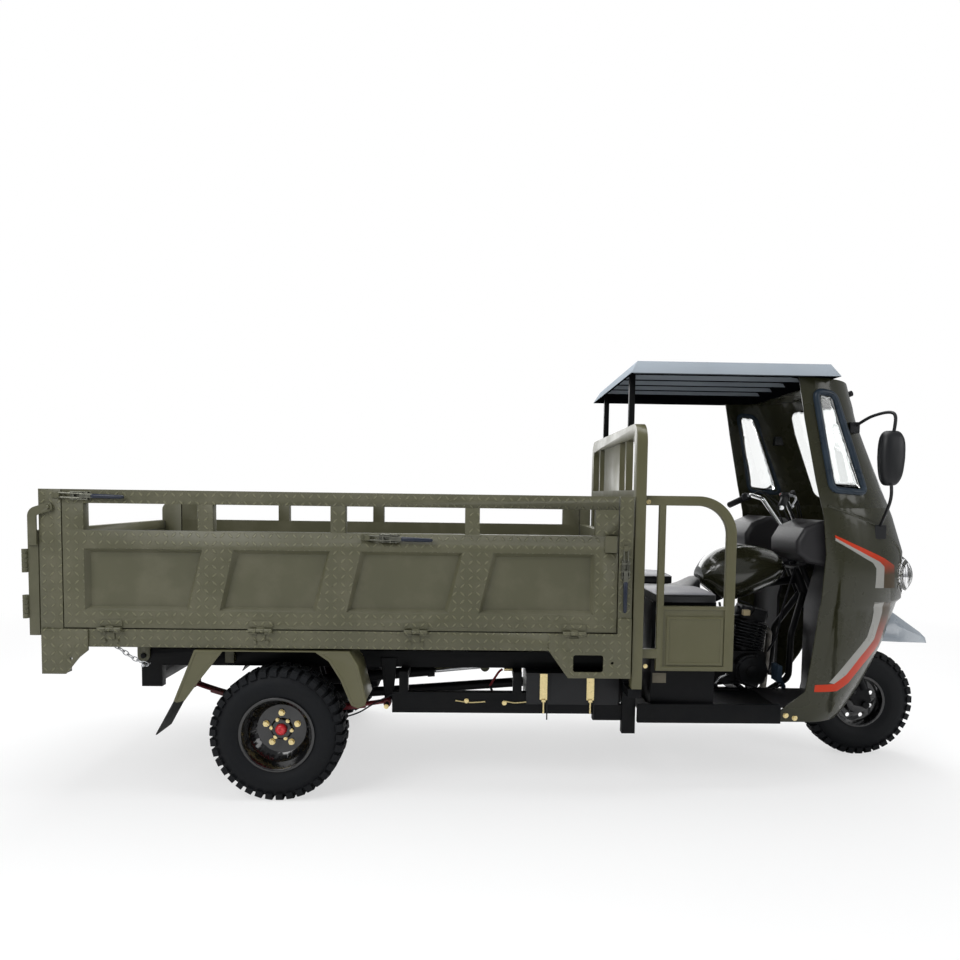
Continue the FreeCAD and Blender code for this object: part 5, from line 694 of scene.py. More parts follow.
class Group:
    """A Geometry Nodes group being built: its geometry input and output, its named inputs and its nodes."""

    def __init__(self, name, inputs):
        self.tree = bpy.data.node_groups.new(name, "GeometryNodeTree")
        sockets = self.tree.interface
        sockets.new_socket("Geometry", in_out="INPUT", socket_type="NodeSocketGeometry")
        for label, kind in (*inputs, ("Material", "Material")):
            sockets.new_socket(label, in_out="INPUT", socket_type="NodeSocket" + kind)
        sockets.new_socket("Geometry", in_out="OUTPUT", socket_type="NodeSocketGeometry")
        self.given = self.tree.nodes.new("NodeGroupInput").outputs
        self.end = self.tree.nodes.new("NodeGroupOutput")

    def add(self, kind, links=None, values=None, **settings):
        """A node with its settings, the values of its sockets and the outputs that feed them."""
        node = self.tree.nodes.new(kind)
        for name, value in settings.items():
            setattr(node, name, value)
        for socket, value in (values or {}).items():
            node.inputs[socket].default_value = value
        for socket, source in (links or {}).items():
            self.tree.links.new(source, node.inputs[socket])
        return node

    def circle(self, radius, steps):
        values = {"Resolution": steps}
        return self.add("GeometryNodeCurvePrimitiveCircle", {"Radius": radius}, values).outputs["Curve"]

    def times(self, value, factor):
        return self.add("ShaderNodeMath", {0: value}, {1: factor}, operation="MULTIPLY").outputs[0]

    def scatter(self, points, instance, rotation):
        links = {"Points": points, "Instance": instance, "Rotation": rotation}
        return self.add("GeometryNodeInstanceOnPoints", links).outputs[0]

    def finish(self, geometry, smooth=True):
        """Ends the group in Realize Instances, its shading and Set Material."""
        real = self.add("GeometryNodeRealizeInstances", {0: geometry}).outputs[0]
        shade = self.add("GeometryNodeSetShadeSmooth", {"Geometry": real}, {"Shade Smooth": smooth})
        links = {"Geometry": shade.outputs[0], "Material": self.given["Material"]}
        paint = self.add("GeometryNodeSetMaterial", links)
        self.tree.links.new(paint.outputs[0], self.end.inputs[0])
        return self.tree


def sweep_tree():
    """A round tube of the given radius along the input's edges."""
    group = Group("tube_along_path", (("Radius", "Float"),))
    curve = group.add("GeometryNodeMeshToCurve", {"Mesh": group.given["Geometry"]}).outputs[0]
    links = {"Curve": curve, "Profile Curve": group.circle(group.given["Radius"], RING_STEPS)}
    return group.finish(group.add("GeometryNodeCurveToMesh", links, {"Fill Caps": True}).outputs[0])


def bolt_tree():
    """A hexagon head on a washer at each point, turned to the point's facing attribute."""
    sizes = ("Head Radius", "Head Height", "Washer Radius", "Washer Height")
    group = Group("bolt_heads", [(label, "Float") for label in sizes] + [("Sides", "Int")])
    join = group.add("GeometryNodeJoinGeometry")
    for part in ("Head", "Washer"):
        height = group.given[part + " Height"]
        links = {"Radius": group.given[part + " Radius"], "Depth": height}
        if part == "Head":
            links["Vertices"] = group.given["Sides"]
        disc = group.add("GeometryNodeMeshCylinder", links, {"Vertices": WASHER_SIDES})
        lift = group.add("ShaderNodeCombineXYZ", {"Z": group.times(height, 0.5)})
        links = {"Geometry": disc.outputs["Mesh"], "Translation": lift.outputs[0]}
        group.tree.links.new(group.add("GeometryNodeTransform", links).outputs[0], join.inputs[0])
    facing = group.add("GeometryNodeInputNamedAttribute", None, {"Name": "facing"}, data_type="FLOAT_VECTOR")
    align = group.add("FunctionNodeAlignRotationToVector", {"Vector": facing.outputs["Attribute"]}, axis="Z")
    heads = group.scatter(group.given["Geometry"], join.outputs[0], align.outputs[0])
    return group.finish(heads, smooth=False)


def lug_tree():
    """Copies of one row of lugs, turned about the tyre's axle."""
    group = Group("tyre_lugs", (("Rows", "Int"), ("Centre", "Vector")))
    rows = group.given["Rows"]
    line = group.add("GeometryNodeMeshLine", {"Count": rows}, {"Offset": (0.0, 0.0, 0.0)})
    index = group.add("GeometryNodeInputIndex").outputs[0]
    share = group.add("ShaderNodeMath", {0: index, 1: rows}, operation="DIVIDE").outputs[0]
    angles = group.add("ShaderNodeCombineXYZ", {"Y": group.times(share, math.tau)})
    copies = group.scatter(line.outputs["Mesh"], group.given["Geometry"], angles.outputs[0])
    links = {"Geometry": copies, "Translation": group.given["Centre"]}
    return group.finish(group.add("GeometryNodeTransform", links).outputs[0], smooth=False)


def chain_tree():
    """Oval links along the input's edges, each turned a quarter from the last."""
    group = Group("chain_links", (("Pitch", "Float"), ("Wire", "Float")))
    pitch = group.given["Pitch"]
    curve = group.add("GeometryNodeMeshToCurve", {"Mesh": group.given["Geometry"]}).outputs[0]
    points = group.add("GeometryNodeCurveToPoints", {"Curve": curve, "Length": pitch}, mode="LENGTH")
    oval = {"Geometry": group.circle(pitch, LINK_STEPS)}
    oval = group.add("GeometryNodeTransform", oval, {"Scale": LINK_SHAPE}).outputs[0]
    links = {"Curve": oval, "Profile Curve": group.circle(group.given["Wire"], WIRE_STEPS)}
    link = group.add("GeometryNodeCurveToMesh", links).outputs[0]
    align = group.add("FunctionNodeAlignRotationToVector", {"Vector": points.outputs["Tangent"]}, axis="X")
    index = group.add("GeometryNodeInputIndex").outputs[0]
    roll = group.add("ShaderNodeCombineXYZ", {"X": group.times(index, math.pi / 2.0)})
    links = {"Rotation": align.outputs[0], "Rotate By": roll.outputs[0]}
    turn = group.add("FunctionNodeRotateRotation", links, rotation_space="LOCAL")
    return group.finish(group.scatter(points.outputs["Points"], link, turn.outputs[0]))


def run_tree(name, mesh, tree, values, body):
    """Runs a node tree on a mesh and keeps the result as a plain mesh that rides on a body."""
    source = bpy.data.objects.new(name + "_source", mesh)
    bpy.context.scene.collection.objects.link(source)
    modifier = source.modifiers.new("nodes", "NODES")
    modifier.node_group = tree
    for socket in tree.interface.items_tree:
        if socket.item_type == "SOCKET" and socket.name in values:
            modifier[socket.identifier] = values[socket.name]
    graph = bpy.context.evaluated_depsgraph_get()
    result = bpy.data.meshes.new_from_object(source.evaluated_get(graph), depsgraph=graph)
    source.modifiers.remove(modifier)
    bpy.data.objects.remove(source)
    if not result.polygons:
        raise RuntimeError(name + ": the node tree made no faces")
    piece = bpy.data.objects.new(name, result)
    bpy.context.scene.collection.objects.link(piece)
    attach(piece, body)
    return piece


def path_mesh(name, points, closed=False):
    """Points joined in line as edges, for a tube to follow."""
    edges = [(index, index + 1) for index in range(len(points) - 1)]
    if closed:
        edges.append((len(points) - 1, 0))
    mesh = bpy.data.meshes.new(name)
    mesh.from_pydata([tuple(point) for point in points], edges, [])
    return mesh


def place_bolts(name, body, places, finish, head, height, washer):
    """Bolt heads at pairs of a point and the direction it faces."""
    mesh = bpy.data.meshes.new(name)
    mesh.from_pydata([tuple(point) for point, _ in places], [], [])
    facing = mesh.attributes.new("facing", "FLOAT_VECTOR", "POINT")
    for entry, (_, direction) in zip(facing.data, places):
        entry.vector = direction
    values = {
        "Head Radius": head,
        "Head Height": height,
        "Washer Radius": washer,
        "Washer Height": height * 0.25,
        "Sides": BOLT_SIDES,
        "Material": FINISHES[finish],
    }
    return run_tree(name, mesh, TREES["bolts"], values, body)


def flowing(points, steps=6):
    """A smooth path through the points, by Catmull-Rom spans."""
    spots = [Vector(point) for point in points]
    spots = [spots[0] * 2.0 - spots[1]] + spots + [spots[-1] * 2.0 - spots[-2]]
    path = []
    for a, b, c, d in zip(spots, spots[1:], spots[2:], spots[3:]):
        square = 2.0 * a - 5.0 * b + 4.0 * c - d
        cube = 3.0 * b - a - 3.0 * c + d
        for step in range(steps):
            t = step / steps
            path.append(0.5 * (2.0 * b + (c - a) * t + square * t**2 + cube * t**3))
    path.append(spots[-2])
    return path


def tube(name, points, radius, finish, body, steps=6):
    """A round tube, hose or cable through the points."""
    mesh = path_mesh(name, flowing(points, steps))
    return run_tree(name, mesh, TREES["tube"], {"Radius": radius, "Material": FINISHES[finish]}, body)


def solid(name, finish, body, build, smooth=False):
    """A piece from a bmesh recipe."""
    return link_mesh(name, clean_mesh(name, build, smooth), finish, body)


def node_surface(*nodes):
    """A search tree over the triangles of the named CAD nodes."""
    verts = []
    faces = []
    for node in nodes:
        mesh = frame["nodes"][node].data
        start = len(verts)
        verts += [vert.co.copy() for vert in mesh.vertices]
        faces += [tuple(start + index for index in polygon.vertices) for polygon in mesh.polygons]
    return BVHTree.FromPolygons(verts, faces)


# Operators


class TRICYCLE_OT_finishes(bpy.types.Operator):
    """Gives every solid its paint, rubber, metal or glass, with its edges eased."""

    bl_idname = "tricycle.finishes"
    bl_label = "Finishes"

    def execute(self, context):
        FINISHES.update(make_finishes())
        TREES.update(tube=sweep_tree(), bolts=bolt_tree(), lugs=lug_tree(), chain=chain_tree())
        finish_of = {node: finish for finish, nodes in FINISHED_NODES.items() for node in nodes.split()}
        for name, node in frame["nodes"].items():
            node.data.materials.clear()
            node.data.materials.append(FINISHES[finish_of[name]])
            node.data.shade_smooth()
            weld = node.modifiers.new("weld", "WELD")
            weld.merge_threshold = 0.00002
            if name not in CLEAR_NODES:
                plain = node.modifiers.new("flats", "DECIMATE")
                plain.decimate_type = "DISSOLVE"
                plain.angle_limit = math.radians(1.0)
                ease = node.modifiers.new("ease", "BEVEL")
                ease.width = EASED_EDGE
                ease.segments = 2
                ease.limit_method = "ANGLE"
                ease.angle_limit = math.radians(35.0)
                ease.harden_normals = True
        return {"FINISHED"}


def tyre_profile(half, radius, bead, lug):
    """Closed section of a tyre's carcass in radius and Y, down to its beads."""
    base = radius - lug
    outer = [
        (bead, half - 0.022),
        (bead + 0.010, half - 0.013),
        (bead + 0.018, half - 0.012),
        (bead + 0.030, half - 0.004),
        (bead + 0.050, half - 0.0005),
        (base - 0.060, half),
        (base - 0.040, half - 0.002),
        (base - 0.036, half - 0.005),
        (base - 0.020, half - 0.009),
        (base - 0.006, half - 0.022),
        (base, half - 0.036),
    ]
    inner = [(bead, half - 0.036), (base - 0.040, half - 0.030)]
    right = [(distance, -y) for distance, y in reversed(outer)]
    inside = [(distance, -y) for distance, y in inner] + [(distance, y) for distance, y in reversed(inner)]
    return outer + right + inside


def lug_row(half, radius, step, lug):
    """One row of lugs at the top of the tyre: on each side a centre block and a shoulder block, staggered."""
    shape = bmesh.new()
    low = radius - lug - 0.003
    length = step * 0.62
    inner = half * 0.42
    for side in (-1.0, 1.0):
        shift = side * step * 0.25
        y0, y1 = sorted((side * 0.004, side * inner))
        add_block(shape, (-length / 2 + shift, y0, low), (length / 2 + shift, y1, radius), 0.0015)
        add_shoulder(shape, side, inner + 0.006, half, radius, length, shift, low)
    bmesh.ops.recalc_face_normals(shape, faces=shape.faces)
    mesh = bpy.data.meshes.new("lug_row")
    shape.to_mesh(mesh)
    shape.free()
    return mesh


def add_shoulder(shape, side, inner, half, radius, length, shift, low):
    """A shoulder lug: flat on the tread, turned down over the tyre's edge."""
    section = [
        (inner, low),
        (inner, radius),
        (half - 0.018, radius),
        (half - 0.006, radius - 0.006),
        (half - 0.0015, radius - 0.030),
        (half - 0.010, radius - 0.034),
        (half - 0.016, low - 0.006),
    ]
    rows = []
    for x in (-length / 2 + shift, length / 2 + shift):
        rows.append([shape.verts.new((x, side * y, z)) for y, z in section])
    skin(shape, rows)


class TRICYCLE_OT_tyres(bpy.types.Operator):
    """Three tyres with rounded carcasses, beads and block lugs."""

    bl_idname = "tricycle.tyres"
    bl_label = "Tyres"

    def execute(self, context):
        sizes = context.scene.tricycle_tyres
        for node, rows, bead in (
            ("rear_tyre_right", sizes.rear_lugs, sizes.rear_bead),
            ("rear_tyre_left", sizes.rear_lugs, sizes.rear_bead),
            ("front_tyre", sizes.front_lugs, sizes.front_bead),
        ):
            low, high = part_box(node)
            centre = (low + high) / 2.0
            radius = (high.z - low.z) / 2.0
            half = (high.y - low.y) / 2.0
            body = frame["nodes"][node]["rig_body"]
            profile = tyre_profile(half, radius, bead, sizes.lug_height)
            mesh = clean_mesh(node + "_carcass", lambda shape: lathe(shape, profile, centre, 120))
            carcass = link_mesh(node + "_carcass", mesh, "tyre", body)
            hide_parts(node)
            row = lug_row(half, radius, 2.0 * math.pi * radius / rows, sizes.lug_height)
            values = {"Rows": rows, "Centre": centre, "Material": FINISHES["tyre"]}
            run_tree(node + "_lugs", row, TREES["lugs"], values, body)
        return {"FINISHED"}


class TRICYCLE_OT_wheel_trim(bpy.types.Operator):
    """Wheel nuts, hub bolts and hub caps of the rear wheels."""

    bl_idname = "tricycle.wheel_trim"
    bl_label = "Wheel trim"

    DISC_FACE = 0.583
    HUB_RISE = 0.008
    NUTS = (5, 0.072, 0.0)
    HUB_BOLTS = (6, 0.044, 0.4)
    CAP = ((0.0005, 0.030), (0.016, 0.030), (0.022, 0.026), (0.025, 0.018), (0.026, 0.002), (0.0005, 0.002))

    def execute(self, context):
        for side, name in SIDES:
            low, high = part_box("rear_tyre_" + name)
            centre = (low + high) / 2.0
            face = side * self.DISC_FACE
            body = "rear_wheel_" + name
            nuts = self.ring(centre, face, side, *self.NUTS)
            place_bolts("wheel_nuts_" + name, body, nuts, "gold", 0.0115, 0.014, 0.014)
            small = self.ring(centre, face + side * self.HUB_RISE, side, *self.HUB_BOLTS)
            place_bolts("hub_bolts_" + name, body, small, "gold", 0.007, 0.006, 0.009)
            profile = [(radius, side * y) for radius, y in self.CAP]
            middle = (centre.x, face, centre.z)
            solid("hub_cap_" + name, "hub", body, lambda shape: lathe(shape, profile, middle, 32), True)
        return {"FINISHED"}

    @staticmethod
    def ring(centre, face, side, count, radius, phase):
        """Places on a circle, the first straight up but for the phase, each facing outwards."""
        places = []
        for step in range(count):
            angle = math.tau * step / count + phase + math.pi / 2.0
            point = (centre.x + radius * math.cos(angle), face, centre.z + radius * math.sin(angle))
            places.append((point, (0.0, side, 0.0)))
        return places


# Seats

SEAT_INNER = 0.215
SEAT_CROWN = 0.012
SEAT_CUTS = 11
SADDLE_STEPS = 24
SADDLE_ROUND = 0.55
SADDLE_STATIONS = (
    (0.00, 0.50, 0.96),
    (0.06, 0.60, 1.00),
    (0.30, 0.56, 1.00),
    (0.55, 0.55, 0.96),
    (0.72, 0.60, 0.80),
    (0.86, 0.84, 0.62),
    (0.95, 0.99, 0.48),
    (1.00, 0.92, 0.42),
)


def soften(piece):
    smooth = piece.modifiers.new("smooth", "SUBSURF")
    smooth.levels = 2
    smooth.render_levels = 2


def cushion(name, low, high):
    """A side seat's pad: a crowned grey top on black sides that are drawn in between the corners."""
    half = (high - low) / 2.0
    middle = (high + low) / 2.0

    def build(shape):
        bmesh.ops.create_cube(shape, size=1.0)
        bmesh.ops.subdivide_edges(shape, edges=shape.edges[:], cuts=SEAT_CUTS, use_grid_fill=True)
        for vert in shape.verts:
            u, v, w = (vert.co * 2.0)[:]
            inside = (1.0 - u * u) * (1.0 - v * v)
            pull = 1.0 - 0.035 * (1.0 - w * w) * (1.0 - (u * v) ** 2)
            pull *= 1.0 - 0.05 * (u * u * v * v)
            z = w * half.z
            if w > 0.0:
                z -= SEAT_CROWN * (1.0 - inside**0.35 if inside > 0.0 else 1.0) * w
            vert.co = middle + Vector((u * half.x * pull, v * half.y * pull, z))

    mesh = clean_mesh(name, build)
    mesh.materials.append(FINISHES["grey_vinyl"])
    mesh.materials.append(FINISHES["black_vinyl"])
    for face in mesh.polygons:
        face.material_index = 0 if face.normal.z > 0.5 else 1
    piece = link_mesh(name, mesh, "grey_vinyl", "chassis")
    soften(piece)
    return piece


class TRICYCLE_OT_seats(bpy.types.Operator):
    """The driver's saddle and the two flat side seats, as padded vinyl."""

    bl_idname = "tricycle.seats"
    bl_label = "Seats"

    def execute(self, context):
        low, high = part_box("side_seats")
        right = cushion("side_seat_right", low, Vector((high.x, -SEAT_INNER, high.z)))
        cushion("side_seat_left", Vector((low.x, SEAT_INNER, low.z)), high)
        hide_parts("side_seats")
        low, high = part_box("driver_seat")

        def build(shape):
            self.saddle(shape, low, high)

        piece = solid("driver_saddle", "black_vinyl", "chassis", build, True)
        soften(piece)
        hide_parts("driver_seat")
        return {"FINISHED"}

    @staticmethod
    def saddle(shape, low, high):
        """A flat pad that rises at the front against the tank, from rear to front through its stations."""
        size = high - low
        rings = []
        for share, top, width in SADDLE_STATIONS:
            ring = []
            for step in range(SADDLE_STEPS):
                angle = math.tau * step / SADDLE_STEPS
                across = math.cos(angle)
                up = math.sin(angle)
                y = size.y / 2.0 * width * math.copysign(abs(across) ** SADDLE_ROUND, across)
                z = math.copysign(abs(up) ** SADDLE_ROUND, up)
                place = (low.x + size.x * share, y, low.z + size.z * top * (0.5 + 0.5 * z))
                ring.append(shape.verts.new(place))
            rings.append(ring)
        skin(shape, rings)


# Body trim

UPPER_OUTER = (
    (1.409, 1.168),
    (1.490, 1.133),
    (1.585, 1.095),
    (1.671, 1.062),
    (1.752, 1.023),
    (1.759, 0.969),
    (1.764, 0.917),
)
UPPER_MIDDLE = (
    (1.412, 1.155),
    (1.491, 1.115),
    (1.574, 1.076),
    (1.6465, 1.045),
    (1.677, 1.021),
    (1.678, 0.974),
    (1.679, 0.923),
)
UPPER_INNER = (
    (1.412, 1.143),
    (1.481, 1.106),
    (1.553, 1.067),
    (1.6045, 1.042),
    (1.626, 1.016),
    (1.627, 0.972),
    (1.625, 0.926),
)
LOWER_OUTER = (
    (1.750, 0.846),
    (1.757, 0.799),
    (1.749, 0.745),
    (1.708, 0.642),
    (1.607, 0.565),
    (1.523, 0.483),
    (1.462, 0.451),
    (1.348, 0.450),
)
LOWER_MIDDLE = (
    (1.687, 0.856),
    (1.693, 0.807),
    (1.681, 0.7555),
    (1.659, 0.681),
    (1.5765, 0.604),
    (1.5035, 0.524),
    (1.442, 0.486),
)
LOWER_INNER = (
    (1.625, 0.860),
    (1.633, 0.8125),
    (1.629, 0.770),
    (1.607, 0.696),
    (1.5315, 0.618),
    (1.458, 0.537),
    (1.4165, 0.492),
)
LOWER_TAIL = (1.351, 0.4825)
STRIPES = {
    "upper_red": ("red", UPPER_OUTER, UPPER_MIDDLE),
    "upper_silver": ("silver", UPPER_MIDDLE, UPPER_INNER),
    "lower_silver": ("silver", LOWER_MIDDLE, LOWER_INNER),
    "lower_red": ("red", LOWER_OUTER, (*LOWER_MIDDLE, LOWER_TAIL)),
}
STRIPE_STEPS = 6
SHELL_RIDGE = (
    (1.374, 1.298),
    (1.476, 1.263),
    (1.584, 1.2275),
    (1.677, 1.190),
    (1.747, 1.142),
    (1.800, 1.093),
    (1.822, 1.03),
)
RIDGE_RADIUS = 0.006
SEAL_PATH = ((1.303, 1.810), (1.400, 1.798), (1.562, 1.3585), (1.3915, 1.370))


def rounded_outline(corners, radius, steps=5):
    """A closed outline in X and Z with its corners turned into arcs."""
    points = []
    count = len(corners)
    for index in range(count):
        before = Vector(corners[index - 1])
        corner = Vector(corners[index])
        after = Vector(corners[(index + 1) % count])
        start = corner + (before - corner).normalized() * radius
        end = corner + (after - corner).normalized() * radius
        for step in range(steps + 1):
            share = step / steps
            points.append(start * (1 - share) ** 2 + corner * 2 * share * (1 - share) + end * share**2)
    return points


def on_shell(surface, x, z, side, lift):
    """The point on the cab shell's outside at an X and Z, lifted off it."""
    hit, normal, _, _ = surface.ray_cast(Vector((x, side * 2.0, z)), Vector((0.0, -side, 0.0)))
    if hit is None:
        return None
    if normal.y * side < 0.0:
        normal = -normal
    return hit + normal * lift


class TRICYCLE_OT_seals(bpy.types.Operator):
    """The thick rubber round the side windows."""

    bl_idname = "tricycle.seals"
    bl_label = "Window seals"

    def execute(self, context):
        radius = context.scene.tricycle_trim.seal / 2.0
        surface = node_surface("window_frame", "side_glass")
        outline = rounded_outline(SEAL_PATH, 0.035)
        for side, name in SIDES:
            points = [on_shell(surface, point.x, point.y, side, 0.002) for point in outline]
            points = [point for point in points if point is not None]
            mesh = path_mesh("seal_" + name, points, closed=True)
            values = {"Radius": radius, "Material": FINISHES["seal"]}
            run_tree("window_seal_" + name, mesh, TREES["tube"], values, "chassis")
        return {"FINISHED"}


class TRICYCLE_OT_stripes(bpy.types.Operator):
    """Silver and red bands that lie on both sides of the cab shell, and the ridge above them."""

    bl_idname = "tricycle.stripes"
    bl_label = "Stripes"

    def execute(self, context):
        lift = context.scene.tricycle_trim.stripe_lift
        surface = node_surface("cab_cowl", "window_frame")
        for side, name in SIDES:
            for label, (finish, outer, inner) in STRIPES.items():
                piece = "stripe_" + label + "_" + name
                mesh = self.band(piece, surface, side, self.divided(outer), self.divided(inner), lift)
                link_mesh(piece, mesh, finish, "chassis")
            points = [on_shell(surface, x, z, side, -0.002) for x, z in SHELL_RIDGE]
            tube("shell_ridge_" + name, [point for point in points if point], RIDGE_RADIUS, "cab", "chassis")
        return {"FINISHED"}

    @staticmethod
    def divided(edge):
        """The points of an edge with even steps between each two."""
        row = []
        for start, stop in zip(edge, edge[1:]):
            for step in range(STRIPE_STEPS):
                share = step / STRIPE_STEPS
                row.append(Vector(start) * (1.0 - share) + Vector(stop) * share)
        return row + [Vector(edge[-1])]

    @staticmethod
    def band(name, surface, side, outer, inner, lift):
        """A grid between two edges given in X and Z, laid on the shell."""
        shape = bmesh.new()
        grid = []
        for first, last in zip(outer, inner):
            line = []
            for step in range(STRIPE_STEPS + 1):
                spot = first.lerp(last, step / STRIPE_STEPS)
                point = on_shell(surface, spot.x, spot.y, side, lift)
                if point is None:
                    raise RuntimeError(name + " runs off the shell")
                line.append(shape.verts.new(point))
            grid.append(line)
        for here, after in zip(grid, grid[1:]):
            for step in range(STRIPE_STEPS):
                shape.faces.new((here[step], here[step + 1], after[step + 1], after[step]))
        bmesh.ops.recalc_face_normals(shape, faces=shape.faces)
        face = max(shape.faces, key=lambda entry: entry.calc_area())
        if face.normal.y * side < 0.0:
            bmesh.ops.reverse_faces(shape, faces=shape.faces)
        mesh = bpy.data.meshes.new(name)
        shape.to_mesh(mesh)
        shape.free()
        mesh.shade_smooth()
        return mesh


# Latches, each along X and across Y in its own axes, with Z out of the panel

LATCH_BASE = ((0.052, -0.017, 0.0), (0.140, 0.017, 0.003))
LATCH_FLANGE = ((0.058, 0.0, 0.003), (0.134, 0.003, 0.019))
LATCH_FLANGES = (-0.0165, 0.0135)
LATCH_PINS = (0.070, 0.104, 0.126)
LATCH_PIN = (0.019, 0.012, 0.0042)
LATCH_HOOK = (0.011, 0.012)
LATCH_LINKS = (-0.009, 0.009)
LATCH_LINK = (0.106, 0.014, 0.0032)
LATCH_LEVER = ((0.098, -0.0095, 0.008), (0.156, 0.0095, 0.020))
GRIP_START = 0.148
GRIP_HEIGHT = 0.016
GRIP_STEPS = 16
KEEPER_BLOCKS = (
    ((-0.024, -0.014, 0.0), (0.034, 0.014, 0.004)),
    ((0.006, -0.010, 0.004), (0.016, 0.010, 0.019)),
    ((-0.006, -0.010, 0.016), (0.016, 0.010, 0.020)),
)
KEEPER_RIVETS = (-0.015, 0.026)
KEEPER_RIVET = (0.008, 0.0045)


def latch_place(origin, along, side):
    """The matrix from a latch's own axes to its place."""
    ahead = Vector(along).normalized()
    out = Vector((0.0, side, 0.0))
    turn = Matrix((ahead, out.cross(ahead), out)).transposed().to_4x4()
    return Matrix.Translation(Vector(origin)) @ turn


def latch_body(shape, place):
    """A toggle latch's base, flanges, pins, links and lever."""
    add_block(shape, *LATCH_BASE, 0.001)
    low, high = (Vector(corner) for corner in LATCH_FLANGE)
    for across in LATCH_FLANGES:
        shift = Vector((0.0, across, 0.0))
        add_block(shape, low + shift, high + shift, 0.001)
    half, height, radius = LATCH_PIN
    for along in LATCH_PINS:
        add_rod(shape, (along, -half, height), (along, half, height), radius, 12)
    hook, spread = LATCH_HOOK
    reach, height, radius = LATCH_LINK
    for across in LATCH_LINKS:
        add_rod(shape, (hook, across, height), (reach, across, height), radius, 10)
    add_rod(shape, (hook, -spread, height), (hook, spread, height), radius, 10)
    add_block(shape, *LATCH_LEVER, 0.002)
    bmesh.ops.transform(shape, matrix=place, verts=shape.verts[:])


def latch_grip(shape, place, length):
    """A latch's tapered rubber grip with a rounded end."""
    end = GRIP_START + length
    profile = [(GRIP_START, 0.0005), (GRIP_START, 0.0075), (GRIP_START + 0.005, 0.0100)]
    profile += [(GRIP_START + length * 0.93, 0.0080), (GRIP_START + length * 0.98, 0.0062), (end, 0.0005)]
    rings = []
    for along, radius in profile:
        ring = []
        for step in range(GRIP_STEPS):
            angle = math.tau * step / GRIP_STEPS
            spot = Vector((along, radius * math.cos(angle), GRIP_HEIGHT + radius * math.sin(angle)))
            ring.append(shape.verts.new(place @ spot))
        rings.append(ring)
    skin(shape, rings)


def latch_keeper(shape, place):
    """The hook plate that a latch's link catches."""
    for low, high in KEEPER_BLOCKS:
        add_block(shape, low, high, 0.001)
    height, radius = KEEPER_RIVET
    for along in KEEPER_RIVETS:
        add_rod(shape, (along, 0.0, 0.0), (along, 0.0, height), radius, 12)
    bmesh.ops.transform(shape, matrix=place, verts=shape.verts[:])


class TRICYCLE_OT_latches(bpy.types.Operator):
    """Three toggle latches on each side of the bed, with their keepers and rubber grips."""

    bl_idname = "tricycle.latches"
    bl_label = "Latches"

    FACE = 0.650
    REAR = (-1.960, 1.302)
    MIDDLE = (-0.665, 1.139)
    FRONT = (0.4425, 1.110)
    STRIKE_X = (0.352, 0.406)
    STRIKE_Z = (1.085, 1.158)
    STRIKE = 0.005

    def execute(self, context):
        grip = context.scene.tricycle_trim.latch_grip
        for side, name in SIDES:
            panel = "side_" + name
            for label, (x, z), ahead, holds, catches in (
                ("rear", self.REAR, (1.0, 0.0, -0.02), panel, "bed"),
                ("middle", self.MIDDLE, (1.0, 0.0, -0.03), panel, panel),
                ("front", self.FRONT, (0.0, 0.0, -1.0), "bed", "bed"),
            ):
                place = latch_place((x, side * self.FACE, z), ahead, side)
                tag = label + "_" + name
                solid("latch_" + tag, "zinc", holds, lambda shape: latch_body(shape, place))
                handle = "latch_grip_" + tag
                solid(handle, "handle", holds, lambda shape: latch_grip(shape, place, grip), True)
                solid("latch_keeper_" + tag, "bed", catches, lambda shape: latch_keeper(shape, place))
            solid("latch_strike_" + name, "bed", panel, lambda shape: self.strike(shape, side))
        return {"FINISHED"}

    def strike(self, shape, side):
        """The rounded square plate by the front latch."""
        (x0, x1), (z0, z1) = self.STRIKE_X, self.STRIKE_Z
        y0, y1 = sorted((side * self.FACE, side * (self.FACE + self.STRIKE)))
        add_block(shape, (x0, y0, z0), (x1, y1, z1), 0.004)


class TRICYCLE_OT_chain(bpy.types.Operator):
    """The short chain of the bed's locking pin, from the bed's rear beam, and the pin."""

    bl_idname = "tricycle.chain"
    bl_label = "Pin chain"

    PATH = (
        (-1.760, -0.615, 0.668),
        (-1.712, -0.615, 0.630),
        (-1.668, -0.615, 0.600),
        (-1.622, -0.615, 0.578),
    )
    PITCH = 0.0235
    WIRE = 0.0022
    PIN = ((-1.622, -0.640, 0.574), (-1.622, -0.575, 0.574), 0.006)

    def execute(self, context):
        values = {"Pitch": self.PITCH, "Wire": self.WIRE, "Material": FINISHES["steel"]}
        run_tree("pin_chain", path_mesh("pin_chain", flowing(self.PATH)), TREES["chain"], values, "bed")
        solid("locking_pin", "steel", "bed", lambda shape: add_rod(shape, *self.PIN), True)
        return {"FINISHED"}


# Mirrors and wiper


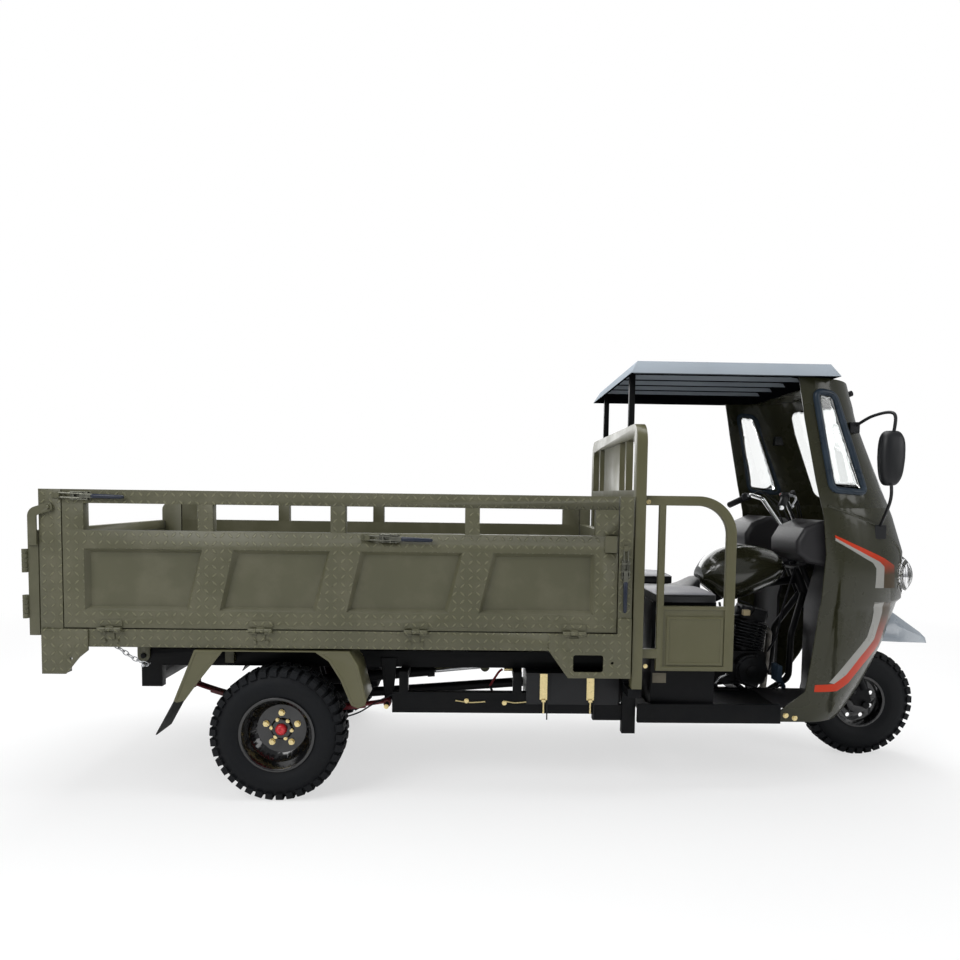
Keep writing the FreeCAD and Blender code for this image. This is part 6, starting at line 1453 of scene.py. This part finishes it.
class TRICYCLE_OT_mirrors(bpy.types.Operator):
    """The mirrors' rounded housings, glasses, arms and feet, and the wiper."""

    bl_idname = "tricycle.mirrors"
    bl_label = "Mirrors and wiper"

    MIDDLE = (1.600, 1.510)
    HALF = (0.055, 0.120)
    DEPTH = ((0.590, 0.94), (0.593, 1.0), (0.612, 0.99), (0.628, 0.90), (0.637, 0.70), (0.641, 0.35))
    STEPS = 40
    SQUARENESS = 3.4
    FOOT_NARROWING = 0.16
    ARMS = {
        "high": ((1.515, 0.425, 1.655), (1.555, 0.530, 1.700), (1.600, 0.615, 1.700), (1.600, 0.615, 1.600)),
        "low": ((1.600, 0.615, 1.420), (1.600, 0.615, 1.325), (1.645, 0.452, 1.196)),
    }
    ARM_RADIUS = 0.007
    FEET = (((1.492, 0.395, 1.630), (1.538, 0.452, 1.680)), ((1.612, 0.425, 1.150), (1.668, 0.476, 1.215)))
    GLASS_SHARE = 0.90
    GLASS_FACE = 0.589
    WIPER_TOP = (-0.185, 1.835)
    WIPER_RADIUS = 0.0045

    def execute(self, context):
        for side, name in SIDES:
            housing = solid(
                "mirror_housing_" + name, "black", "chassis", lambda shape: self.housing(shape, side), True
            )
            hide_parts("mirrors")
            for label, arm in self.ARMS.items():
                points = [Vector((x, side * y, z)) for x, y, z in arm]
                tube("mirror_arm_" + label + "_" + name, points, self.ARM_RADIUS, "black", "chassis", 8)
            solid("mirror_feet_" + name, "black", "chassis", lambda shape: self.feet(shape, side))
            solid("mirror_glass_" + name, "mirror", "chassis", lambda shape: self.glass(shape, side))
        self.wiper(node_surface("windscreen", "window_frame"))
        return {"FINISHED"}

    def outline(self, share, y):
        """The housing's outline at a Y: a tall rounded square, narrower towards its foot."""
        points = []
        for step in range(self.STEPS):
            angle = math.tau * step / self.STEPS
            power = 2.0 / self.SQUARENESS
            across = math.copysign(abs(math.cos(angle)) ** power, math.cos(angle))
            up = math.copysign(abs(math.sin(angle)) ** power, math.sin(angle))
            across *= 1.0 - self.FOOT_NARROWING * max(0.0, -up)
            x = self.MIDDLE[0] + self.HALF[0] * across * share
            points.append(Vector((x, y, self.MIDDLE[1] + self.HALF[1] * up * share)))
        return points

    def housing(self, shape, side):
        rings = []
        for y, share in self.DEPTH:
            rings.append([shape.verts.new(point) for point in self.outline(share, side * y)])
        skin(shape, rings)

    def glass(self, shape, side):
        outline = self.outline(self.GLASS_SHARE, side * self.GLASS_FACE)
        shape.faces.new([shape.verts.new(point) for point in outline])
        bmesh.ops.solidify(shape, geom=shape.faces[:], thickness=0.0015)

    def feet(self, shape, side):
        for low, high in self.FEET:
            near, far = sorted((side * low[1], side * high[1]))
            add_block(shape, (low[0], near, low[2]), (high[0], far, high[2]), 0.004)

    def wiper(self, surface):
        """A wiper's pivot, arm and blade on the windscreen's outside."""

        def on_nose(y, z, lift):
            hit, normal, _, _ = surface.ray_cast(Vector((3.0, y, z)), Vector((-1.0, 0.0, 0.0)))
            return hit + (normal if normal.x > 0.0 else -normal) * lift

        blade = [on_nose(-0.17 + 0.02 * step, 1.80 - 0.055 * step, 0.006) for step in range(7)]
        tube("wiper_blade", blade, self.WIPER_RADIUS, "cable", "chassis")
        arm = [on_nose(*self.WIPER_TOP, 0.012), on_nose(-0.16, 1.76, 0.020), on_nose(-0.11, 1.64, 0.012)]
        tube("wiper_arm", arm, self.WIPER_RADIUS, "cable", "chassis")
        foot = on_nose(*self.WIPER_TOP, 0.010)
        tip = foot + Vector((0.022, 0.0, 0.008))
        solid("wiper_pivot", "cable", "chassis", lambda shape: add_rod(shape, foot, tip, 0.014), True)


# Controls and engine trim


class TRICYCLE_OT_controls(bpy.types.Operator):
    """Levers, switch blocks and cables of the handlebar."""

    bl_idname = "tricycle.controls"
    bl_label = "Controls"

    BAR_TURN = (1.300, 0.230, 1.345)
    BAR_END = (1.225, 0.370, 1.285)
    AHEAD = (0.86, 0.45, 0.10)
    PERCH = 0.014
    BLOCK = 0.030
    LEVER = ((0.030, 0.0), (0.048, 0.025), (0.052, 0.075), (0.046, 0.125), (0.050, 0.150))
    LEVER_RADIUS = 0.0048
    CABLES = {"right": (("brake", 0.0), ("throttle", 0.022)), "left": (("brake", 0.0), ("clutch", 0.022))}
    BUTTONS = {"right": "hub", "left": "handle"}

    def execute(self, context):
        radius = context.scene.tricycle_trim.cable
        for side, name in SIDES:
            parts = (self.BAR_TURN, self.BAR_END, self.AHEAD)
            turn, end, ahead = (Vector((x, side * y, z)) for x, y, z in parts)
            axis = (end - turn).normalized()
            ahead.normalize()
            perch = turn + axis * self.PERCH
            block = turn + axis * self.BLOCK
            solid("switch_block_" + name, "black", "steering", lambda shape: self.block(shape, block, axis))
            mount = "lever_perch_" + name
            solid(mount, "steel", "steering", lambda shape: self.perch(shape, perch, ahead), True)
            lever = [perch + ahead * out + axis * along for out, along in self.LEVER]
            tube("lever_" + name, lever, self.LEVER_RADIUS, "steel", "steering")
            finish = self.BUTTONS[name]
            solid("switch_button_" + name, finish, "steering", lambda shape: self.button(shape, block), True)
            for label, drift in self.CABLES[name]:
                path = [
                    perch + ahead * 0.022,
                    perch + Vector((0.055, -side * (0.03 + drift), 0.024)),
                    Vector((1.400 + drift, side * (0.135 - drift), 1.285)),
                    Vector((1.445 + drift, side * (0.085 - drift), 1.150)),
                    Vector((1.462, side * (0.052 - drift), 1.040)),
                ]
                tube("cable_" + label + "_" + name, path, radius, "cable", "steering")
        return {"FINISHED"}

    @staticmethod
    def block(shape, middle, axis):
        turned = axis.to_track_quat("Z", "Y").to_matrix().to_4x4()
        add_block(shape, (-0.021, -0.019, -0.016), (0.021, 0.019, 0.020), 0.005, turned)
        bmesh.ops.translate(shape, verts=shape.verts, vec=middle)

    @staticmethod
    def button(shape, block):
        add_rod(shape, block + Vector((-0.014, 0.0, 0.012)), block + Vector((-0.024, 0.0, 0.012)), 0.006)

    @staticmethod
    def perch(shape, place, ahead):
        add_rod(shape, place - ahead * 0.014, place + ahead * 0.034, 0.009, 14, 0.006)


class TRICYCLE_OT_engine_trim(bpy.types.Operator):
    """Hoses, leads, connector, pedal cable and shift lever round the engine."""

    bl_idname = "tricycle.engine_trim"
    bl_label = "Engine trim"

    LOOM = (
        (1.395, -0.150, 0.985),
        (1.345, -0.185, 0.860),
        (1.318, -0.190, 0.760),
        (1.300, -0.180, 0.640),
        (1.270, -0.150, 0.560),
    )
    SPARK_LEAD = (
        (1.215, -0.060, 0.730),
        (1.205, -0.130, 0.775),
        (1.165, -0.150, 0.800),
        (1.120, -0.120, 0.815),
    )
    BREATHER = (
        (1.030, -0.120, 0.800),
        (1.030, -0.160, 0.745),
        (1.055, -0.165, 0.680),
        (1.110, -0.160, 0.655),
        (1.180, -0.150, 0.640),
    )
    FUEL_HOSE = (
        (1.100, -0.060, 0.830),
        (1.085, -0.100, 0.760),
        (1.080, -0.110, 0.700),
        (1.070, -0.090, 0.640),
    )
    SHIFT_LEVER = (
        (1.062, -0.140, 0.446),
        (1.060, -0.178, 0.447),
        (1.025, -0.186, 0.434),
        (0.992, -0.190, 0.400),
    )
    SHIFT_PEG = ((0.992, -0.178, 0.398), (0.992, -0.222, 0.398), 0.010)
    CONNECTOR = ((1.137, -0.168, 0.742), (1.172, -0.140, 0.770), 0.003)
    PEDAL_CABLE = (
        (1.335, -0.190, 0.400),
        (1.250, -0.190, 0.372),
        (1.120, -0.200, 0.408),
        (0.980, -0.210, 0.402),
        (0.900, -0.215, 0.392),
    )

    def execute(self, context):
        cable = context.scene.tricycle_trim.cable
        for name, path, radius in (
            ("wiring_loom", self.LOOM, 0.0055),
            ("spark_lead", self.SPARK_LEAD, cable),
            ("breather_hose", self.BREATHER, 0.006),
            ("fuel_hose", self.FUEL_HOSE, 0.0045),
        ):
            tube(name, path, radius, "cable", "chassis")
        solid("wire_connector", "cream", "chassis", lambda shape: add_block(shape, *self.CONNECTOR))
        tube("shift_lever", self.SHIFT_LEVER, 0.0065, "chrome", "chassis")
        solid("shift_peg", "grip", "chassis", lambda shape: add_rod(shape, *self.SHIFT_PEG), True)
        tube("pedal_cable", self.PEDAL_CABLE, cable, "cable", "chassis")
        return {"FINISHED"}


class TRICYCLE_OT_underbody(bpy.types.Operator):
    """Straps of the tool box, hydraulic fitting and hoses, grease pipes, brake cables and the blank plate."""

    bl_idname = "tricycle.underbody"
    bl_label = "Underbody trim"

    STRAPS = {"rear": 0.113, "front": 0.325}
    STRAP_HALF = 0.017
    STRAP_Z = (0.404, 0.5245)
    FITTING = (
        ((-0.063, -0.398, 0.5165), (-0.020, -0.398, 0.5165), 0.0085, 20),
        ((-0.022, -0.398, 0.5165), (-0.006, -0.398, 0.5165), 0.0115, 6),
        ((-0.008, -0.398, 0.5165), (0.020, -0.398, 0.5165), 0.0065, 20),
    )
    HOSE_RADIUS = 0.0055
    RETURN_HOSE = ((-0.070, -0.398, 0.5165), (-0.090, -0.402, 0.500), (-0.128, -0.410, 0.440))
    FEED_HOSE = (
        (-0.128, -0.410, 0.440),
        (-0.110, -0.418, 0.410),
        (-0.060, -0.425, 0.388),
        (0.000, -0.430, 0.381),
        (0.036, -0.430, 0.386),
    )
    PIPE_FACE = -0.5035
    PIPE_RADIUS = 0.0035
    PIPES = {"rear": (-0.285, -0.150), "front": (-0.068, 0.036)}
    BRAKE_CABLE = (
        (-0.562, 0.500, 0.425),
        (-0.647, 0.528, 0.387),
        (-0.722, 0.552, 0.348),
        (-0.830, 0.560, 0.322),
        (-0.930, 0.556, 0.318),
    )
    PLATE = ((0.604, -0.5195, 0.489), (0.666, -0.5175, 0.534), 0.0005)
    RAIL_FACE = 0.5015
    HANGER_BOLT = (-0.597, 0.365)
    RAIL_BOLTS = ((-0.063, 0.386), (-0.235, 0.394))

    def execute(self, context):
        cable = context.scene.tricycle_trim.cable
        low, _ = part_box("tool_box")
        for label, x in self.STRAPS.items():
            solid("box_strap_" + label, "gold", "chassis", lambda shape: self.strap(shape, x, low.y))
        solid("hose_fitting", "gold", "chassis", self.fitting)
        tube("return_hose", self.RETURN_HOSE, self.HOSE_RADIUS, "hose_red", "chassis")
        tube("feed_hose", self.FEED_HOSE, self.HOSE_RADIUS, "cable", "chassis")
        face = self.PIPE_FACE
        for label, (start, stop) in self.PIPES.items():
            pipe = ((start, face, 0.396), ((start + stop) / 2.0, face, 0.388), (stop, face, 0.392))
            tube("grease_pipe_" + label, pipe, self.PIPE_RADIUS, "gold", "chassis")
        for side, name in SIDES:
            run = [(x, side * y, z) for x, y, z in self.BRAKE_CABLE]
            tube("brake_cable_" + name, run, cable, "cable", "chassis")
        solid("blank_plate", "plate", "chassis", lambda shape: add_block(shape, *self.PLATE))
        spots = [(*self.HANGER_BOLT, side) for side, _ in SIDES] + [(*spot, -1.0) for spot in self.RAIL_BOLTS]
        places = [((x, side * self.RAIL_FACE, z), (0.0, side, 0.0)) for x, z, side in spots]
        place_bolts("rail_bolts", "chassis", places, "gold", 0.009, 0.007, 0.011)
        return {"FINISHED"}

    def strap(self, shape, x, face):
        """A strap down the box's face, with its clamp bolt below and the bolt's nut."""
        foot, top = self.STRAP_Z
        half = self.STRAP_HALF
        add_block(shape, (x - half, face - 0.004, foot), (x + half, face, top), 0.001)
        add_rod(shape, (x, face - 0.004, foot - 0.060), (x, face - 0.004, foot + 0.006), 0.0042, 12)
        low = (x - 0.009, face - 0.011, foot - 0.008)
        high = (x + 0.009, face - 0.001, foot + 0.004)
        add_block(shape, low, high, 0.001)

    def fitting(self, shape):
        for start, end, radius, sides in self.FITTING:
            add_rod(shape, start, end, radius, sides)


class TRICYCLE_OT_body_bolts(bpy.types.Operator):
    """Bolts of the bed's plates and hinges, the cab shell's foot and the side guard."""

    bl_idname = "tricycle.body_bolts"
    bl_label = "Body bolts"

    BED_FACE = 0.6515
    BED_PLACES = ((-1.975, 0.688), (-1.965, 0.600), (0.180, 0.700), (0.345, 0.700), (0.455, 0.700))
    HINGES = (-1.748, -1.113, -0.453, 0.227)
    HINGE_HALF = 0.027
    HINGE_BOLT_Z = 0.684
    SHELL_PLACES = ((1.2252, 0.3383), (1.268, 0.326))
    GUARD_FACE = -0.6115
    GUARD_PLACES = ((0.545, 1.306), (0.549, 0.586))

    def execute(self, context):
        bolt = context.scene.tricycle_trim.bolt
        spots = list(self.BED_PLACES)
        for hinge in self.HINGES:
            spots.append((hinge - self.HINGE_HALF, self.HINGE_BOLT_Z))
            spots.append((hinge + self.HINGE_HALF, self.HINGE_BOLT_Z))
        bed = [((x, side * self.BED_FACE, z), (0.0, side, 0.0)) for side, _ in SIDES for x, z in spots]
        place_bolts("bed_bolts", "bed", bed, "bed", bolt * 0.8, 0.006, bolt)
        shell = node_surface("cab_cowl")
        places = []
        for side, _ in SIDES:
            for x, z in self.SHELL_PLACES:
                places.append((on_shell(shell, x, z, side, 0.0), (0.0, side, 0.0)))
        place_bolts("shell_bolts", "chassis", places, "gold", bolt, 0.006, bolt * 1.3)
        guard = [((x, self.GUARD_FACE, z), (0.0, -1.0, 0.0)) for x, z in self.GUARD_PLACES]
        place_bolts("guard_bolts", "chassis", guard, "gold", bolt * 0.8, 0.005, bolt)
        return {"FINISHED"}


# Stage


class TRICYCLE_OT_stage(bpy.types.Operator):
    """Pale floor, backdrop light, soft lamps and the photograph's camera."""

    bl_idname = "tricycle.stage"
    bl_label = "Stage"

    FLOOR = 60.0
    SENSOR = 36.0
    LAMPS = {
        "key_lamp": ((-4.5, -4.5, 5.0), (-0.4, 0.0, 0.7), 4.0, 290.0),
        "fill_lamp": ((5.5, -3.5, 3.0), (0.8, 0.0, 0.9), 3.0, 90.0),
        "top_lamp": ((0.0, 1.0, 6.0), (0.0, 0.0, 0.8), 6.0, 420.0),
        "rear_lamp": ((0.5, 5.0, 3.5), (0.0, 0.0, 0.9), 4.0, 140.0),
    }

    def execute(self, context):
        self.floor()
        self.world(context.scene)
        self.lamps()
        self.camera(context.scene)
        context.scene.view_settings.view_transform = "Standard"
        return {"FINISHED"}

    @staticmethod
    def backdrop(tree, surface, output, shade):
        """Shows white to the camera and through glass."""
        path = tree.nodes.new("ShaderNodeLightPath")
        seen = tree.nodes.new("ShaderNodeMath")
        seen.operation = "MAXIMUM"
        tree.links.new(path.outputs["Is Camera Ray"], seen.inputs[0])
        tree.links.new(path.outputs["Is Transmission Ray"], seen.inputs[1])
        mix = tree.nodes.new("ShaderNodeMixShader")
        tree.links.new(seen.outputs[0], mix.inputs[0])
        tree.links.new(surface, mix.inputs[1])
        tree.links.new(shade, mix.inputs[2])
        tree.links.new(mix.outputs[0], output)

    def floor(self):
        shading = Shading("stage_floor")
        cloud = shading.noise(0.6, 2.0)
        shading.colour(shading.mix(shading.spread(cloud, 0.0, 1.0), (0.80, 0.80, 0.80), (0.82, 0.82, 0.82)))
        shading.rough(0.9)
        self.brighten(shading)
        mesh = bpy.data.meshes.new("stage_floor")
        reach = self.FLOOR
        corners = [(-reach, -reach, 0), (reach, -reach, 0), (reach, reach, 0), (-reach, reach, 0)]
        mesh.from_pydata(corners, [], [(0, 1, 2, 3)])
        mesh.materials.append(shading.material)
        floor = bpy.data.objects.new("stage_floor", mesh)
        bpy.context.scene.collection.objects.link(floor)

    @staticmethod
    def brighten(shading):
        """Mixes white into what the camera sees of the floor, wholly so far from the object."""
        away = shading.add("ShaderNodeVectorMath", operation="LENGTH")
        shading.link(shading.place, away.inputs[0])
        share = shading.spread(away.outputs["Value"], 0.62, 1.0, 2.6, 6.5)
        path = shading.add("ShaderNodeLightPath")
        seen = shading.math("MULTIPLY", share, path.outputs["Is Camera Ray"])
        white = shading.add("ShaderNodeEmission")
        mix = shading.add("ShaderNodeMixShader")
        shading.link(seen, mix.inputs[0])
        shading.link(shading.shader.outputs[0], mix.inputs[1])
        shading.link(white.outputs[0], mix.inputs[2])
        shading.link(mix.outputs[0], shading.tree.nodes["Material Output"].inputs["Surface"])

    def world(self, scene):
        world = bpy.data.worlds.new("stage_world")
        scene.world = world
        world.use_nodes = True
        tree = world.node_tree
        light = tree.nodes["Background"]
        light.inputs["Color"].default_value = (0.95, 0.97, 1.0, 1.0)
        light.inputs["Strength"].default_value = 0.34
        white = tree.nodes.new("ShaderNodeBackground")
        white.inputs["Color"].default_value = (1.0, 1.0, 1.0, 1.0)
        output = tree.nodes["World Output"].inputs["Surface"]
        self.backdrop(tree, light.outputs[0], output, white.outputs[0])

    def lamps(self):
        for name, (place, aim, size, power) in self.LAMPS.items():
            data = bpy.data.lights.new(name, "AREA")
            data.shape = "SQUARE"
            data.size = size
            data.energy = power
            lamp = bpy.data.objects.new(name, data)
            bpy.context.scene.collection.objects.link(lamp)
            lamp.location = place
            lamp.rotation_euler = (Vector(aim) - Vector(place)).to_track_quat("-Z", "Y").to_euler()

    def camera(self, scene):
        sizes = scene.tricycle_stage
        data = bpy.data.cameras.new("photo_camera")
        camera = bpy.data.objects.new("photo_camera", data)
        scene.collection.objects.link(camera)
        yaw, pitch, roll = sizes.yaw, sizes.pitch, sizes.roll
        ahead = Vector((math.sin(yaw) * math.cos(pitch), math.cos(yaw) * math.cos(pitch), math.sin(pitch)))
        level = Vector((math.cos(yaw), -math.sin(yaw), 0.0))
        above = level.cross(ahead)
        right = level * math.cos(roll) + above * math.sin(roll)
        up = above * math.cos(roll) - level * math.sin(roll)
        turn = Matrix((right, up, -ahead)).transposed()
        camera.matrix_world = Matrix.Translation(Vector(sizes.camera)) @ turn.to_4x4()
        width = sizes.photo_width
        data.sensor_width = self.SENSOR
        data.lens = sizes.focal / width * data.sensor_width
        data.shift_x = (width / 2.0 - sizes.centre_x) / width
        data.shift_y = (sizes.centre_y - width / 2.0) / width
        data.clip_end = 200.0
        scene.camera = camera


OPERATORS = (
    TRICYCLE_OT_finishes,
    TRICYCLE_OT_tyres,
    TRICYCLE_OT_wheel_trim,
    TRICYCLE_OT_seats,
    TRICYCLE_OT_seals,
    TRICYCLE_OT_stripes,
    TRICYCLE_OT_latches,
    TRICYCLE_OT_chain,
    TRICYCLE_OT_mirrors,
    TRICYCLE_OT_controls,
    TRICYCLE_OT_engine_trim,
    TRICYCLE_OT_underbody,
    TRICYCLE_OT_body_bolts,
    TRICYCLE_OT_stage,
)


class TRICYCLE_PT_panel(bpy.types.Panel):
    """Lists the pieces of the tricycle."""

    bl_idname = "TRICYCLE_PT_panel"
    bl_label = "Cargo tricycle"
    bl_space_type = "VIEW_3D"
    bl_region_type = "UI"
    bl_category = "Tricycle"

    def draw(self, context):
        for operator in OPERATORS:
            self.layout.operator(operator.bl_idname)


def register():
    for group in GROUPS.values():
        bpy.utils.register_class(group)
    for name, group in GROUPS.items():
        setattr(bpy.types.Scene, name, bpy.props.PointerProperty(type=group))
    for operator in OPERATORS:
        bpy.utils.register_class(operator)
    bpy.utils.register_class(TRICYCLE_PT_panel)


def unregister():
    bpy.utils.unregister_class(TRICYCLE_PT_panel)
    for operator in reversed(OPERATORS):
        bpy.utils.unregister_class(operator)
    for name in GROUPS:
        delattr(bpy.types.Scene, name)
    for group in reversed(list(GROUPS.values())):
        bpy.utils.unregister_class(group)


def main():
    register()
    for operator in OPERATORS:
        group, name = operator.bl_idname.split(".")
        getattr(getattr(bpy.ops, group), name)()


if __name__ == "__main__":
    main()
